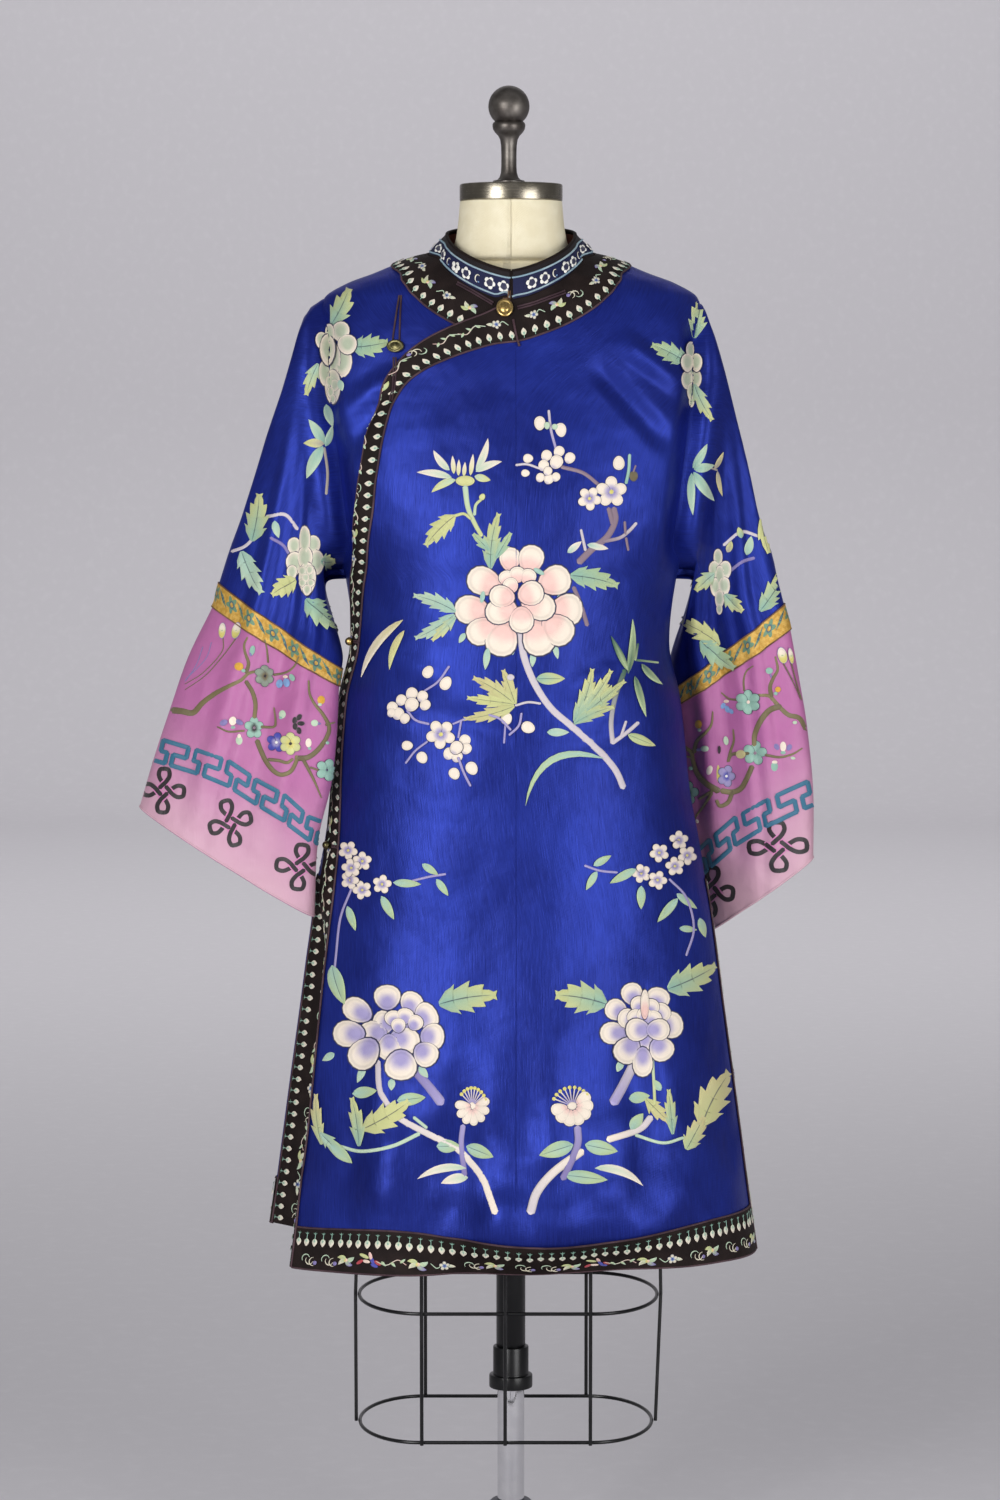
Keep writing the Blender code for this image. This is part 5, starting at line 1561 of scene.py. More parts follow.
@dataclass
class Collar:
    """The standing collar, with its bindings, cords and lining, open at the centre front."""

    finishes: Finishes
    body: Body
    rows: int = 9
    wall: float = 0.0018
    half_width: float = 0.0700
    front_depth: float = 0.0745
    back_depth: float = 0.0530
    front_top: float = 1.4625
    side_top: float = 1.5056
    back_top: float = 1.5156
    slit: float = 0.0007
    binding: float = 0.0019
    cord: float = 0.0010
    upper_cord_from_top: float = 0.0080
    lower_cord_from_bottom: float = 0.0052
    edge: float = 0.0015
    lining: float = 0.0005

    def lay_out(self) -> Cloth:
        """Lay its middle surface, from its top to the neckline.

        Returns:
            The cloth.
        """
        centre = len(NECK_TURNS) * ROWS_FINER
        right = smooth_rows(np.radians(NECK_TURNS + (0,)), ROWS_FINER)[::-1]
        neck_out = self.body.outer.points[centre::-1, 0]
        neck_in = self.body.inner.points[: centre + 1, 0]
        neck = np.concatenate([neck_out[:-1], self.body.back.points[0], neck_in[1:]])
        back_turns = np.linspace(QUARTER, 3 * QUARTER, self.body.back.points.shape[1])
        turns = np.concatenate([right[:-1], back_turns, 2 * math.pi - right[:-1][::-1]])
        inwards = unit(-neck * (1, 1, 0))
        bottom = neck + inwards * (self.wall / 2 + 0.0007) + (0, 0, 0.0003)
        front = np.cos(turns) > 0
        facing = np.abs(np.cos(turns))
        side_height = self.front_top + (self.side_top - self.front_top) * (1 - facing) ** 0.7
        back_height = self.side_top + (self.back_top - self.side_top) * facing
        depth = np.where(front, -self.front_depth, self.back_depth)
        height = np.where(front, side_height, back_height)
        top = np.stack([self.half_width * np.sin(turns), depth * facing, height], axis=-1)
        bottom[0, 0] = top[0, 0] = self.slit
        bottom[-1, 0] = top[-1, 0] = -self.slit
        share = np.linspace(0, 1, self.rows)[:, None, None]
        points = top * (1 - share) + bottom * share
        points = points - inwards * 0.0025 * np.sin(math.pi * share)
        out = np.cross(np.gradient(points, axis=1), np.gradient(points, axis=0))
        return Cloth(points, -unit(out))

    def build(self) -> None:
        """Make the band, its lining, its bindings and its two pale cords."""
        self.cloth = self.lay_out()
        piece = add_piece("collar_band", shell("collar_band", self.cloth, self.wall), self.finishes.collar,
                          "navy_collar")
        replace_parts(piece, "collar")
        lining = self.cloth.part(slice(1, None)).moved(-self.wall / 2 - 0.0004)
        mesh = shell("collar_lining", lining, self.lining)
        sewn = [add_piece(mesh.name, mesh, self.finishes.lining, "navy_collar")]
        points, out = self.cloth.points, self.cloth.out
        upper, lower = self.level(0, self.upper_cord_from_top), self.level(-1, self.lower_cord_from_bottom)
        edges = {
            "top_binding": (points[0], self.binding, self.finishes.trim),
            "bottom_binding": (points[-1] + out[-1] * 0.0016, self.binding, self.finishes.trim),
            "top_cord": (upper, self.cord, self.finishes.pale_cord),
            "bottom_cord": (lower, self.cord, self.finishes.pale_cord),
        }
        for name, (route, radius, finish) in edges.items():
            mesh = tube(f"collar_{name}", route, radius, 8)
            sewn.append(add_piece(mesh.name, mesh, finish, "navy_collar"))
        for end, name in ((0, "left"), (-1, "right")):
            mesh = tube(f"collar_edge_{name}", points[:, end], self.edge, 8)
            sewn.append(add_piece(mesh.name, mesh, self.finishes.trim, "navy_collar"))
        self.piece, self.sewn = piece, sewn

    def level(self, end: int, distance: float) -> np.ndarray:
        """Draw a cord's line on the band.

        Args:
            end: the edge that it follows, the top (0) or the bottom (-1).
            distance: how far from it the line runs.

        Returns:
            Its points, half sunk in the band's face.
        """
        points, out = self.cloth.points, self.cloth.out
        share = distance / np.linalg.norm(points[-1] - points[0], axis=-1)
        at = (share if end == 0 else 1 - share) * (self.rows - 1)
        low = np.clip(at.astype(int), 0, self.rows - 2)
        part = (at - low)[:, None]
        columns = np.arange(points.shape[1])
        line = points[low, columns] * (1 - part) + points[low + 1, columns] * part
        return line + out[low, columns] * (self.wall / 2 + self.cord * 0.5)

    def declare(self) -> None:
        """State its cut."""
        declare_sheet(self.piece, self.cloth, False, ["inner_front", "outer_front", "back"], self.sewn)


def on_front(x: float, height: float, out: float) -> np.ndarray:
    """A point this far out from the fronts' middle surface."""
    return off_front(float(BodyShape.angle_at(x, height)), height, out)


def off_front(angle: float, height: float, out: float) -> np.ndarray:
    """As on_front, at an angle."""
    at, level = np.array([angle]), np.array([height])
    return (BodyShape.front(at, level) + BodyShape.normals(BodyShape.front, at, level) * out)[0]


def pick(piece: bpy.types.Object, test: Callable) -> None:
    """Enter edit mode with only some faces selected.

    Args:
        piece: the piece.
        test: whether a face with this middle and normal is selected.
    """
    bpy.ops.object.mode_set(mode="OBJECT")
    for face in piece.data.polygons:
        face.select = bool(test(face.center, face.normal))
    chosen = {corner for face in piece.data.polygons if face.select for corner in face.vertices}
    ends = {edge for face in piece.data.polygons if face.select for edge in face.edge_keys}
    for vertex in piece.data.vertices:
        vertex.select = vertex.index in chosen
    for edge in piece.data.edges:
        edge.select = tuple(sorted(edge.vertices)) in ends
    bpy.ops.object.mode_set(mode="EDIT")


def settle(piece: bpy.types.Object, name: str, material: bpy.types.Material, slot: str,
           sharp: float = 35) -> bpy.types.Object:
    """Bring a modelled piece's place into its mesh, dress it and let it ride on the part.

    Args:
        piece: the piece, in object mode.
        name: its name.
        material: its finish.
        slot: the record's slot of that finish; not used.
        sharp: the angle in degrees from which an edge is sharp.

    Returns:
        The piece.
    """
    bpy.ops.object.transform_apply(location=True, rotation=True, scale=True)
    piece.name = piece.data.name = name
    piece.data.materials.clear()
    piece.data.materials.append(material)
    piece.data.shade_smooth()
    piece.data.set_sharp_from_angle(angle=math.radians(sharp))
    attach(piece, "root")
    return piece


def turned(name: str, profile: list, centre: tuple, material: bpy.types.Material, slot: str, sides: int = 64,
           stretch: tuple = (1, 1)) -> bpy.types.Object:
    """Raise a turned piece from a disc, by extruding it upwards and sizing each ring.

    Args:
        name: its name.
        profile: (radius, height) pairs from its lower end to its upper one.
        centre: the x and y of its axis.
        material: its finish.
        slot: the record's slot of that finish.
        sides: how many sides it has.
        stretch: its widths in x and y, as shares of the radius.

    Returns:
        The piece.
    """
    bpy.ops.object.select_all(action="DESELECT")
    radius, height = profile[0]
    bpy.ops.mesh.primitive_circle_add(vertices=sides, radius=radius, fill_type="NGON",
                                      location=(*centre, height))
    piece = bpy.context.object
    piece.scale = (*stretch, 1)
    bpy.ops.object.mode_set(mode="EDIT")
    bpy.ops.mesh.select_all(action="SELECT")
    for next_radius, next_height in profile[1:]:
        rise = {"value": (0, 0, next_height - height)}
        bpy.ops.mesh.extrude_region_move(TRANSFORM_OT_translate=rise)
        share = next_radius / radius
        bpy.ops.transform.resize(value=(share, share, 1), center_override=(*centre, next_height))
        radius, height = next_radius, next_height
    bpy.ops.mesh.select_all(action="SELECT")
    bpy.ops.mesh.normals_make_consistent(inside=False)
    bpy.ops.object.mode_set(mode="OBJECT")
    return settle(piece, name, material, slot)


def aim(piece: bpy.types.Object, axis: np.ndarray, place: np.ndarray) -> None:
    """Turn a piece's own +Z along an axis and put it at a place."""
    piece.rotation_euler = Vector(axis).to_track_quat("Z", "Y").to_euler()
    piece.location = place


@dataclass
class Fastenings:
    """The buttons, their loops and the cords sewn on both sides of them."""

    finishes: Finishes
    collar: Collar
    cord: float = 0.0010
    cord_apart: float = 0.0012
    loop: float = 0.0009
    ball: float = 0.0045
    on_yoke: float = 0.0032
    on_lapel: float = 0.0062
    chest: tuple = (-0.1235, 1.3810)  # x and height on the front, as in the next one
    neck: tuple = (-0.0070, 1.4195)
    side_height: float = 1.0630
    vent_height: float = 0.840

    def cord_route(self, name: str, node: str, spots: list, out: float, radius: float, offset: float = 0.0,
                   finish: bpy.types.Material | None = None, slot: str = "dark_cord") -> None:
        """Lay a sewn cord on the front.

        Args:
            name: its name.
            node: the CAD node that it stands for, or nothing.
            spots: the (x, height) places that it passes.
            out: how far out its underside lies.
            radius: its radius.
            offset: how far aside it lies, across its own way.
            finish: its finish, or none for that of a dark cord.
            slot: the record's slot of that finish.
        """
        flat = along_smooth(spots, 5)
        way = unit(np.gradient(flat, axis=0))
        flat = flat + np.stack([-way[:, 1], way[:, 0]], axis=-1) * offset
        route = np.array([on_front(x, height, out + radius) for x, height in flat])
        piece = add_piece(name, tube(name, route, radius, 8), finish or self.finishes.cord, slot)
        if node:
            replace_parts(piece, node)

    def boss(self, name: str, node: str, radius: float, thick: float, stretch: tuple,
             material: bpy.types.Material, slot: str, axis: np.ndarray, place: np.ndarray) -> None:
        """Model a domed button with a sunk ring and a raised middle.

        Args:
            name: its name.
            node: the CAD node that it stands for.
            radius: its radius.
            thick: its thickness.
            stretch: its widths as shares of the radius.
            material: its finish.
            slot: the record's slot of that finish.
            axis: the direction that it faces.
            place: its middle.
        """
        bpy.ops.object.select_all(action="DESELECT")
        bpy.ops.mesh.primitive_cylinder_add(vertices=48, radius=radius, depth=thick * 0.6,
                                            end_fill_type="NGON")
        piece = bpy.context.object
        pick(piece, lambda centre, normal: normal.z > 0.9)
        steps = ((0.10, 0.16), (0.10, 0.10), (0.10, -0.12), (0.14, -0.04), (0.10, 0.16), (0.16, 0.14),
                 (0.16, 0.06))
        for inset, rise in steps:
            bpy.ops.mesh.inset(thickness=radius * inset, depth=0)
            bpy.ops.transform.translate(value=(0, 0, thick * rise))
        pick(piece, lambda centre, normal: abs(normal.z) < 0.3)
        bpy.ops.mesh.bevel(offset=thick * 0.08, segments=2)
        bpy.ops.object.mode_set(mode="OBJECT")
        piece.scale = (*stretch, 1)
        aim(piece, axis, place)
        settle(piece, name, material, slot, 60)
        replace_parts(piece, node)

    def ball_on_edge(self, name: str, height: float, material: bpy.types.Material, slot: str) -> None:
        """Model a ball button on the side edge's trim, and the loop that comes to it from the cloth.

        Args:
            name: the start of its name.
            height: its height.
            material: its finish.
            slot: the record's slot of that finish.
        """
        edge = -float(BodyShape.angle_at(FRONT_EDGE.at("x", height), height))
        middle = edge - EDGE_TRIM / TURN_RADIUS / 2
        place = off_front(middle, height, self.on_lapel + self.ball)
        out = place - off_front(middle, height, 0.0)
        bpy.ops.object.select_all(action="DESELECT")
        bpy.ops.mesh.primitive_uv_sphere_add(segments=32, ring_count=20, radius=self.ball)
        piece = bpy.context.object
        pick(piece, lambda centre, normal: abs(centre.z) < self.ball * 0.22)
        bpy.ops.transform.resize(value=(1.05, 1.05, 1))
        pick(piece, lambda centre, normal: centre.z < -self.ball * 0.93)
        bpy.ops.mesh.extrude_region_move(TRANSFORM_OT_translate={"value": (0, 0, -self.ball * 0.2)})
        bpy.ops.object.mode_set(mode="OBJECT")
        aim(piece, unit(out), place)
        settle(piece, name + "_ball", material, slot, 60)
        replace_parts(piece, name + "_button")
        angles = np.linspace(edge + 0.01, middle + 0.006 / TURN_RADIUS, 9)
        for number, shift in enumerate((-0.0010, 0.0010)):
            route = np.array([off_front(angle, height + shift, self.on_lapel + self.loop)
                              for angle in angles])
            mesh = tube(f"{name}_strand_{number}", route, self.loop, 8)
            cord = add_piece(mesh.name, mesh, self.finishes.cord, "dark_cord")
            if number == 0:
                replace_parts(cord, name + "_loop")

    def normal_at(self, place: tuple) -> np.ndarray:
        """The direction out of the front at an (x, height)."""
        angle = np.array([float(BodyShape.angle_at(*place))])
        return BodyShape.normals(BodyShape.front, angle, np.array([place[1]]))[0]

    def build(self) -> None:
        """Make them all."""
        loop = [(-0.1238, 1.3800, 3.4), (-0.1228, 1.3960, 2.7), (-0.1212, 1.4160, 1.8),
                (-0.1193, 1.4360, 0.9)]
        tail = [(-0.1235, 1.3685), (-0.1240, 1.3530), (-0.1254, 1.3380), (-0.1265, 1.3225)]
        for number, offset in enumerate((-self.cord_apart, self.cord_apart)):
            node = "chest_loop" if number == 0 else ""
            spots = [(x + offset * spread, height) for x, height, spread in loop]
            self.cord_route(f"chest_loop_strand_{number}", node, spots, 0.0008, self.cord)
            node = "chest_tail" if number == 0 else ""
            self.cord_route(f"chest_tail_strand_{number}", node, tail, self.on_lapel - 0.001, self.cord,
                            offset)
        self.boss("chest_disc", "chest_button", 0.0095, 0.0026, (1, 0.74), self.finishes.bronze, "bronze",
                  self.normal_at(self.chest), on_front(*self.chest, 0.0045))
        frog_right = [(-0.0580, 1.4480), (-0.0450, 1.4412), (-0.0320, 1.4337), (-0.0195, 1.4262)]
        frog_left = [(0.0065, 1.4205), (0.0235, 1.4250), (0.0405, 1.4312), (0.0576, 1.4375)]
        for number, offset in enumerate((-self.cord_apart, self.cord_apart)):
            node = "neck_frog_right" if number == 0 else ""
            self.cord_route(f"neck_frog_right_{number}", node, frog_right, self.on_yoke - 0.001, self.cord,
                            offset)
            node = "neck_frog_left" if number == 0 else ""
            self.cord_route(f"neck_frog_left_{number}", node, frog_left, self.on_lapel - 0.001, self.cord,
                            offset)
        seam = [(0.0045, 1.3770), (0.0050, 1.2), (0.0050, 1.0), (0.0050, 0.8), (0.0050, 0.6), (0.0050, 0.46)]
        self.cord_route("front_seam", "", seam, FRONT_LIFT + 0.0004, 0.0004, 0.0, self.finishes.satin,
                        "blue_satin")
        edge = [(0.0020, 1.4080), (0.0045, 1.3950), (0.0085, 1.3800)]
        self.cord_route("yoke_end", "", edge, self.on_lapel - 0.0012, 0.0013, 0.0, self.finishes.piping,
                        "black_trim")
        self.boss("neck_oval", "neck_button", 0.0103, 0.0040, (0.88, 1), self.finishes.gilt, "gilt",
                  self.normal_at(self.neck), on_front(*self.neck, self.on_lapel + 0.002))
        self.neck_loop()
        self.ball_on_edge("side", self.side_height, self.finishes.gilt, "gilt")
        self.ball_on_edge("vent", self.vent_height, self.finishes.bronze, "bronze")

    def neck_loop(self) -> None:
        """Lay the two strands that run from the collar's right end round the neck button's top."""
        on_collar, button_top, sag, radius, apart = 0.0022, 0.0095, (0, -0.0022, 0.0006), 0.0008, 0.0011
        start = self.collar.cloth.part(columns=-1).moved(on_collar).points
        end = on_front(self.neck[0], self.neck[1] + button_top, self.on_lapel + 0.0036)
        middle = (start[-1] + end) / 2 + sag
        for number, shift in enumerate((-apart, apart)):
            route = along_smooth([start[-4], start[-2], middle, end], 4) + (shift, 0, 0)
            mesh = tube(f"neck_strand_{number}", route, radius, 8)
            add_piece(mesh.name, mesh, self.finishes.loop, "dark_cord")


@dataclass
class Form:
    """The limbless form with its neck, cap and knob."""

    finishes: Finishes
    sides: int = 96
    seat: float = 0.0032
    front_flat: float = 0.62
    back_flat: float = 0.88
    seam_bottom: float = 1.478
    knob_radius: float = 0.0225
    knob_top: float = 1.666
    ball_foot: float = 1.6285

    def ring(self, half_width: float, front: float, back: float, height: float,
             power: float = 2.1) -> np.ndarray:
        """Draw a rounded ring at one height.

        Args:
            half_width: half its width.
            front: its depth in front.
            back: its depth behind.
            height: its height.
            power: how square it is, 2 for an ellipse.

        Returns:
            Its points.
        """
        turns = np.arange(self.sides) * 2 * math.pi / self.sides
        across, along = np.sin(turns), np.cos(turns)
        x = half_width * np.sign(across) * np.abs(across) ** (2 / power)
        y = np.where(along > 0, -front, back) * np.abs(along) ** (2 / power)
        return np.stack([x, y, np.full(self.sides, height)], axis=-1)

    def torso(self) -> None:
        """Loft the covered torso and neck, with a seam down the front of the neck."""
        rows = [tuple(row) for row in TORSO.rows]
        for height in SHOULDER_ROWS:
            cloth = height + self.seat
            width, front, back = (float(BODY.at(name, cloth)) for name in ("half_width", "front", "back"))
            rows.append((height, width, front * self.front_flat, back * self.back_flat))
        rows += [tuple(row) for row in TORSO_NECK.rows]
        sizes = smooth_rows(np.array(rows), 4)
        rings = [self.ring(width, front, back, height) for height, width, front, back in sizes]
        count = self.sides
        verts = np.concatenate(rings)
        number = np.arange(len(verts)).reshape(len(rings), count)
        faces = walls_of(number).tolist()
        faces += [number[0][::-1].tolist(), number[-1].tolist()]
        mesh = bpy.data.meshes.new("form_cover")
        mesh.from_pydata(verts.tolist(), [], faces)
        heights = verts[:, 2]
        turn = np.tile(np.arange(count) / count * 0.6, len(rings))
        layer = mesh.uv_layers.new(name="UVMap")
        corners = np.concatenate([np.array(face) for face in faces])
        spots = np.stack([turn[corners], heights[corners]], axis=-1)
        layer.data.foreach_set("uv", spots.ravel().astype(np.float32))
        piece = add_piece("form_cover", mesh, self.finishes.linen, "cream_linen")
        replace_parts(piece, "form_torso")
        seam = [ring[0] + (0, -0.0004, 0) for ring, size in zip(rings, sizes) if size[0] > self.seam_bottom]
        mesh = tube("form_neck_seam", np.array(seam), 0.0006, 6)
        add_piece(mesh.name, mesh, self.finishes.linen, "cream_linen")

    def build(self) -> None:
        """Make the torso, the cap and the knob."""
        self.torso()
        cap = [(0.0545, 1.5410), (0.0560, 1.5416), (0.0562, 1.5430), (0.0562, 1.5575), (0.0556, 1.5590),
               (0.0544, 1.5595)]
        cap += [(0.0300, 1.5596), (0.0200, 1.5597)]
        piece = turned("neck_plate", cap, (0, -0.002), self.finishes.steel, "steel_cap", 96, (1, 0.85))
        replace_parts(piece, "neck_cap")
        angles = np.linspace(-0.62, QUARTER - 0.15, 16)
        middle, radius = self.knob_top - self.knob_radius, self.knob_radius
        knob = [(0.0170, 1.5598), (0.0176, 1.5606), (0.0176, 1.5624), (0.0170, 1.5632), (0.0125, 1.5644),
                (0.0102, 1.5672)]
        knob += [(0.0088, 1.5720), (0.0084, 1.5780), (0.0083, 1.5900), (0.0086, 1.6010), (0.0096, 1.6075),
                 (0.0118, 1.6118)]
        knob += [(0.0150, 1.6150), (0.0172, 1.6184), (0.0179, 1.6215), (0.0179, 1.6242), (0.0168, 1.6262),
                 (0.0152, 1.6272)]
        ball = [(radius * math.cos(angle), middle + radius * math.sin(angle)) for angle in angles]
        knob += [pair for pair in ball if pair[1] > self.ball_foot] + [(0.0012, self.knob_top)]
        piece = turned("turned_knob", knob, (-0.0024, -0.002), self.finishes.iron, "dark_knob", 64)
        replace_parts(piece, "neck_knob")


@dataclass
class Stand:
    """The wire cage, the pole and the base."""

    finishes: Finishes
    wire: float = 0.002
    ring_heights: tuple = (0.3325, 0.1895)
    half_widths: tuple = (0.166, 0.163)
    half_depths: tuple = (0.107, 0.105)
    middles: tuple = (-0.003, -0.0056)
    straight: float = 0.0935
    wire_xs: tuple = (-0.0975, -0.0065, 0.0865)
    form_bottom: float = 0.745

    def bent_wire(self, name: str, node: str, route: list, closed: bool) -> None:
        """Bend a round wire along a route.

        Args:
            name: its name.
            node: the CAD node that it stands for.
            route: its middle points.
            closed: whether it is a ring.
        """
        bpy.ops.object.select_all(action="DESELECT")
        curve = bpy.data.curves.new(name, "CURVE")
        curve.dimensions = "3D"
        curve.bevel_depth, curve.bevel_resolution, curve.use_fill_caps = self.wire, 3, not closed
        spline = curve.splines.new("POLY")
        spline.points.add(len(route) - 1)
        for point, place in zip(spline.points, route):
            point.co = (*place, 1)
        spline.use_cyclic_u = closed
        piece = bpy.data.objects.new(name, curve)
        bpy.context.scene.collection.objects.link(piece)
        piece.select_set(True)
        bpy.context.view_layer.objects.active = piece
        bpy.ops.object.convert(target="MESH")
        settle(bpy.context.object, name, self.finishes.paint, "black_paint")
        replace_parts(bpy.context.object, node)

    def ring(self, level: int) -> list:
        """Draw a cage ring: straight in front and behind, with rounded ends.

        Args:
            level: 0 for the upper ring and 1 for the lower one.

        Returns:
            Its points.
        """
        end = self.half_widths[level] - self.straight
        turns = np.linspace(-QUARTER, QUARTER, 33)
        right = [(self.straight + end * math.cos(turn), self.half_depths[level] * math.sin(turn))
                 for turn in turns]
        both = right + [(-x, -y) for x, y in right]
        return [(x + self.middles[level], y, self.ring_heights[level]) for x, y in both]

    def build(self) -> None:
        """Make it."""
        for level, name in enumerate(("upper", "lower")):
            self.bent_wire(f"cage_hoop_{name}", f"cage_ring_{name}", self.ring(level), True)
        beside = 2 * self.wire + 0.0003
        heights = (self.ring_heights[1] - self.wire, self.ring_heights[0], self.form_bottom - 0.0003)
        depths = (self.half_depths[1] + beside, self.half_depths[0] + beside, 0.088)
        for side, place in ((-1, "front"), (1, "back")):
            for number, x in enumerate(self.wire_xs, 1):
                route = [(x, side * depth, height) for depth, height in zip(depths, heights)]
                self.bent_wire(f"cage_rod_{place}_{number}", f"cage_wire_{place}_{number}", route, False)
        for side, place in ((-1, "right"), (1, "left")):
            xs = [self.middles[level] + side * (self.half_widths[level] + beside) for level in (1, 0)]
            route = [(x, 0, height) for x, height in zip(xs + [side * 0.160], heights)]
            self.bent_wire(f"cage_rod_{place}", f"cage_wire_{place}", route, False)
        paint, chrome = self.finishes.paint, self.finishes.chrome
        sleeve = [(0.0158, 0.2733), (0.0162, 0.2740), (0.0162, 0.5), (0.0162, 0.7440), (0.0158, 0.7447)]
        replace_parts(turned("sleeve_tube", sleeve, (0, 0), paint, "black_paint"), "pole_sleeve")
        collar = [(0.0230, 0.2264), (0.0240, 0.2270), (0.0242, 0.2280), (0.0242, 0.2396), (0.0238, 0.2407),
                  (0.0228, 0.2412)]
        collar += [(0.0200, 0.2414), (0.0198, 0.2424), (0.0198, 0.2718), (0.0194, 0.2727), (0.0184, 0.2730)]
        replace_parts(turned("step_clamp", collar, (0, 0), paint, "black_paint"), "pole_collar")
        pole = [(0.0146, 0.0983), (0.0150, 0.0988), (0.0150, 0.16), (0.0150, 0.2256), (0.0146, 0.2261)]
        pole_piece = turned("chrome_tube", pole, (0, 0), chrome, "chrome_pole")
        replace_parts(pole_piece, "pole_chrome")
        hub = [(0.0495, 0.0223), (0.0500, 0.0228), (0.0500, 0.0275), (0.0490, 0.0285), (0.0420, 0.0325),
               (0.0345, 0.0375)]
        hub += [(0.0290, 0.0430), (0.0255, 0.0490), (0.0242, 0.0545), (0.0240, 0.0930), (0.0234, 0.0960),
                (0.0212, 0.0979)]
        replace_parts(turned("hub_casting", hub, (0, 0), self.finishes.hub_paint, "black_paint"), "base_hub")
        base = [(0.2035, 0.0), (0.2048, 0.0008), (0.2050, 0.0020), (0.2050, 0.0120), (0.2038, 0.0150),
                (0.2005, 0.0180)]
        base += [(0.1960, 0.0205), (0.1890, 0.0219), (0.1200, 0.0220), (0.0520, 0.0220)]
        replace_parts(turned("base_plate", base, (0, 0), paint, "black_paint", 128), "base_disc")


@dataclass
class Studio:
    """The floor with its curve up into the wall, the lights and the camera."""

    finishes: Finishes
    camera_place: tuple = (-0.0121, -4.363, 1.292)
    pitch: float = 4.61
    lens: float = 95.18
    sensor: float = 36
    curve: float = 1.4
    back: float = 8.6
    width: float = 9.0
    wall_top: float = 9.0
    sky: tuple = (0.80, 0.80, 0.84, 1)
    sky_strength: float = 0.29

    def build(self) -> None:
        """Make it."""
        turns = np.linspace(0, QUARTER, 17)
        radius, back, width = self.curve, self.back, self.width
        line = [(-back, 0.0), (back, 0.0)]
        line += [(back + radius * math.sin(turn), radius * (1 - math.cos(turn))) for turn in turns[1:]]
        line += [(back + radius, self.wall_top)]
        verts = [(x, y, z) for y, z in line for x in (-width, width)]
        faces = [(2 * i, 2 * i + 1, 2 * i + 3, 2 * i + 2) for i in range(len(line) - 1)]
        mesh = bpy.data.meshes.new("studio_floor")
        mesh.from_pydata(verts, [], faces)
        mesh.materials.append(self.finishes.wall)
        mesh.shade_smooth()
        floor = bpy.data.objects.new("studio_floor", mesh)
        bpy.context.scene.collection.objects.link(floor)
        self.camera()
        self.light("key", (-1.9, -3.5, 1.6), (0.0, 0.0, 0.7), (1.5, 2.0), 114)
        self.light("fill", (2.5, -3.2, 1.1), (0.0, 0.0, 0.65), (1.8, 2.2), 90)
        self.light("wall", (0.0, 4.8, 6.0), (0.0, 8.65, 0.6), (8.0, 3.0), 284)
        world = bpy.data.worlds.new("studio")
        world.use_nodes = True
        background = world.node_tree.nodes["Background"]
        background.inputs["Color"].default_value = self.sky
        background.inputs["Strength"].default_value = self.sky_strength
        bpy.context.scene.world = world
        bpy.context.scene.view_settings.view_transform = "Standard"

    def camera(self) -> None:
        """Set the camera of the photograph."""
        lens = bpy.data.cameras.new("camera")
        lens.lens, lens.sensor_width = self.lens, self.sensor
        lens.clip_end = 50
        camera = bpy.data.objects.new("camera", lens)
        camera.location = self.camera_place
        camera.rotation_euler = (QUARTER - math.radians(self.pitch), 0, 0)
        bpy.context.scene.collection.objects.link(camera)
        bpy.context.scene.camera = camera

    @staticmethod
    def light(name: str, place: tuple, target: tuple, size: tuple, power: float) -> None:
        """Hang a soft light.

        Args:
            name: its name.
            place: where it hangs.
            target: what it faces.
            size: its width and height.
            power: its power in watts.
        """
        data = bpy.data.lights.new(name, "AREA")
        data.shape, data.size, data.size_y, data.energy = "RECTANGLE", *size, power
        lamp = bpy.data.objects.new(name, data)
        lamp.location = place
        lamp.rotation_euler = (Vector(target) - Vector(place)).to_track_quat("-Z", "Y").to_euler()
        bpy.context.scene.collection.objects.link(lamp)


class Dye(Enum):
    """The colours of the silk floss, as screen colours."""

    CREAM = (240, 226, 208)
    IVORY = (222, 214, 190)
    PEACH = (234, 208, 192)
    ROSE = (238, 196, 186)
    BLUSH = (226, 190, 184)
    MAUVE = (204, 194, 200)
    LILAC = (160, 150, 196)
    PURPLE = (128, 116, 172)
    PLUM = (134, 112, 126)
    BARK = (104, 92, 58)
    OLIVE_BARK = (128, 116, 74)
    TWIG = (168, 158, 146)
    MINT = (186, 208, 180)
    PALE_TEAL = (162, 198, 182)
    TEAL = (140, 182, 164)
    GREEN = (178, 198, 148)
    LEAF = (198, 202, 138)
    LIME = (210, 210, 142)
    OLIVE = (206, 196, 138)
    SAGE = (178, 188, 162)
    PINK = (208, 128, 178)
    YELLOW = (214, 204, 110)
    GOLD = (214, 160, 34)
    NAVY = (12, 14, 62)
    FRET = (36, 104, 134)
    INK = (28, 16, 22)
    BLUE = (62, 66, 168)
    SKY = (120, 156, 204)
    RED = (178, 48, 60)
    GREY = (132, 144, 128)
    GREY_MINT = (150, 190, 172)
    DARK_GREEN = (52, 96, 74)
    WHITE = (240, 238, 230)

    def linear(self) -> np.ndarray:
        """The colour as light."""
        share = np.array(self.value) / 255
        return np.where(share <= 0.04045, share / 12.92, ((share + 0.055) / 1.055) ** 2.4)


def blended(first: Dye, second: Dye, share: np.ndarray) -> np.ndarray:
    """Colours from a first to a second."""
    share = np.clip(share, 0, 1)[..., None]
    return first.linear() * (1 - share) + second.linear() * share


SMALL = 3.2  # the half length on a chart under which a patch needs few faces


@dataclass
class Patch:
    """A padded patch of stitches: a small grid on a flat chart, with its heights and colours."""

    spots: np.ndarray
    lift: np.ndarray
    dye: np.ndarray
    thread: np.ndarray
    closed: bool = False
    rank: float | None = None


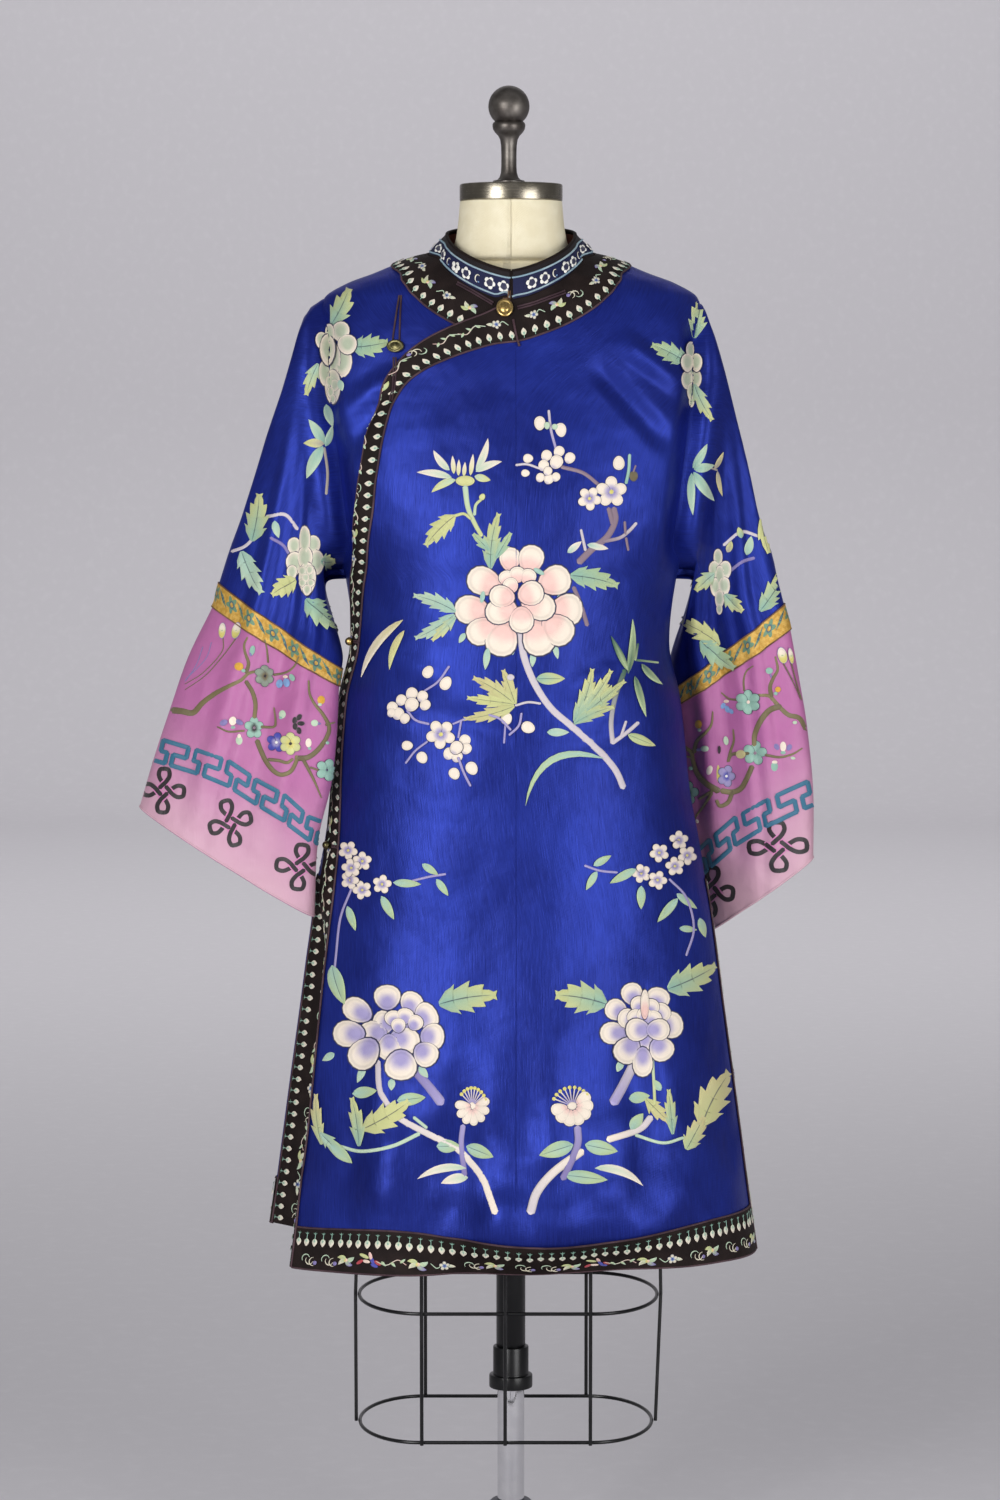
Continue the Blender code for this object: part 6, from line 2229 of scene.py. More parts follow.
class Stitch:
    """The kinds of stitched patches, drawn on a chart whose y runs down."""

    @staticmethod
    def petal(x: float, y: float, long: float, wide: float, turn: float = 0.0, heart: Dye = Dye.CREAM,
              rim: Dye = Dye.CREAM, edge: Dye | None = Dye.NAVY, egg: float = 0.0, reach: float = 0.55,
              bowl: float = 0.0, fine: bool = False) -> Patch:
        """A rounded petal, bud or stamen.

        Args:
            x: its middle.
            y: its middle.
            long: half its length.
            wide: half its width.
            turn: the way it points, in degrees.
            heart: its colour at its base.
            rim: its colour at its rim.
            edge: the colour of the void line round it, or none.
            egg: how much wider it is towards its tip.
            reach: how far out the heart's colour reaches.
            bowl: how much the rim's colour runs all round it instead of at its tip.
            fine: whether it keeps all its rings however small it is.

        Returns:
            The patch.
        """
        sides = 16 if fine or long > 1.2 * SMALL else 10
        rings = np.array([0.0, 0.40, 0.66, 0.80, 0.95, 1.0, 1.06] if edge else [0.0, 0.4, 0.75, 1.0])
        if long < SMALL and not fine:
            rings = rings[[0, 2, -2, -1]]
        angles = np.arange(sides) * 2 * math.pi / sides
        ring, angle = np.meshgrid(rings, angles, indexing="ij")
        along = ring * np.cos(angle) * long
        across = ring * np.sin(angle) * wide * (1 + egg * np.cos(angle))
        way = math.radians(turn)
        spots = np.stack([x + along * math.cos(way) - across * math.sin(way),
                          y + along * math.sin(way) + across * math.cos(way)], axis=-1)
        share = (0.5 + 0.5 * ring * np.cos(angle) + 0.18 * ring**3) * (1 - bowl) + ring * bowl
        colour = blended(heart, rim, (share - reach + 0.12) / 0.24)
        if edge:
            # A painted shadow line inside the rim: the colour of the ring at 0.8 is darkened.
            colour[(ring > 0.79) & (ring < 0.81)] *= 0.84
            colour[ring > 0.97] = edge.linear()
        lift = np.sqrt(np.clip(1.12 - ring, 0, 1)) * 0.7
        lift[ring >= rings[-1]] = -0.4
        return Patch(spots, lift, colour, np.stack([angle, ring * long], axis=-1), closed=True)

    @staticmethod
    def strip(points: list, widths: tuple, base: Dye, tip: Dye | None = None, shade: float = 0.62) -> Patch:
        """A stem or cord along a smooth route.

        Args:
            points: the places that it passes.
            widths: its full widths at its start, its middle and its end.
            base: its colour at its start.
            tip: its colour at its end.
            shade: how dark its edges are, as painted shade on the cord's rounded sides.

        Returns:
            The patch.
        """
        route = along_smooth(points, 7 if len(points) > 2 else 8)
        way = unit(np.gradient(route, axis=0))
        beside = np.stack([-way[:, 1], way[:, 0]], axis=-1)
        length = np.concatenate([[0], np.cumsum(np.linalg.norm(np.diff(route, axis=0), axis=-1))])
        share = length / length[-1]
        half = np.interp(share, (0, 0.5, 1), widths) / 2
        first, last = route[:1] - way[:1] * half[0] * 0.6, route[-1:] + way[-1:] * half[-1] * 0.6
        route = np.concatenate([first, route, last])
        beside = np.concatenate([beside[:1], beside, beside[-1:]])
        half = np.concatenate([half[:1] * 0.25, half, half[-1:] * 0.25])
        share = np.concatenate([[0], share, [1]])
        length = np.concatenate([[0], length, length[-1:]])
        across = np.array([-1.0, -0.55, 0.0, 0.55, 1.0])
        spots = route[:, None] + beside[:, None] * (half[:, None] * across)[..., None]
        colour = blended(base, tip or base, np.repeat(share[:, None], 5, axis=1))
        # Painted shade: the two outer columns are darkened, as if shade fell on the sides of a rounded cord.
        colour = colour * np.array([shade, 1.0, 1.0, 1.0, shade])[None, :, None]
        lift = np.broadcast_to(np.array([-0.4, 0.45, 0.65, 0.45, -0.4]), spots.shape[:2])
        beside_middle = np.broadcast_to(across, spots.shape[:2]) * half[:, None]
        thread = np.stack([beside_middle, np.repeat(length[:, None], 5, axis=1)], axis=-1)
        return Patch(spots, lift, colour, thread)

    @staticmethod
    def leaf(base: tuple, tip: tuple, wide: float, bend: float = 0.0, teeth: int = 0,
             low: Dye = Dye.PALE_TEAL, high: Dye = Dye.GREEN, rib: Dye | None = Dye.NAVY) -> Patch:
        """A leaf or blade.

        Args:
            base: where its stalk joins it.
            tip: its point.
            wide: its full width.
            bend: how far its middle bows aside, as a share of its length.
            teeth: how many teeth or lobes each side has.
            low: its colour at its base.
            high: its colour at its tip and edges.
            rib: the colour of its middle vein, or none.

        Returns:
            The patch.
        """
        start, end = np.array(base, float), np.array(tip, float)
        way = end - start
        length = np.linalg.norm(way)
        aside = np.array([-way[1], way[0]])
        if teeth:
            cuts = [(k + part) / teeth for k in range(teeth) for part in (0.03, 0.4, 0.75, 0.97)]
            places = np.array([0.0, *cuts, 1.0])
            phase = np.array([0.0] + [part for _ in range(teeth) for part in (0.0, 0.4, 0.75, 1.0)] + [0.0])
            notch = 1 - 0.42 * (1 - phase) * (places > 0.12)
        else:
            places = np.linspace(0, 1, 11)
            notch = np.ones(11)
        width = np.sin(math.pi * np.clip(places, 0, 1) ** (0.72 if teeth else 0.80)) ** 0.75 * notch
        width[0], width[-1] = 0.05, 0.02
        if teeth:
            width[-2] = max(width[-2], 0.30)
        middle = start + way * places[:, None] + aside * (bend * 4 * places * (1 - places))[:, None]
        sides = unit(np.gradient(middle, axis=0))
        beside = np.stack([-sides[:, 1], sides[:, 0]], axis=-1)
        across = np.array((-1.0, -0.92, -0.5, -0.07, 0.0, 0.07, 0.5, 0.92, 1.0) if rib
                          else (-1.0, -0.8, -0.4, 0.0, 0.4, 0.8, 1.0))
        half = width[:, None] * wide / 2
        spots = middle[:, None] + beside[:, None] * (half * across)[..., None]
        if teeth:
            forward = np.abs(across)[None, :] * 0.10 * length
            lean = (phase > 0)[:, None] * forward * width[:, None]
            spots = spots + sides[:, None] * lean[..., None]
        mixed = places[:, None] * 1.05 + np.abs(across)[None, :] * 0.45 - 0.12
        colour = blended(low, high, mixed)
        if rib:
            vein = (across == 0)[None, :] & (places < 0.9)[:, None]
            colour[vein] = rib.linear()
        profile = np.where(np.abs(across) >= 1, -0.4, np.where(across == 0, 0.25 if rib else 0.6, 0.55))
        lift = np.broadcast_to(profile, spots.shape[:2])
        along = np.repeat((places * length)[:, None], len(across), axis=1) - np.abs(across) * wide * 0.5
        return Patch(spots, lift.copy(), colour, np.stack([half * across, along], axis=-1))


@dataclass
class Chart:
    """Patches drawn in one flat frame, in units that are scaled to the ground's own."""

    origin: tuple[float, float]
    scale: float
    patches: list[Patch] = field(default_factory=list)

    def add(self, *patches: Patch) -> None:
        """Lay patches over those before them."""
        self.patches.extend(patches)

    def blossom(self, x: float, y: float, radius: float, tone: Dye = Dye.CREAM, heart: Dye = Dye.MINT,
                petals: int = 5, turn: float = -90.0, flat: float = 1.0, centre: Dye = Dye.YELLOW) -> None:
        """A small round-petalled blossom seen from the front.

        Args:
            x: its middle.
            y: its middle.
            radius: its radius.
            tone: the colour of its rims.
            heart: the colour of its petals' bases.
            petals: how many petals it has.
            turn: where its first petal points, in degrees.
            flat: its width over its height.
            centre: the colour of its middle.
        """
        for number in range(petals):
            way = turn + 360 / petals * number
            at = math.radians(way)
            place = (x + math.cos(at) * radius * 0.56 * flat, y + math.sin(at) * radius * 0.56)
            long, wide = radius * 0.46, radius * 0.38
            self.add(Stitch.petal(*place, long, wide, way, heart, tone, egg=0.1, reach=0.35))
        self.add(Stitch.petal(x, y, radius * 0.15, radius * 0.15, 0, centre, centre, None))

    def sewn(self, spots: np.ndarray) -> np.ndarray:
        """The spots in the ground's own frame."""
        return np.array(self.origin) + spots / self.scale


class Sight:
    """Ground that is found by looking through a place of the picture, from its camera or from behind."""

    focal = 3966.0  # in pixels of the picture, as its middle is
    middle = (500, 750)
    reach = 12.0
    unit = 0.00109  # metres to a pixel, on the robe

    def __init__(self, cloths: list, hiding: list, place: tuple, pitch: float, behind: bool) -> None:
        """Gather the cloth that can be seen.

        Args:
            cloths: its outer surfaces, as (cloth, lift) pairs, closed ones with their first column repeated.
            hiding: surfaces that may lie before them.
            place: where the camera stands.
            pitch: how far it looks down, in degrees.
            behind: whether to look from the other side.
        """
        verts, faces, count, self.faces = [], [], 0, 0
        for order, (cloth, lift) in enumerate([*cloths, *hiding]):
            points = cloth.points + cloth.out * lift
            rows, columns = points.shape[:2]
            number = np.arange(rows * columns).reshape(rows, columns) + count
            quads = cells_of(number)
            verts.append(points.reshape(-1, 3))
            faces.append(quads)
            count += rows * columns
            self.faces += len(quads) * (order < len(cloths))
        self.tree = BVHTree.FromPolygons(np.concatenate(verts).tolist(), np.concatenate(faces).tolist())
        self.behind = behind
        self.eye = np.array(place) * ((1, -1, 1) if behind else (1, 1, 1))
        self.tilt = math.radians(pitch)

    def place(self, spots: np.ndarray) -> tuple[np.ndarray, np.ndarray, np.ndarray]:
        """Find the ground at places of the picture.

        Args:
            spots: x and y in the picture's pixels.

        Returns:
            The points, the directions out of the ground there, and whether each was found.
        """
        a, b = (spots[:, 0] - self.middle[0]) / self.focal, (self.middle[1] - spots[:, 1]) / self.focal
        c, s = math.cos(self.tilt), math.sin(self.tilt)
        ways = np.stack([a, c + b * s, -s + b * c], axis=-1)
        if self.behind:
            ways = ways * (1, -1, 1)
        eye = Vector(self.eye)
        points, out, found = np.zeros((len(spots), 3)), np.zeros((len(spots), 3)), np.zeros(len(spots), bool)
        for number, way in enumerate(ways):
            point, normal, face, _ = self.tree.ray_cast(eye, Vector(way).normalized(), self.reach)
            if point is not None and face < self.faces:
                normal = normal if normal.dot(Vector(way)) < 0 else -normal
                points[number], out[number], found[number] = point, normal, True
        return points, out, found


class Band:
    """Ground along a trim: metres along it and metres across from the edge next to the cloth's field."""

    unit = 1.0

    def __init__(self, lines: Cloth, field_first: bool, lift: float) -> None:
        """Measure the band.

        Args:
            lines: its middle surface, with rows that run along it.
            field_first: whether the first row is the one next to the field.
            lift: how far its outer side lies from its middle.
        """
        points, out = lines.points + lines.out * lift, lines.out
        if not field_first:
            points, out = points[::-1], out[::-1]
        self.points, self.out = points, out
        middle = points[len(points) // 2]
        self.along = np.concatenate([[0], np.cumsum(np.linalg.norm(np.diff(middle, axis=0), axis=-1))])
        self.width = np.linalg.norm(points[-1] - points[0], axis=-1)
        self.length = float(self.along[-1])

    def place(self, spots: np.ndarray) -> tuple[np.ndarray, np.ndarray, np.ndarray]:
        """Find the ground.

        Args:
            spots: metres along and across.

        Returns:
            The points, the directions out of the ground there, and whether each lies on the band.
        """
        along, across = spots[:, 0], spots[:, 1]
        column = np.interp(along, self.along, np.arange(len(self.along)))
        width = np.interp(along, self.along, self.width)
        row = np.clip(across / width, 0, 1) * (len(self.points) - 1)
        i = np.clip(column.astype(int), 0, self.points.shape[1] - 2)
        j = np.clip(row.astype(int), 0, len(self.points) - 2)
        u, v = (column - i)[:, None], (row - j)[:, None]
        both = []
        for grid in (self.points, self.out):
            near = grid[j, i] * (1 - u) + grid[j, i + 1] * u
            far = grid[j + 1, i] * (1 - u) + grid[j + 1, i + 1] * u
            both.append(near * (1 - v) + far * v)
        inside = (along >= 0) & (along <= self.length) & (across >= 0) & (across <= width)
        return both[0], unit(both[1]), inside


@dataclass
class Needle:
    """Sews the patches of charts onto their ground, as one piece of embroidery."""

    name: str
    finishes: Finishes
    slot: str
    pad: float = 0.00040
    layer: float = 0.00007
    longest: float = 0.028  # the side from which a face is a tear across a gap, and is left out
    levels: int = 24  # how many patches lie over each other before their heights start again

    def sew(self, jobs: list) -> bpy.types.Object:
        """Sew charts onto ground.

        Args:
            jobs: (ground, chart) pairs.

        Returns:
            The embroidery.
        """
        verts, faces, dyes, threads, count = [], [], [], [], 0
        for ground, chart in jobs:
            grids = [patch.spots.reshape(-1, 2) for patch in chart.patches]
            points, out, found = ground.place(chart.sewn(np.concatenate(grids)))
            start = 0
            for order, patch in enumerate(chart.patches):
                rows, columns = patch.spots.shape[:2]
                part = slice(start, start + rows * columns)
                start += rows * columns
                level = self.layer * (1 + (order % self.levels if patch.rank is None else patch.rank))
                lift = patch.lift.reshape(-1) * self.pad + level
                placed = points[part] + out[part] * lift[:, None]
                number = np.arange(rows * columns).reshape(rows, columns)
                if patch.closed:
                    number = np.concatenate([number, number[:, :1]], axis=1)
                quads = cells_of(number)
                corners = placed[quads]
                sides = np.linalg.norm(corners - np.roll(corners, 1, axis=1), axis=-1).max(axis=1)
                good = found[part][quads].all(axis=1) & (sides < self.longest)
                quads, corners = quads[good], corners[good]
                if not len(quads):
                    continue
                facing = np.cross(corners[:, 2] - corners[:, 0], corners[:, 3] - corners[:, 1])
                if (facing * out[part][quads[:, 0]]).sum() < 0:
                    quads = quads[:, ::-1]
                verts.append(placed)
                faces.append(quads + count)
                dyes.append(patch.dye.reshape(-1, 3))
                threads.append(patch.thread.reshape(-1, 2) * (ground.unit / chart.scale))
                count += rows * columns
        every = np.concatenate(faces)
        mesh = bpy.data.meshes.new(self.name)
        mesh.from_pydata(np.concatenate(verts).tolist(), [], every.tolist())
        colour = np.concatenate([np.concatenate(dyes), np.ones((count, 1))], axis=1)
        floss = mesh.color_attributes.new("floss", "FLOAT_COLOR", "POINT")
        floss.data.foreach_set("color", colour.ravel().astype(np.float32))
        uv = np.concatenate(threads)[every.ravel()]
        mesh.uv_layers.new(name="UVMap").data.foreach_set("uv", uv.ravel().astype(np.float32))
        self.tidy(mesh)
        return add_piece(self.name, mesh, self.finishes.floss, self.slot, 80)

    @staticmethod
    def tidy(mesh: bpy.types.Mesh) -> None:
        """Drop the points that no face uses, and merge those at the hearts of petals."""
        work = bmesh.new()
        work.from_mesh(mesh)
        loose = [vert for vert in work.verts if not vert.link_faces]
        bmesh.ops.delete(work, geom=loose, context="VERTS")
        bmesh.ops.remove_doubles(work, verts=work.verts, dist=0.000002)
        work.to_mesh(mesh)
        work.free()


class Front:
    """The embroidery of the outer front, charted in two fields."""

    CREAM_ROSE = {"heart": Dye.ROSE, "rim": Dye.CREAM}
    LILAC_ROSE = {"heart": Dye.LILAC, "rim": Dye.CREAM, "bowl": 0.3, "reach": 0.52}

    @classmethod
    def upper(cls) -> Chart:
        """The large flower at the chest with its branches, plum blossom and leaves."""
        chart = Chart((350, 400), 3.733)
        branches = [
            ([(637, 870), (650, 960), (690, 1060), (750, 1150), (830, 1220), (930, 1310), (990, 1380),
              (1020, 1445)], 30, 27, Dye.MAUVE, Dye.MAUVE),
            ([(430, 325), (440, 400), (465, 460), (490, 505)], 22, 16, Dye.MINT, Dye.LEAF),
            ([(742, 40), (750, 110), (768, 180)], 10, 10, Dye.MAUVE, Dye.LILAC),
            ([(790, 250), (870, 272), (930, 318)], 14, 14, Dye.PLUM, Dye.PLUM),
            ([(985, 405), (990, 450), (960, 510), (900, 560), (855, 605)], 22, 26, Dye.PLUM, Dye.PLUM),
            ([(965, 405), (980, 460)], 16, 18, Dye.PLUM, Dye.PLUM),
            ([(835, 700), (860, 760), (885, 840)], 16, 16, Dye.PLUM, Dye.PLUM),
            ([(945, 528), (1005, 515), (1040, 490), (1068, 460)], 14, 12, Dye.PLUM, Dye.MAUVE),
            ([(1025, 455), (1028, 500)], 10, 10, Dye.PLUM, Dye.PLUM),
            ([(1030, 515), (1038, 560)], 10, 9, Dye.PLUM, Dye.PLUM),
            ([(862, 485), (878, 560)], 10, 12, Dye.MAUVE, Dye.MAUVE),
            ([(1043, 205), (1040, 260), (1030, 310)], 12, 12, Dye.PALE_TEAL, Dye.TEAL),
            ([(620, 243), (660, 240), (705, 255)], 9, 9, Dye.MAUVE, Dye.MAUVE),
            ([(465, 428), (470, 392), (492, 370)], 12, 10, Dye.MINT, Dye.LEAF),
            ([(450, 443), (425, 425), (392, 432)], 10, 12, Dye.LEAF, Dye.LEAF),
            ([(370, 995), (330, 1050), (280, 1085)], 9, 8, Dye.LILAC, Dye.LILAC),
            ([(215, 1160), (245, 1195), (295, 1210)], 9, 9, Dye.LILAC, Dye.LILAC),
            ([(385, 1210), (430, 1190)], 8, 8, Dye.LILAC, Dye.LILAC),
            ([(405, 1260), (415, 1200)], 8, 8, Dye.LILAC, Dye.LILAC),
            ([(290, 1275), (245, 1310), (210, 1355)], 8, 8, Dye.LILAC, Dye.LILAC),
            ([(405, 1335), (425, 1390), (450, 1440)], 10, 9, Dye.LILAC, Dye.LILAC),
            ([(618, 1140), (665, 1128), (710, 1133)], 9, 9, Dye.MAUVE, Dye.MAUVE),
            ([(520, 1175), (560, 1190), (600, 1230)], 9, 9, Dye.LILAC, Dye.LILAC),
            ([(640, 1170), (630, 1215), (595, 1250)], 9, 9, Dye.LILAC, Dye.LILAC),
            ([(580, 1210), (575, 1280)], 8, 8, Dye.LILAC, Dye.LILAC),
            ([(1065, 970), (1150, 980)], 9, 8, Dye.DARK_GREEN, Dye.GREEN),
            ([(1075, 910), (1065, 970)], 9, 9, Dye.DARK_GREEN, Dye.GREEN),
            ([(1025, 1010), (990, 1110), (975, 1200), (980, 1280)], 18, 18, Dye.DARK_GREEN, Dye.MAUVE),
            ([(980, 1280), (1035, 1240), (1075, 1205)], 16, 14, Dye.MAUVE, Dye.MAUVE),
            ([(1010, 1260), (1030, 1200)], 11, 10, Dye.MAUVE, Dye.MAUVE),
            ([(1058, 268), (1066, 245)], 7, 7, Dye.PLUM, Dye.PLUM),
        ]
        for route, first, last, base, tip in branches:
            chart.add(Stitch.strip(route, (first, (first + last) / 2, last), base, tip))
        blades = [
            ((380, 290), (250, 270), 28, 0.05, Dye.MINT, Dye.CREAM),
            ((372, 262), (312, 188), 28, -0.06, Dye.MINT, Dye.CREAM),
            ((395, 298), (305, 345), 28, 0.08, Dye.MINT, Dye.LIME),
            ((470, 262), (515, 143), 28, 0.06, Dye.MINT, Dye.CREAM),
            ((470, 268), (567, 230), 28, -0.06, Dye.MINT, Dye.CREAM),
            ((465, 285), (525, 300), 28, 0.0, Dye.MINT, Dye.LIME),
            ((388, 276), (383, 208), 18, 0.0, Dye.LIME, Dye.CREAM),
            ((405, 283), (407, 222), 16, 0.0, Dye.LIME, Dye.CREAM),
            ((425, 285), (430, 232), 16, 0.0, Dye.LIME, Dye.CREAM),
            ((450, 282), (460, 202), 18, 0.0, Dye.LIME, Dye.CREAM),
            ((200, 820), (45, 1035), 30, 0.10, Dye.OLIVE, Dye.CREAM),
            ((205, 860), (150, 1005), 26, 0.08, Dye.OLIVE, Dye.LIME),
            ((945, 1338), (655, 1515), 26, 0.28, Dye.PALE_TEAL, Dye.GREEN),
            ((1035, 1010), (972, 880), 24, 0.0, Dye.GREEN, Dye.DARK_GREEN),
            ((1035, 1020), (1052, 818), 26, 0.04, Dye.DARK_GREEN, Dye.GREEN),
            ((1060, 1030), (1102, 1182), 26, 0.0, Dye.DARK_GREEN, Dye.GREEN),
            ((1085, 985), (1162, 1062), 26, 0.05, Dye.DARK_GREEN, Dye.GREEN),
        ]
        for base, tip, wide, bend, low, high in blades:
            chart.add(Stitch.leaf(base, tip, wide, bend, 0, low, high, None))
        chart.add(Stitch.petal(430, 302, 36, 20, 0, Dye.LIME, Dye.LIME))
        leaves = [
            ((392, 432), (283, 543), 82, 0.04, 4, Dye.LIME, Dye.LEAF),
            ((525, 630), (555, 425), 70, -0.05, 4, Dye.TEAL, Dye.LEAF),
            ((520, 560), (460, 500), 44, 0.0, 2, Dye.TEAL, Dye.GREEN),
            ((545, 590), (600, 496), 46, 0.0, 2, Dye.TEAL, Dye.GREEN),
            ((812, 570), (864, 528), 26, 0.0, 0, Dye.PALE_TEAL, Dye.CREAM),
            ((885, 540), (964, 555), 26, 0.0, 0, Dye.PALE_TEAL, Dye.CREAM),
            ((822, 655), (998, 692), 92, -0.04, 4, Dye.TEAL, Dye.GREEN),
            ((395, 790), (240, 730), 66, 0.05, 4, Dye.PALE_TEAL, Dye.MINT),
            ((390, 800), (246, 888), 62, -0.05, 4, Dye.PALE_TEAL, Dye.MINT),
            ((395, 810), (308, 897), 48, 0.0, 3, Dye.PALE_TEAL, Dye.LIME),
            ((618, 1135), (572, 1008), 56, 0.0, 3, Dye.LEAF, Dye.OLIVE),
            ((610, 1130), (462, 1038), 66, 0.04, 4, Dye.LEAF, Dye.OLIVE),
            ((612, 1135), (440, 1112), 56, 0.0, 4, Dye.LEAF, Dye.LIME),
            ((614, 1142), (428, 1190), 58, -0.04, 4, Dye.LEAF, Dye.OLIVE),
            ((695, 1040), (802, 1040), 45, 0.0, 0, Dye.TEAL, Dye.LEAF),
            ((735, 1240), (817, 1240), 30, 0.0, 0, Dye.PALE_TEAL, Dye.MINT),
            ((835, 1200), (903, 1006), 64, 0.05, 4, Dye.TEAL, Dye.LIME),
            ((845, 1190), (972, 1012), 62, 0.03, 4, Dye.TEAL, Dye.LIME),
            ((845, 1195), (1022, 1050), 62, 0.0, 4, Dye.TEAL, Dye.LEAF),
            ((835, 1208), (982, 1146), 56, -0.05, 3, Dye.TEAL, Dye.LEAF),
            ((1035, 1250), (1137, 1291), 36, 0.0, 0, Dye.GREEN, Dye.LEAF),
            ((430, 870), (408, 907), 22, 0.0, 0, Dye.PALE_TEAL, Dye.MINT),
            ((515, 925), (505, 1007), 26, 0.0, 0, Dye.PALE_TEAL, Dye.MINT),
            ((608, 905), (608, 952), 20, 0.0, 0, Dye.PALE_TEAL, Dye.MINT),
            ((685, 940), (680, 997), 24, 0.0, 0, Dye.PALE_TEAL, Dye.MINT),
            ((763, 910), (776, 967), 22, 0.0, 0, Dye.PALE_TEAL, Dye.MINT),
        ]
        for base, tip, wide, bend, teeth, low, high in leaves:
            chart.add(Stitch.leaf(base, tip, wide, bend, teeth, low, high, Dye.NAVY if wide > 30 else None))
        petals = [
            (597, 595, 42, 32, -90), (675, 597, 52, 38, -75), (503, 678, 62, 43, 200),
            (762, 675, 58, 45, -20),
            (455, 782, 60, 43, 180), (808, 782, 56, 48, 0), (495, 860, 58, 40, 150), (567, 890, 62, 48, 105),
            (702, 885, 65, 48, 75), (773, 855, 60, 46, 40),
        ]
        for x, y, long, wide, turn in petals:
            chart.add(Stitch.petal(x, y, long * 1.10, wide * 1.24, turn, egg=0.20, **cls.CREAM_ROSE))
        inner = [
            (585, 665, 27, 26, -110), (625, 652, 28, 26, -90), (665, 660, 28, 26, -70),
            (600, 692, 27, 25, -120), (702, 768, 60, 45, 20),
            (565, 787, 55, 42, 165), (640, 820, 46, 40, 90), (568, 733, 44, 36, 190),
            (674, 722, 45, 40, -20),
        ]
        for x, y, long, wide, turn in inner:
            chart.add(Stitch.petal(x, y, long * 1.10, wide * 1.15, turn, egg=0.12, **cls.CREAM_ROSE))
        for x, y, turn in ((705, 640, -60), (495, 735, 190), (530, 860, 120), (722, 852, 60),
                           (782, 727, -10), (640, 835, 90)):
            chart.add(Stitch.petal(x, y, 22, 9, turn + 90, Dye.PALE_TEAL, Dye.PALE_TEAL, None))
        chart.add(Stitch.strip([(612, 640), (606, 700), (618, 760), (617, 800)], (3, 5, 3), Dye.NAVY))
        small = [
            (780, 193, 22), (820, 217, 22), (733, 208, 22), (770, 232, 27), (722, 245, 22), (710, 290, 18),
            (742, 296, 20), (768, 288, 18),
            (738, 266, 18), (193, 1120, 22), (232, 1096, 24), (272, 1106, 22), (282, 1138, 22),
            (232, 1137, 28), (160, 1147, 22),
            (182, 1172, 24), (158, 1168, 18), (207, 1190, 20), (398, 1298, 26), (428, 1272, 24),
            (370, 1320, 24), (400, 1332, 22), (434, 1302, 22),
        ]
        for x, y, radius in small:
            chart.add(Stitch.petal(x, y, radius, radius * 0.9, -60, Dye.LILAC, Dye.CREAM, egg=0.1,
                                   reach=0.2))
        chart.blossom(975, 343, 58, Dye.CREAM, Dye.LILAC)
        chart.blossom(893, 368, 44, Dye.CREAM, Dye.LILAC, turn=-60)
        chart.blossom(340, 1248, 54, Dye.CREAM, Dye.LILAC, turn=-50)
        buds = [
            (708, 88, 27, 21, 90, Dye.CREAM), (735, 97, 14, 11, 90, Dye.MINT),
            (787, 112, 27, 21, 80, Dye.CREAM), (765, 100, 12, 11, 0, Dye.MINT),
            (665, 218, 19, 17, 0, Dye.CREAM), (655, 273, 16, 14, 0, Dye.CREAM),
            (1003, 235, 27, 22, -90, Dye.CREAM), (1058, 285, 19, 16, 90, Dye.BARK),
            (292, 1015, 24, 20, -60, Dye.CREAM), (358, 1057, 27, 21, -60, Dye.CREAM),
            (215, 1290, 21, 18, 0, Dye.CREAM), (270, 1335, 23, 20, 60, Dye.CREAM),
            (390, 1395, 23, 20, 60, Dye.CREAM), (455, 1375, 26, 22, 60, Dye.CREAM),
            (585, 1190, 23, 20, -60, Dye.CREAM), (665, 1222, 26, 22, 20, Dye.CREAM),
            (600, 1035, 14, 12, 0, Dye.MAUVE), (494, 362, 13, 11, -60, Dye.LIME),
        ]
        for x, y, long, wide, turn, dye in buds:
            heart = Dye.LILAC if dye is Dye.CREAM else dye
            chart.add(Stitch.petal(x, y, long, wide, turn, heart, dye, egg=-0.12, reach=0.1))
        return chart

    @classmethod
    def lower(cls) -> Chart:
        """The two large flowers of the skirt with their leaves, wheels and small blossoms."""
        chart = Chart((250, 820), 2.958)
        branches = [
            ([(378, 715), (382, 790), (400, 830), (440, 880), (500, 915), (560, 945), (610, 970),
              (650, 1010), (690, 1065), (725, 1160)], 18, 24, Dye.MAUVE, Dye.CREAM),
            ([(490, 745), (530, 790), (565, 835)], 26, 30, Dye.PURPLE, Dye.LILAC),
            ([(265, 965), (330, 980), (420, 965), (500, 928)], 10, 12, Dye.MINT, Dye.MINT),
            ([(485, 880), (522, 910)], 10, 10, Dye.MINT, Dye.MINT),
            ([(630, 905), (625, 960), (635, 1050)], 16, 16, Dye.LILAC, Dye.PURPLE),
            ([(480, 180), (530, 168), (578, 160)], 7, 7, Dye.LILAC, Dye.LILAC),
            ([(300, 205), (268, 290), (255, 400), (250, 450)], 7, 7, Dye.LILAC, Dye.LILAC),
            ([(990, 135), (1035, 150), (1085, 155)], 7, 7, Dye.LILAC, Dye.LILAC),
            ([(1240, 175), (1290, 230), (1312, 320), (1290, 400)], 7, 7, Dye.LILAC, Dye.LILAC),
            ([(1190, 700), (1195, 790), (1197, 840)], 9, 9, Dye.MINT, Dye.LEAF),
            ([(1185, 880), (1150, 915), (1060, 945)], 20, 20, Dye.MAUVE, Dye.CREAM),
            ([(980, 980), (900, 1040), (850, 1100), (830, 1160)], 24, 26, Dye.CREAM, Dye.MAUVE),
            ([(1135, 720), (1100, 790), (1075, 835)], 28, 30, Dye.MAUVE, Dye.LILAC),
            ([(1140, 932), (1220, 955), (1280, 940)], 10, 9, Dye.MINT, Dye.MINT),
            ([(968, 910), (968, 960), (940, 1030), (925, 1060)], 22, 20, Dye.LILAC, Dye.PURPLE),
        ]
        for route, first, last, base, tip in branches:
            chart.add(Stitch.strip(route, (first, (first + last) / 2, last), base, tip))
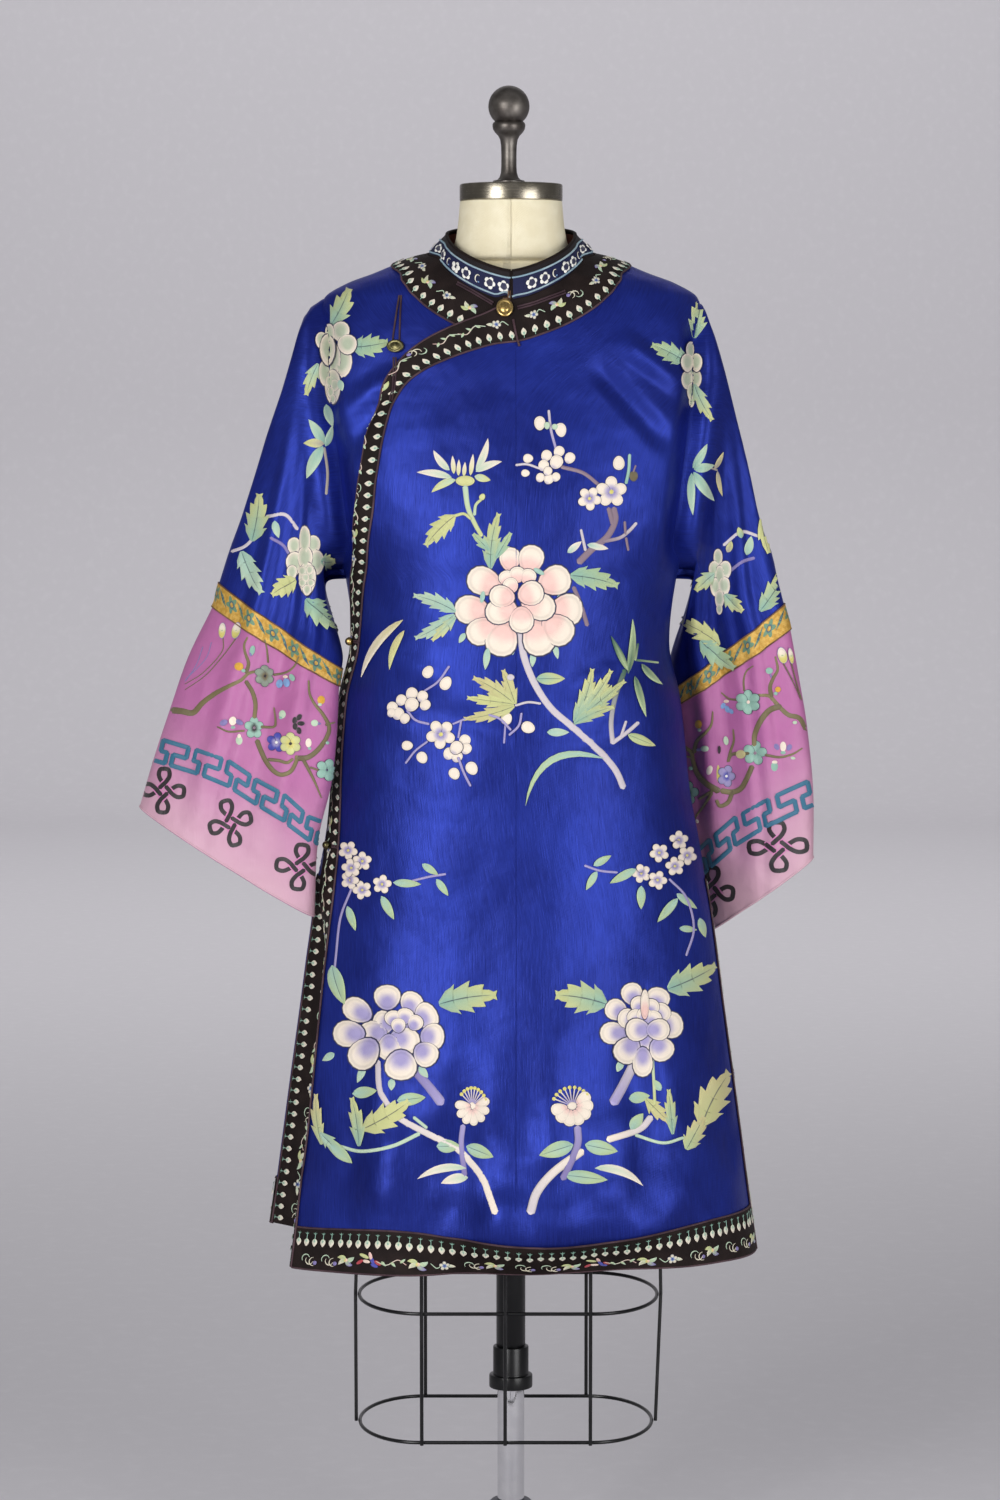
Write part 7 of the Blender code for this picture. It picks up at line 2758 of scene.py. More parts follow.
        teal, leaf, lime = (Dye.TEAL, Dye.LEAF), (Dye.PALE_TEAL, Dye.GREEN), (Dye.LEAF, Dye.LIME)
        olive, gold = (Dye.GREEN, Dye.OLIVE), (Dye.LEAF, Dye.OLIVE)
        leaves = [
            ((560, 545), (728, 518), 100, -0.04, 4, teal), ((245, 430), (282, 545), 46, 0.04, 0, leaf),
            ((305, 810), (377, 800), 34, 0, 0, leaf),
            ((435, 830), (520, 820), 38, 0, 0, leaf), ((335, 915), (470, 832), 86, 0.03, 4, lime),
            ((325, 965), (303, 822), 50, 0.03, 3, teal),
            ((215, 960), (198, 812), 40, -0.04, 3, olive), ((210, 925), (285, 1000), 44, 0, 3, leaf),
            ((240, 960), (305, 1015), 34, 0, 0, leaf),
            ((552, 965), (622, 965), 40, 0, 0, leaf), ((640, 965), (720, 997), 40, 0, 0, leaf),
            ((1055, 545), (905, 518), 104, 0.04, 4, teal),
            ((1235, 500), (1377, 432), 94, 0.03, 4, teal), ((1335, 905), (1417, 748), 104, -0.04, 4, gold),
            ((1290, 975), (1342, 878), 64, 0, 4, olive), ((1170, 825), (1237, 892), 50, 0, 3, gold),
            ((1250, 930), (1238, 798), 40, 0, 3, teal), ((1120, 825), (1182, 815), 34, 0, 0, leaf),
            ((1125, 915), (1162, 868), 34, 0, 0, leaf),
            ((1215, 800), (1193, 768), 22, 0, 0, leaf), ((955, 960), (856, 992), 46, 0, 0, leaf),
            ((990, 960), (1087, 980), 44, 0, 0, leaf),
            ((930, 1050), (1057, 1065), 40, 0, 0, leaf), ((425, 185), (507, 190), 24, 0, 0, leaf),
            ((510, 130), (557, 162), 22, 0, 0, leaf),
            ((552, 175), (587, 224), 22, 0, 0, leaf), ((390, 225), (427, 294), 26, 0, 0, leaf),
            ((290, 255), (314, 327), 24, 0, 0, leaf),
            ((1140, 145), (1063, 187), 26, 0, 0, leaf), ((1015, 135), (1067, 105), 22, 0, 0, leaf),
            ((1025, 152), (993, 207), 22, 0, 0, leaf),
            ((1155, 195), (1155, 264), 26, 0, 0, leaf), ((1262, 232), (1203, 302), 26, 0, 0, leaf),
            ((1262, 218), (1322, 262), 24, 0, 0, leaf),
            ((1270, 320), (1322, 325), 20, 0, 0, leaf), ((1330, 290), (1347, 347), 24, 0, 0, leaf),
        ]
        for base, tip, wide, bend, teeth, (low, high) in leaves:
            chart.add(Stitch.leaf(base, tip, wide, bend, teeth, low, high, Dye.NAVY if wide > 36 else None))
        blades = [
            ((640, 1030), (495, 1062), 24, 0.10), ((645, 1058), (565, 1075), 30, 0.06),
            ((1020, 1030), (1162, 1082), 26, -0.12),
        ]
        for base, tip, wide, bend in blades:
            chart.add(Stitch.leaf(base, tip, wide, bend, 0, Dye.MINT, Dye.CREAM, None))
        sepals = [((250, 690), (215, 712)), ((340, 725), (318, 777)), ((420, 765), (418, 800)),
                  ((500, 730), (527, 762)), ((1100, 712), (1085, 745))]
        for base, tip in sepals:
            chart.add(Stitch.leaf(base, tip, 22, 0, 0, Dye.PALE_TEAL, Dye.MINT, None))
        left = [
            (407, 525, 38, 38, -90), (478, 540, 33, 33, -60), (320, 563, 47, 34, 210),
            (522, 580, 34, 40, -30), (295, 632, 48, 38, 180),
            (540, 640, 36, 38, 0), (340, 690, 52, 42, 130), (520, 692, 38, 36, 40), (447, 724, 46, 46, 90),
            (425, 587, 24, 24, -100), (460, 580, 24, 24, -80), (490, 600, 24, 22, -50),
            (440, 608, 22, 20, -90), (466, 608, 22, 20, -80),
            (395, 600, 33, 35, 190), (365, 632, 42, 38, 170), (458, 652, 46, 38, 20), (412, 672, 40, 34, 90),
        ]
        for x, y, long, wide, turn in left:
            chart.add(Stitch.petal(x, y, long, wide * 1.04, turn, egg=0.15, **cls.LILAC_ROSE))
        right = [
            (1130, 515, 32, 28, -110), (1205, 530, 33, 31, -70), (1083, 562, 32, 28, 210),
            (1240, 607, 38, 35, -10), (1075, 630, 38, 29, 180),
            (1212, 572, 30, 26, -40), (1118, 588, 30, 26, 200), (1165, 662, 34, 30, 90),
            (1150, 548, 26, 22, -100), (1184, 556, 26, 22, -80), (1140, 586, 26, 22, -120),
            (1190, 590, 26, 22, -60), (1165, 580, 24, 20, -90),
            (1115, 680, 40, 34, 130), (1160, 715, 42, 27, 90), (1215, 677, 34, 32, 50),
            (1145, 620, 34, 30, 180), (1205, 620, 32, 28, 0),
        ]
        for x, y, long, wide, turn in right:
            chart.add(Stitch.petal(x, y, long * 1.08, wide * 1.14, turn, egg=0.15, **cls.LILAC_ROSE))
        chart.add(Stitch.petal(1166, 545, 45, 13, -90, Dye.ROSE, Dye.CREAM),
                  Stitch.petal(1176, 610, 50, 15, -90, Dye.ROSE, Dye.CREAM))
        cls.wheel(chart, 658, 845, 48, 60, 10)
        cls.wheel(chart, 952, 845, 65, 62, -8)
        blossoms = [
            (333, 122), (292, 90), (302, 142), (297, 178), (333, 207), (392, 190), (1208, 97), (1268, 60),
            (1292, 105), (1255, 137), (1203, 178), (1157, 158),
        ]
        for number, (x, y) in enumerate(blossoms):
            chart.blossom(x, y, 28, Dye.CREAM, Dye.LILAC, turn=-90 + 31 * number)
        return chart

    @staticmethod
    def wheel(chart: Chart, x: float, y: float, wide: float, high: float, tilt: float) -> None:
        """Add a wheel-shaped flower: cream sectors with rose bases below, and spoked stamens above.

        Args:
            chart: the chart.
            x: its middle.
            y: its middle.
            wide: half its width.
            high: half its height.
            tilt: how far it is turned, in degrees.
        """
        for turn in range(-25, 206, 33):
            at = math.radians(turn + tilt)
            place = (x + math.cos(at) * wide * 0.60, y + math.sin(at) * high * 0.60)
            chart.add(Stitch.petal(*place, high * 0.40, wide * 0.27, turn + tilt, Dye.ROSE, Dye.CREAM,
                                   egg=0.35, reach=0.3))
        for turn in range(-150, -25, 15):
            at = math.radians(turn + tilt)
            start = (x + math.cos(at) * wide * 0.2, y + math.sin(at) * high * 0.2)
            end = (x + math.cos(at) * wide * 0.88, y + math.sin(at) * high * 0.88)
            chart.add(Stitch.strip([start, end], (4, 4, 4), Dye.LILAC, Dye.CREAM))
            chart.add(Stitch.petal(*end, 5.5, 5.5, 0, Dye.YELLOW, Dye.YELLOW, None))
        chart.add(Stitch.petal(x, y, wide * 0.22, high * 0.20, 0, Dye.CREAM, Dye.CREAM))


class SleeveCharts:
    """The embroidery of the sleeves, as seen from the front."""

    @staticmethod
    def flower(chart: Chart, petals: list, heart: Dye = Dye.SAGE, rim: Dye = Dye.CREAM) -> None:
        """Add a flower seen from its side.

        Args:
            chart: the chart.
            petals: its petals as (x, y, half length, half width).
            heart: the colour of their bases.
            rim: the colour of their rims.
        """
        for x, y, long, wide in petals:
            chart.add(Stitch.petal(x, y, long, wide, 90, heart, rim, egg=-0.1, reach=0.66, bowl=0.85,
                                   fine=True))

    @classmethod
    def viewer_left(cls) -> Chart:
        """The sleeve at the picture's left."""
        chart = Chart((130, 280), 2.4505)
        for route, wide, dye in (
            ([(250, 665), (285, 650), (320, 610)], 9, Dye.MAUVE),
            ([(335, 580), (380, 575), (410, 610)], 9, Dye.MAUVE),
            ([(345, 632), (375, 650), (395, 680)], 8, Dye.PURPLE),
            ([(476, 412), (484, 470), (481, 524)], 7, Dye.TWIG),
        ):
            chart.add(Stitch.strip(route, (wide, wide, wide), dye))
        for base, tip, wide, teeth, low, high in (
            ((495, 108), (537, 22), 58, 3, Dye.TEAL, Dye.LEAF),
            ((545, 165), (632, 152), 62, 4, Dye.TEAL, Dye.GREEN),
            ((460, 205), (432, 282), 38, 3, Dye.PALE_TEAL, Dye.LEAF),
            ((480, 305), (498, 360), 22, 0, Dye.PALE_TEAL, Dye.MINT),
            ((515, 245), (521, 272), 16, 0, Dye.PALE_TEAL, Dye.MINT),
            ((475, 402), (438, 342), 24, 0, Dye.TEAL, Dye.MINT),
            ((475, 402), (426, 400), 22, 0, Dye.TWIG, Dye.LIME),
            ((472, 408), (434, 486), 28, 0, Dye.TEAL, Dye.MINT),
            ((478, 408), (496, 356), 18, 0, Dye.TEAL, Dye.MINT),
            ((300, 640), (318, 525), 62, 4, Dye.TEAL, Dye.LEAF),
            ((355, 590), (364, 632), 18, 0, Dye.PALE_TEAL, Dye.MINT),
            ((465, 690), (502, 687), 45, 3, Dye.TEAL, Dye.LEAF),
            ((408, 735), (348, 772), 56, 4, Dye.LEAF, Dye.LIME),
            ((275, 665), (322, 767), 56, 4, Dye.PALE_TEAL, Dye.MINT),
            ((432, 782), (512, 852), 66, 4, Dye.TEAL, Dye.GREEN),
        ):
            chart.add(Stitch.leaf(base, tip, wide, 0.03, teeth, low, high, Dye.NAVY if teeth else None))
        cls.flower(chart, [(468, 149, 21, 15), (519, 127, 25, 21), (491, 134, 28, 14), (535, 159, 25, 23),
                           (485, 172, 40, 22), (519, 202, 38, 26), (498, 196, 42, 19),
                           (478, 228, 33, 16), (497, 262, 44, 20), (490, 250, 16, 11), (503, 258, 15, 11),
                           (492, 276, 14, 10), (498, 292, 12, 8)])
        cls.flower(chart, [(402, 652, 22, 16), (449, 648, 23, 17), (403, 695, 30, 21), (456, 692, 31, 18),
                           (429, 640, 39, 14), (430, 682, 30, 18), (397, 716, 18, 14),
                           (435, 732, 42, 20), (424, 714, 12, 9), (441, 711, 12, 9), (432, 730, 11, 9),
                           (424, 743, 10, 8), (444, 743, 10, 8), (435, 760, 14, 11)])
        return chart

    @classmethod
    def viewer_right(cls) -> Chart:
        """The sleeve at the picture's right."""
        chart = Chart((0, 0), 1.0)
        for route, wide, dye in (
            ([(724, 545), (741, 532), (758, 536)], 3.6, Dye.MAUVE),
            ([(730, 571), (742, 562), (754, 558)], 3.4, Dye.PURPLE),
            ([(696, 470), (706, 467), (717, 470)], 2, Dye.TWIG),
        ):
            chart.add(Stitch.strip(route, (wide, wide, wide), dye))
        for base, tip, wide, teeth, low, high in (
            ((694, 338), (700, 296), 20, 3, Dye.TEAL, Dye.LEAF),
            ((686, 362), (652, 345), 22, 4, Dye.TEAL, Dye.GREEN),
            ((694, 384), (712, 420), 16, 3, Dye.PALE_TEAL, Dye.LEAF),
            ((693, 468), (707, 444), 8, 0, Dye.TEAL, Dye.MINT),
            ((694, 469), (714, 465), 9, 0, Dye.TEAL, Dye.MINT),
            ((694, 472), (714, 501), 10, 0, Dye.TEAL, Dye.MINT),
            ((692, 473), (693, 515), 8, 0, Dye.TEAL, Dye.MINT),
            ((714, 469), (723, 452), 5, 0, Dye.TWIG, Dye.OLIVE),
            ((717, 471), (722, 496), 5, 0, Dye.TWIG, Dye.OLIVE),
            ((746, 555), (751, 536), 9, 0, Dye.PALE_TEAL, Dye.MINT),
            ((741, 538), (738, 527), 6, 0, Dye.TEAL, Dye.LEAF),
            ((727, 552), (732, 541), 7, 0, Dye.TWIG, Dye.LIME),
            ((714, 573), (696, 590), 18, 3, Dye.PALE_TEAL, Dye.LEAF),
            ((725, 594), (743, 611), 18, 3, Dye.TEAL, Dye.LIME),
            ((720, 645), (681, 620), 22, 4, Dye.LEAF, Dye.LIME),
            ((760, 611), (786, 568), 22, 4, Dye.TEAL, Dye.LEAF),
            ((760, 519), (768, 553), 12, 2, Dye.LEAF, Dye.LIME),
            ((700, 640), (735, 668), 24, 4, Dye.TEAL, Dye.GREEN),
        ):
            chart.add(Stitch.leaf(base, tip, wide, 0.03, teeth, low, high, Dye.NAVY if teeth else None))
        petals = [(-2, 9, 9.5, 4.8), (-5.5, 21, 9.5, 6.2), (5.5, 21, 9.5, 6.2), (0, 28, 12, 5),
                  (-4.5, 38, 9.5, 5.8), (4.5, 37, 9.5, 5.8), (0, 50, 9.5, 4.8),
                  (0, 60, 5.5, 3)]
        for middle, top in ((691.5, 342), (720, 549)):
            cls.flower(chart, [(middle + x, top + y, long, wide) for x, y, long, wide in petals])
        return chart


class CuffCharts:
    """The embroidery of the cuff bands, as seen from the front."""

    FRET = ((0, 0), (0.78, 0), (0.78, 0.5), (0.39, 0.5), (0.39, 1), (1.20, 1), (1.20, 0.5), (1.0, 0.5),
            (1.0, 0))
    # A quarter of a knot's cord, and its passes as (width, dye, rank) where it runs under and over
    UNDER = ((21, Dye.INK, 0.0),)
    OVER = ((33, Dye.PINK, 2.0), (21, Dye.INK, 3.5))
    KNOT_SHARE = 0.86  # of a knot's size, which its cord's middle reaches
    STRAND = ((0.27, -0.06), (0.27, 0.22), (0.27, 0.48), (0.38, 0.84), (0.66, 1.02), (0.90, 0.88))

    @classmethod
    def fret(cls, chart: Chart, top: list, drop: tuple, width: float) -> None:
        """A row of linked S-shaped keys.

        Args:
            chart: the chart.
            top: the upper corner at the start of each key, and the end of the last.
            drop: the way from the upper line to the lower one.
            width: the line's width.
        """
        corners = np.array(top, float)
        places = np.arange(len(corners))
        for number in range(len(corners) - 1):
            spots = []
            for u, v in cls.FRET:
                at = min(number + u, len(corners) - 1)
                spots.append(tuple(np.interp(at, places, corners[:, k]) + drop[k] * v for k in (0, 1)))
            for start, end in zip(spots[:-1], spots[1:]):
                chart.add(Stitch.strip([start, end], (width, width, width), Dye.FRET, None, 1.0))

    @classmethod
    def knot(cls, chart: Chart, x: float, y: float, wide: float, high: float, turn: float) -> None:
        """A knot of one cord: two lines cross two others, over and under, and join in four round loops.

        Args:
            chart: the chart.
            x: its middle.
            y: its middle.
            wide: half its width.
            high: half its height.
            turn: how far it is turned, in degrees.
        """
        under = [(v, u) for u, v in cls.STRAND]
        wide, high = wide * cls.KNOT_SHARE, high * cls.KNOT_SHARE
        for strand, passes in ((under, cls.UNDER), (cls.STRAND, cls.OVER)):
            for quarter in range(4):
                angle = math.radians(turn) + quarter * QUARTER
                c, s = math.cos(angle), math.sin(angle)
                spots = [(u * c - v * s, u * s + v * c) for u, v in strand]
                spots = [(x + u * wide, y + v * high) for u, v in spots]
                for width, dye, rank in passes:
                    part = spots if dye is Dye.INK else spots[:3]
                    patch = Stitch.strip(part, (width, width, width), dye, None, 1.0)
                    patch.lift, patch.rank = np.full_like(patch.lift, 0.2), rank
                    chart.add(patch)

    @staticmethod
    def finish(chart: Chart, branches: list, buds: list) -> None:
        """Add branches and buds.

        Args:
            chart: the chart.
            branches: (route, first width, last width) of each.
            buds: (x, y, half length, half width, turn, dye) of each.
        """
        for route, first, last in branches:
            widths = (first * 1.15, (first + last) * 0.6, last * 1.15)
            chart.add(Stitch.strip(route, widths, Dye.BARK, Dye.OLIVE_BARK))
        for x, y, long, wide, turn, dye in buds:
            chart.add(Stitch.petal(x, y, long, wide, turn, dye, dye, None))

    @classmethod
    def viewer_left(cls) -> Chart:
        """The cuff at the picture's left."""
        chart = Chart((135, 600), 4.9)
        cls.finish(chart, [
            ([(185, 540), (230, 545), (285, 552), (330, 505), (390, 460), (460, 422), (520, 392), (556, 360),
              (600, 348)], 32, 13),
            ([(545, 355), (556, 310), (540, 260), (535, 220), (551, 183)], 18, 8),
            ([(680, 367), (740, 355), (780, 325), (802, 278)], 11, 7),
            ([(652, 305), (646, 240), (635, 195)], 10, 6),
            ([(545, 400), (575, 450), (590, 510), (585, 575)], 18, 18),
            ([(598, 690), (620, 745), (645, 795), (680, 838), (718, 856), (762, 840), (788, 795),
              (792, 765)], 22, 16),
            ([(655, 782), (705, 787), (745, 797), (772, 780)], 15, 12),
            ([(800, 776), (850, 770), (900, 730), (940, 670), (950, 620), (920, 560), (880, 510), (855, 460),
              (850, 396)], 24, 8),
            ([(935, 612), (978, 600)], 11, 6), ([(822, 778), (850, 830), (880, 890), (912, 968)], 17, 5),
            ([(620, 622), (680, 622), (690, 595), (682, 528)], 13, 6),
            ([(405, 622), (460, 645), (535, 641)], 6, 9), ([(860, 820), (900, 835)], 9, 7),
        ], [
            (510, 326, 21, 20, 0, Dye.GOLD), (531, 346, 10, 9, 0, Dye.TEAL),
            (575, 247, 24, 14, -80, Dye.TEAL), (566, 266, 10, 6, 70, Dye.PURPLE),
            (710, 411, 21, 17, -80, Dye.SKY), (745, 406, 22, 16, 80, Dye.SKY),
            (772, 381, 19, 13, 60, Dye.TEAL), (740, 377, 12, 8, 0, Dye.PEACH),
            (436, 601, 20, 14, -30, Dye.PURPLE), (512, 599, 20, 13, 30, Dye.PURPLE),
            (480, 593, 22, 20, 90, Dye.CREAM), (480, 624, 12, 8, 0, Dye.TEAL),
            (510, 688, 22, 17, 90, Dye.MINT), (510, 668, 12, 9, 90, Dye.CREAM),
            (722, 560, 20, 17, 90, Dye.MINT), (714, 577, 9, 7, 0, Dye.TEAL),
            (850, 700, 22, 15, 90, Dye.CREAM), (855, 727, 9, 7, 0, Dye.TEAL),
            (912, 490, 21, 19, 90, Dye.GOLD), (906, 512, 10, 8, 0, Dye.MINT),
            (880, 603, 18, 16, 0, Dye.MINT), (902, 606, 9, 6, 0, Dye.PURPLE), (942, 700, 9, 8, 0, Dye.TEAL),
        ])
        for x, y, turn in ((783, 590, -80), (803, 575, -60), (812, 605, 0), (785, 620, 90), (802, 640, 80)):
            chart.add(Stitch.petal(x, y, 17, 11, turn, Dye.INK, Dye.INK, Dye.PLUM))
        chart.blossom(634, 372, 52, Dye.GREY, Dye.BARK, 6, -90, 0.8, Dye.INK)
        chart.blossom(583, 626, 54, Dye.GREY_MINT, Dye.INK, 5, -90, 0.75, Dye.PLUM)
        chart.blossom(694, 698, 48, Dye.BLUE, Dye.LILAC, 5, -80, 1.0, Dye.WHITE)
        chart.blossom(762, 704, 54, Dye.LIME, Dye.YELLOW, 6, -90, 0.85, Dye.INK)
        chart.blossom(937, 832, 54, Dye.GREY_MINT, Dye.TEAL, 5, -70, 0.95, Dye.PURPLE)
        cls.antennae(chart, [(428, 150, 38, 17, 95), (497, 150, 40, 21, 105)], [
            [(432, 188), (425, 255), (335, 355), (245, 412)],
            [(495, 188), (430, 275), (345, 370), (245, 440)],
        ], [[(375, 208), (345, 290), (250, 388)], [(333, 230), (300, 320), (246, 398)]])
        cls.fret(chart, [(-20, 640), (142, 688), (300, 735), (460, 790), (592, 880), (732, 955), (850, 1062),
                         (1000, 1120)], (-26, 104), 22)
        cls.knot(chart, 140, 934, 94, 100, 48)
        cls.knot(chart, 468, 1092, 96, 104, 30)
        cls.knot(chart, 808, 1308, 108, 102, 52)
        return chart

    @classmethod
    def viewer_right(cls) -> Chart:
        """The cuff at the picture's right."""
        chart = Chart((665, 600), 4.6125)
        cls.finish(chart, [
            ([(650, 595), (620, 545), (570, 530), (530, 495), (495, 455), (475, 441), (428, 440)], 26, 14),
            ([(490, 445), (485, 400), (500, 360), (520, 320), (509, 262)], 19, 8),
            ([(335, 461), (295, 455), (260, 428)], 10, 6),
            ([(365, 418), (363, 370), (375, 330), (407, 304)], 9, 5),
            ([(530, 490), (480, 510), (440, 560), (415, 620), (412, 668)], 24, 20),
            ([(465, 715), (530, 725), (590, 710), (632, 684)], 12, 6),
            ([(385, 706), (310, 712), (292, 745), (302, 700), (318, 650), (315, 598)], 16, 7),
            ([(402, 768), (375, 830), (350, 870), (310, 886), (262, 880)], 20, 22),
            ([(312, 884), (292, 932), (255, 950), (238, 925)], 19, 14),
            ([(245, 880), (190, 845), (150, 800), (130, 740), (120, 700), (68, 664)], 26, 13),
            ([(135, 702), (150, 650), (190, 610), (215, 570), (220, 515)], 18, 6),
            ([(122, 726), (75, 715)], 9, 6), ([(218, 882), (160, 917)], 13, 11),
            ([(217, 890), (180, 950), (150, 990), (120, 1037)], 14, 5),
        ], [
            (480, 326, 18, 15, 0, Dye.TEAL), (488, 348, 10, 5, 70, Dye.PURPLE),
            (521, 412, 13, 13, 0, Dye.GOLD), (511, 431, 9, 8, 0, Dye.TEAL),
            (157, 573, 20, 16, 90, Dye.GOLD), (163, 599, 9, 8, 0, Dye.MINT), (186, 685, 18, 14, 0, Dye.MINT),
            (160, 690, 12, 7, 0, Dye.PURPLE),
            (282, 648, 21, 13, 80, Dye.MINT), (250, 690, 19, 6, 90, Dye.INK),
            (245, 800, 42, 8, 90, Dye.YELLOW), (205, 785, 23, 14, -70, Dye.CREAM),
            (505, 768, 22, 16, 90, Dye.TEAL), (506, 748, 13, 8, 0, Dye.CREAM),
            (515, 677, 16, 12, 60, Dye.PURPLE), (573, 680, 16, 12, -60, Dye.PURPLE),
            (545, 676, 23, 14, 90, Dye.CREAM), (545, 704, 12, 8, 0, Dye.TEAL),
            (268, 488, 15, 11, -60, Dye.SKY), (288, 503, 17, 12, 70, Dye.SKY),
            (306, 513, 14, 10, 50, Dye.SKY), (284, 467, 13, 8, 0, Dye.PEACH), (120, 776, 10, 9, 0, Dye.TEAL),
            (150, 1020, 10, 7, 60, Dye.CREAM),
            (598, 565, 10, 8, 0, Dye.MINT), (590, 729, 11, 7, 10, Dye.MINT),
            (352, 711, 22, 20, 0, Dye.OLIVE),
        ])
        chart.blossom(385, 470, 56, Dye.GREY_MINT, Dye.TEAL, 6, -90, 1.0, Dye.PEACH)
        chart.blossom(415, 706, 56, Dye.GREY_MINT, Dye.TEAL, 5, -80, 0.95, Dye.PLUM)
        chart.blossom(283, 812, 50, Dye.LILAC, Dye.BLUE, 5, -70, 0.7, Dye.WHITE)
        chart.blossom(106, 890, 54, Dye.TEAL, Dye.DARK_GREEN, 5, -80, 0.95, Dye.PURPLE)
        cls.antennae(chart, [(540, 255, 38, 20, 75), (577, 258, 37, 10, 80)], [
            [(545, 292), (590, 380), (622, 455)], [(580, 292), (603, 380), (627, 462)],
        ], [])
        cls.fret(chart, [(1030, 700), (845, 765), (655, 838), (475, 920), (325, 1003), (208, 1105),
                         (118, 1190), (40, 1290)], (24, 106), 21)
        cls.knot(chart, 521, 1137, 124, 104, -48)
        cls.knot(chart, 214, 1345, 94, 104, -40)
        return chart

    @staticmethod
    def antennae(chart: Chart, tips: list, stalks: list, threads: list) -> None:
        """Add the butterfly's long feelers with their oval tips.

        Args:
            chart: the chart.
            tips: (x, y, half length, half width, turn) of each.
            stalks: the routes of the feelers.
            threads: the routes of the thin threads beside them.
        """
        for route in stalks:
            chart.add(Stitch.strip(route, (6, 5, 4), Dye.BARK))
        for route in threads:
            chart.add(Stitch.strip(route, (4, 4, 4), Dye.PURPLE))
        for x, y, long, wide, turn in tips:
            chart.add(Stitch.petal(x, y, long, wide, turn, Dye.CREAM, Dye.YELLOW, Dye.PURPLE))
            chart.add(Stitch.petal(x, y, 7, 5, 0, Dye.GREEN, Dye.GREEN, None))


class Sprig(Enum):
    """The small motifs of the black trims, by the letter that stands for each in a trim's row."""

    FLOWER = "f"
    VINE = "v"
    CURL = "c"
    BIRD = "b"
    MOTH = "m"


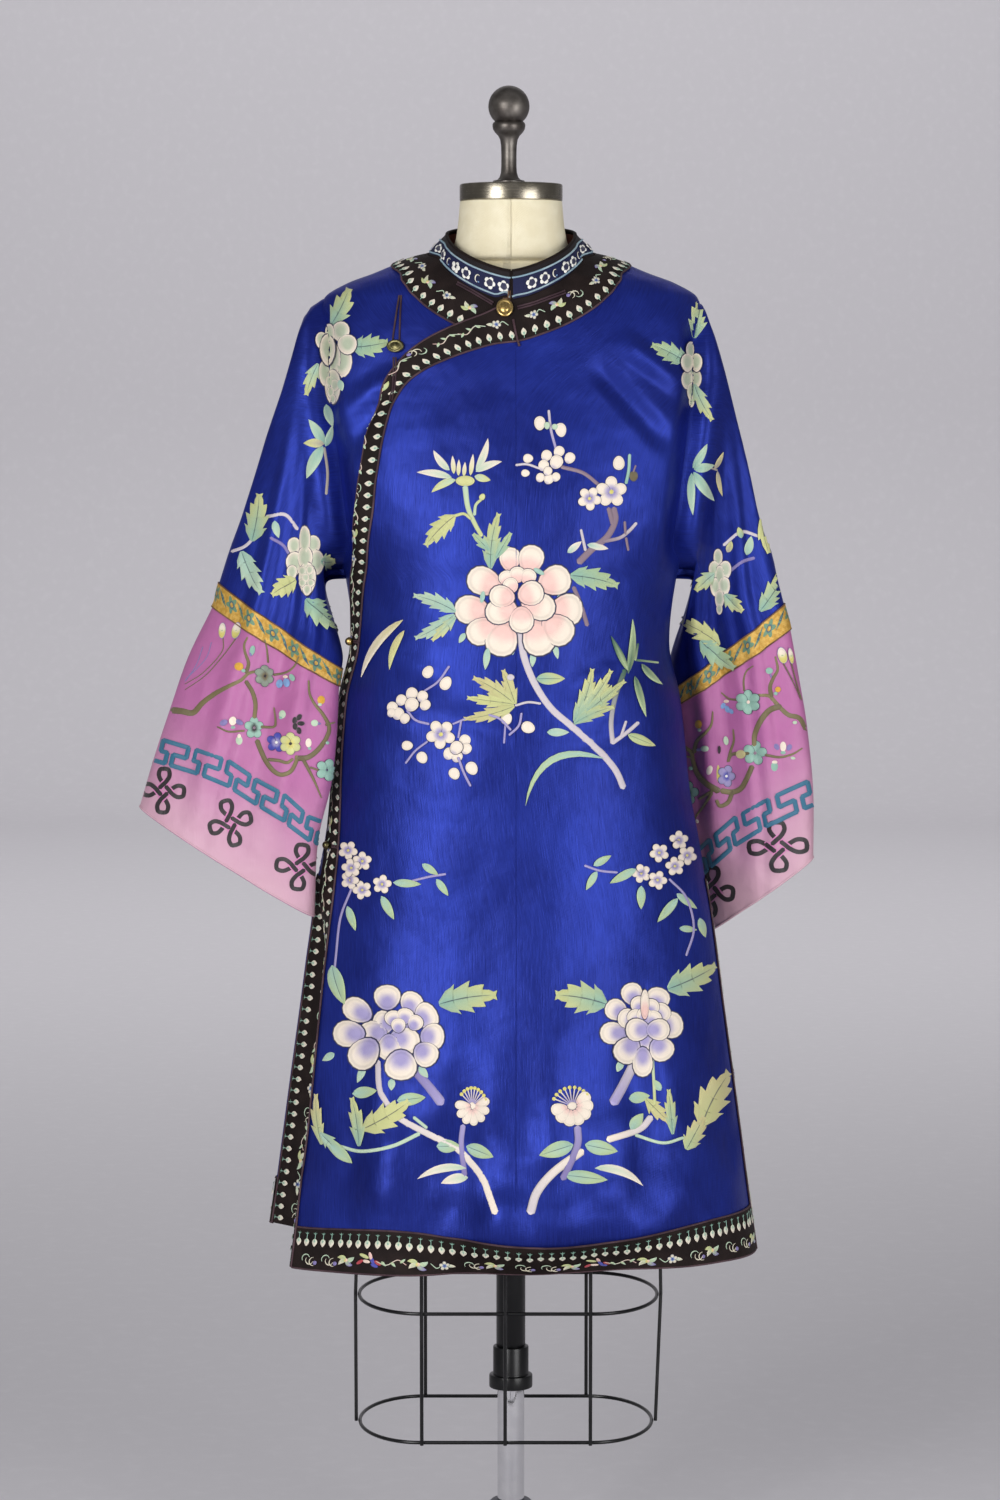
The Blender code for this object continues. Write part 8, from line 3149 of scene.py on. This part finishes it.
class TrimCharts:
    """The rows of buds and the sprigs of the black trims, in millimetres along and from the field."""

    @staticmethod
    def bud(chart: Chart, x: float, y: float, long: float, tuft: bool) -> None:
        """A teardrop bud that points away from the field, on its stalk.

        Args:
            chart: the chart.
            x: its place along the trim.
            y: its middle's distance from the field.
            long: its length.
            tuft: whether its stalk has a fan at its end.
        """
        base = y - long / 2
        foot = max(base - (6.0 if tuft else 3.2), 1.6)
        chart.add(Stitch.strip([(x, base + 0.5), (x + 0.2, foot)], (0.9, 0.8, 0.7), Dye.TEAL))
        if tuft:
            for side in (-1, 1):
                route = [(x, foot + 1.4), (x + side * 2.6, foot + 0.4)]
                chart.add(Stitch.strip(route, (0.9, 0.8, 0.6), Dye.TEAL, Dye.DARK_GREEN))
        chart.add(Stitch.leaf((x, base), (x, base + long), long * 0.68, 0, 0, Dye.MINT, Dye.CREAM, None))
        chart.add(Stitch.petal(x, base + long * 0.32, 1.8, 1.3, 90, Dye.TEAL, Dye.TEAL, None))

    @classmethod
    def sprig(cls, chart: Chart, kind: Sprig, x: float, y: float, size: float) -> None:
        """A small motif: a flower with leaves, a vine, a curled blossom, a bird or a moth.

        Args:
            chart: the chart.
            kind: which of them.
            x: its place along the trim.
            y: its middle's distance from the field.
            size: its size.
        """
        if kind is Sprig.FLOWER:
            route = [(x - 2.4 * size, y - 0.4 * size), (x - 1.4 * size, y + 0.5 * size), (x - 0.6 * size, y)]
            chart.add(Stitch.strip(route, (0.9, 1.2, 0.9), Dye.MINT))
            tip = (x + 2.0 * size, y + 0.4 * size)
            chart.add(Stitch.leaf((x + 0.5 * size, y), tip, 0.7 * size, 0, 0, Dye.MINT, Dye.IVORY, None))
            chart.blossom(x, y, size, Dye.IVORY, Dye.SKY, 5, -90, 1, Dye.BLUE)
        if kind is Sprig.VINE:
            route = [(x - 3 * size, y), (x - size, y + 0.6 * size), (x + size, y - 0.5 * size)]
            route.append((x + 2.6 * size, y + 0.3 * size))
            chart.add(Stitch.strip(route, (1.0, 1.3, 0.8), Dye.MINT, Dye.ROSE))
            for shift in (-2.0, -0.2, 1.5):
                base = (x + shift * size, y)
                tip = (x + (shift + 0.9) * size, y + 0.8 * size * (-1) ** int(shift))
                chart.add(Stitch.leaf(base, tip, 0.5 * size, 0, 0, Dye.GREEN, Dye.MINT, None))
        if kind is Sprig.CURL:
            for turn, dye in ((150, Dye.MINT), (20, Dye.IVORY), (80, Dye.IVORY)):
                at = np.radians(np.linspace(turn, turn + 190, 6))
                arc = np.stack([x + np.cos(at) * size * 0.9, y + np.sin(at) * size * 0.8], axis=-1)
                chart.add(Stitch.strip(arc.tolist(), (0.6, 1.5, 0.5), dye))
                x, y = x + 0.9 * size, y + 0.25 * size
            x = x - 0.5 * size
            chart.add(Stitch.petal(x, y, 0.45 * size, 0.4 * size, 0, Dye.PURPLE, Dye.PURPLE, None))
        if kind is Sprig.BIRD:
            parts = ((-1.6, 0.2, 1.0, 150, Dye.RED), (-0.4, 0.1, 1.1, 10, Dye.PEACH),
                     (0.8, -0.1, 1.2, 60, Dye.BLUE), (0.4, -0.9, 1.1, 250, Dye.ROSE),
                     (-0.9, -0.9, 1.4, 200, Dye.LEAF), (1.9, 0.3, 1.0, 30, Dye.RED),
                     (1.3, 0.8, 1.0, 20, Dye.BLUE))
            for across, down, length, turn, dye in parts:
                place = (x + across * size, y + down * size)
                chart.add(Stitch.petal(*place, length * size * 0.75, size * 0.34, turn, dye, dye, None))
        if kind is Sprig.MOTH:
            for turn, dye in ((200, Dye.LEAF), (330, Dye.MINT), (40, Dye.PURPLE), (140, Dye.IVORY)):
                at = math.radians(turn)
                tip = (x + math.cos(at) * 2 * size, y + math.sin(at) * 1.4 * size)
                chart.add(Stitch.leaf((x, y), tip, 0.9 * size, 0.15, 0, Dye.GREEN, dye, None))
            chart.add(Stitch.petal(x, y, 0.5 * size, 0.4 * size, 0, Dye.YELLOW, Dye.ROSE, None))

    @classmethod
    def row(cls, band: Band, pitch: float, depth: float, long: float, tuft: bool, sprigs: float, kinds: str,
            ends: tuple = (7, 7)) -> Chart:
        """A trim's row of buds, with sprigs beyond it.

        Args:
            band: the trim.
            pitch: the distance between the buds.
            depth: how far the buds' middles lie from the field.
            long: their length.
            tuft: whether their stalks have fans.
            sprigs: how far the sprigs' middles lie from the field.
            kinds: the letters of the sprigs' kinds, in turn.
            ends: the room left free at its start and its end.

        Returns:
            The chart.
        """
        chart = Chart((0, 0), 1000)
        length = band.length * 1000
        room = length - sum(ends)
        count = max(int(room / pitch), 1)
        for number in range(count + 1):
            cls.bud(chart, ends[0] + room * number / count, depth, long, tuft)
        count = max(int(room / 27), 1)
        for number in range(count):
            kind, x = Sprig(kinds[number % len(kinds)]), ends[0] + room * (number + 0.5) / count
            cls.sprig(chart, kind, x, sprigs, 6.0 if tuft else 5.2)
        return chart

    @staticmethod
    def collar(length: float) -> Chart:
        """Draw the open flowers and crescents of the collar's band, the same way out from both of its ends.

        Args:
            length: the band's length in metres.

        Returns:
            The chart.
        """
        chart = Chart((0, 0), 1000)
        half, middle = length * 500, 18.3
        for side in (-1, 1):
            place = 22.0 if side > 0 else 9.0
            number = 0
            while place < half - 6:
                x = place if side > 0 else 2 * half - place
                if number % 3 == 2:
                    at = np.radians(np.linspace(100, 300, 6))
                    arc = np.stack([x + np.cos(at) * 3.2, middle + np.sin(at) * 4.2], axis=-1)
                    chart.add(Stitch.strip(arc.tolist(), (0.8, 1.6, 0.8), Dye.WHITE, Dye.IVORY))
                    chart.add(Stitch.petal(x + 1.2, 21.3, 1.1, 0.9, 0, Dye.SKY, Dye.SKY, None))
                else:
                    for turn in range(-90, 270, 72):
                        at = math.radians(turn + number * 20)
                        spot = (x + math.cos(at) * 4.0, middle + math.sin(at) * 4.0)
                        chart.add(Stitch.petal(*spot, 2.7, 2.7, turn, Dye.WHITE, Dye.WHITE, None))
                    chart.add(Stitch.petal(x, middle, 4.2, 4.2, 0, Dye.NAVY, Dye.NAVY, None))
                place += 15.5 if number % 3 != 1 else 14.0
                number += 1
        return chart


@dataclass
class Embroidery:
    """All the embroidery, sewn on the cloth that carries it."""

    finishes: Finishes
    body: Body
    sleeves: list
    collar: Collar
    studio: Studio

    def on_body(self, panel: str) -> list:
        """The outer surfaces of a panel and its trims, as (cloth, lift) pairs."""
        cloths = {"outer_front": self.body.outer, "inner_front": self.body.inner, "back": self.body.back}
        trims = [trim for name, trim in self.body.trims.items() if self.body.panel_of(name) == panel]
        return [(cloths[panel], CLOTH_WALL / 2), *((trim, TRIM_WALL / 2) for trim in trims)]

    @staticmethod
    def on_sleeve(sleeve: Sleeve) -> list:
        """The outer surfaces of a sleeve and its ribbon, as (cloth, lift) pairs."""
        found = []
        for cloth, lift in ((sleeve.whole, CLOTH_WALL / 2), (sleeve.ribbon, TRIM_WALL / 2)):
            points = np.concatenate([cloth.points, cloth.points[:, :1]], axis=1)
            out = np.concatenate([cloth.out, cloth.out[:, :1]], axis=1)
            found.append((Cloth(points, out), lift))
        return found

    def look(self, cloths: list, behind: bool, hiding: list | None = None) -> Sight:
        """Look at some cloth.

        Args:
            cloths: its outer surfaces, as (cloth, lift) pairs.
            behind: whether to look from behind and not from the photograph's camera.
            hiding: surfaces that may lie before them, or none.

        Returns:
            The ground that is seen.
        """
        return Sight(cloths, hiding or [], self.studio.camera_place, self.studio.pitch, behind)

    def needle(self, name: str, slot: str = "blue_satin") -> Needle:
        """A needle for one piece of embroidery."""
        return Needle(name, self.finishes, slot)

    def build(self) -> None:
        """Sew the panels, the sleeves, the cuffs, the trims and the collar."""
        front, behind = self.look(self.on_body("outer_front"), False), self.look(self.on_body("back"), True)
        upper, lower = Front.upper(), Front.lower()
        sewn = self.body.sewn
        sewn["outer_front"].append(self.needle("front_embroidery_upper").sew([(front, upper)]))
        sewn["outer_front"].append(self.needle("front_embroidery_lower").sew([(front, lower)]))
        sewn["back"].append(self.needle("back_embroidery").sew([(behind, upper), (behind, lower)]))
        charts = {
            "right": (SleeveCharts.viewer_left(), CuffCharts.viewer_left()),
            "left": (SleeveCharts.viewer_right(), CuffCharts.viewer_right()),
        }
        for sleeve in self.sleeves:
            front, behind = (self.look(self.on_sleeve(sleeve), way) for way in (False, True))
            upper_chart, cuff_chart = charts[sleeve.name]
            panel_in_front = "inner_front" if sleeve.name == "right" else "outer_front"
            for panel, way in ((panel_in_front, False), ("back", True)):
                ground = self.look(self.on_body(panel), way, self.on_sleeve(sleeve))
                needle = self.needle(f"shoulder_{sleeve.name}_{panel}_embroidery")
                sewn[panel].append(needle.sew([(ground, upper_chart)]))
            needle = self.needle(f"sleeve_{sleeve.name}_embroidery")
            piece = needle.sew([(front, upper_chart), (behind, upper_chart)])
            sleeve.sewn["sleeve_" + sleeve.name].append(piece)
            needle = self.needle(f"cuff_{sleeve.name}_embroidery", "pink_satin")
            piece = needle.sew([(front, cuff_chart), (behind, cuff_chart)])
            sleeve.sewn["cuff_" + sleeve.name].append(piece)
        self.trims()
        band = Band(self.collar.cloth, True, self.collar.wall / 2)
        needle = self.needle("collar_embroidery", "navy_collar")
        self.collar.sewn.append(needle.sew([(band, TrimCharts.collar(band.length))]))

    def trims(self) -> None:
        """Sew the trims."""
        sizes = {
            # the buds' pitch, depth and length, whether they have tufts, the sprigs' depth and their kinds
            "yoke_left": (11.5, 8.5, 8.8, False, 24, "cmf"),
            "yoke_right": (11.5, 8.5, 8.8, False, 24, "mf"),
            "yoke_back": (12.0, 8.5, 8.8, False, 24, "cfm"),
            "lapel_trim": (12.6, 7.8, 8.8, False, 21, "fvvcvm"),
            "front_hem_trim": (11.8, 14.5, 10.5, True, 34, "ccmbvmfcm"),
            "back_hem_trim": (12.5, 14.5, 10.5, True, 34, "cbmf"),
            "front_vent_trim_left": (12.5, 7.8, 8.8, False, 21, "vfc"),
            "back_vent_trim_left": (12.8, 13.0, 9.0, True, 34, "fcvm"),
            "back_vent_trim_right": (12.8, 13.0, 9.0, True, 34, "fcvm"),
        }
        field_first = ("front_hem_trim", "back_hem_trim", "front_vent_trim_left", "back_vent_trim_right")
        for name, cloth in self.body.trims.items():
            along = "hem" in name or name == "yoke_back"
            band = Band(cloth if along else cloth.turned(), name in field_first, TRIM_WALL / 2)
            needle = self.needle(name + "_embroidery", "black_trim")
            piece = needle.sew([(band, TrimCharts.row(band, *sizes[name]))])
            self.body.sewn[self.body.panel_of(name)].append(piece)


def main() -> None:
    """Build the object and its studio, and report each piece."""
    logging.basicConfig(level=logging.INFO, format="%(message)s")
    finishes = Finishes()
    studio = Studio(finishes)
    studio.build()
    Stand(finishes).build()
    Form(finishes).build()
    body = Body(finishes)
    body.build()
    sleeves = [
        Sleeve(finishes, "left", 1, LEFT_SLEEVE_ROWS, LEFT_SHOULDER),
        Sleeve(finishes, "right", -1, RIGHT_SLEEVE_ROWS, RIGHT_SHOULDER),
    ]
    for sleeve in sleeves:
        sleeve.build()
    collar = Collar(finishes, body)
    collar.build()
    Fastenings(finishes, collar).build()
    Embroidery(finishes, body, sleeves, collar, studio).build()
    body.declare()
    for sleeve in sleeves:
        sleeve.declare()
    collar.declare()
    for piece in bpy.context.scene.objects:
        if piece.type == "MESH":
            LOG.info("%s: %d faces", piece.name, len(piece.data.polygons))


if __name__ == "__main__":
    main()
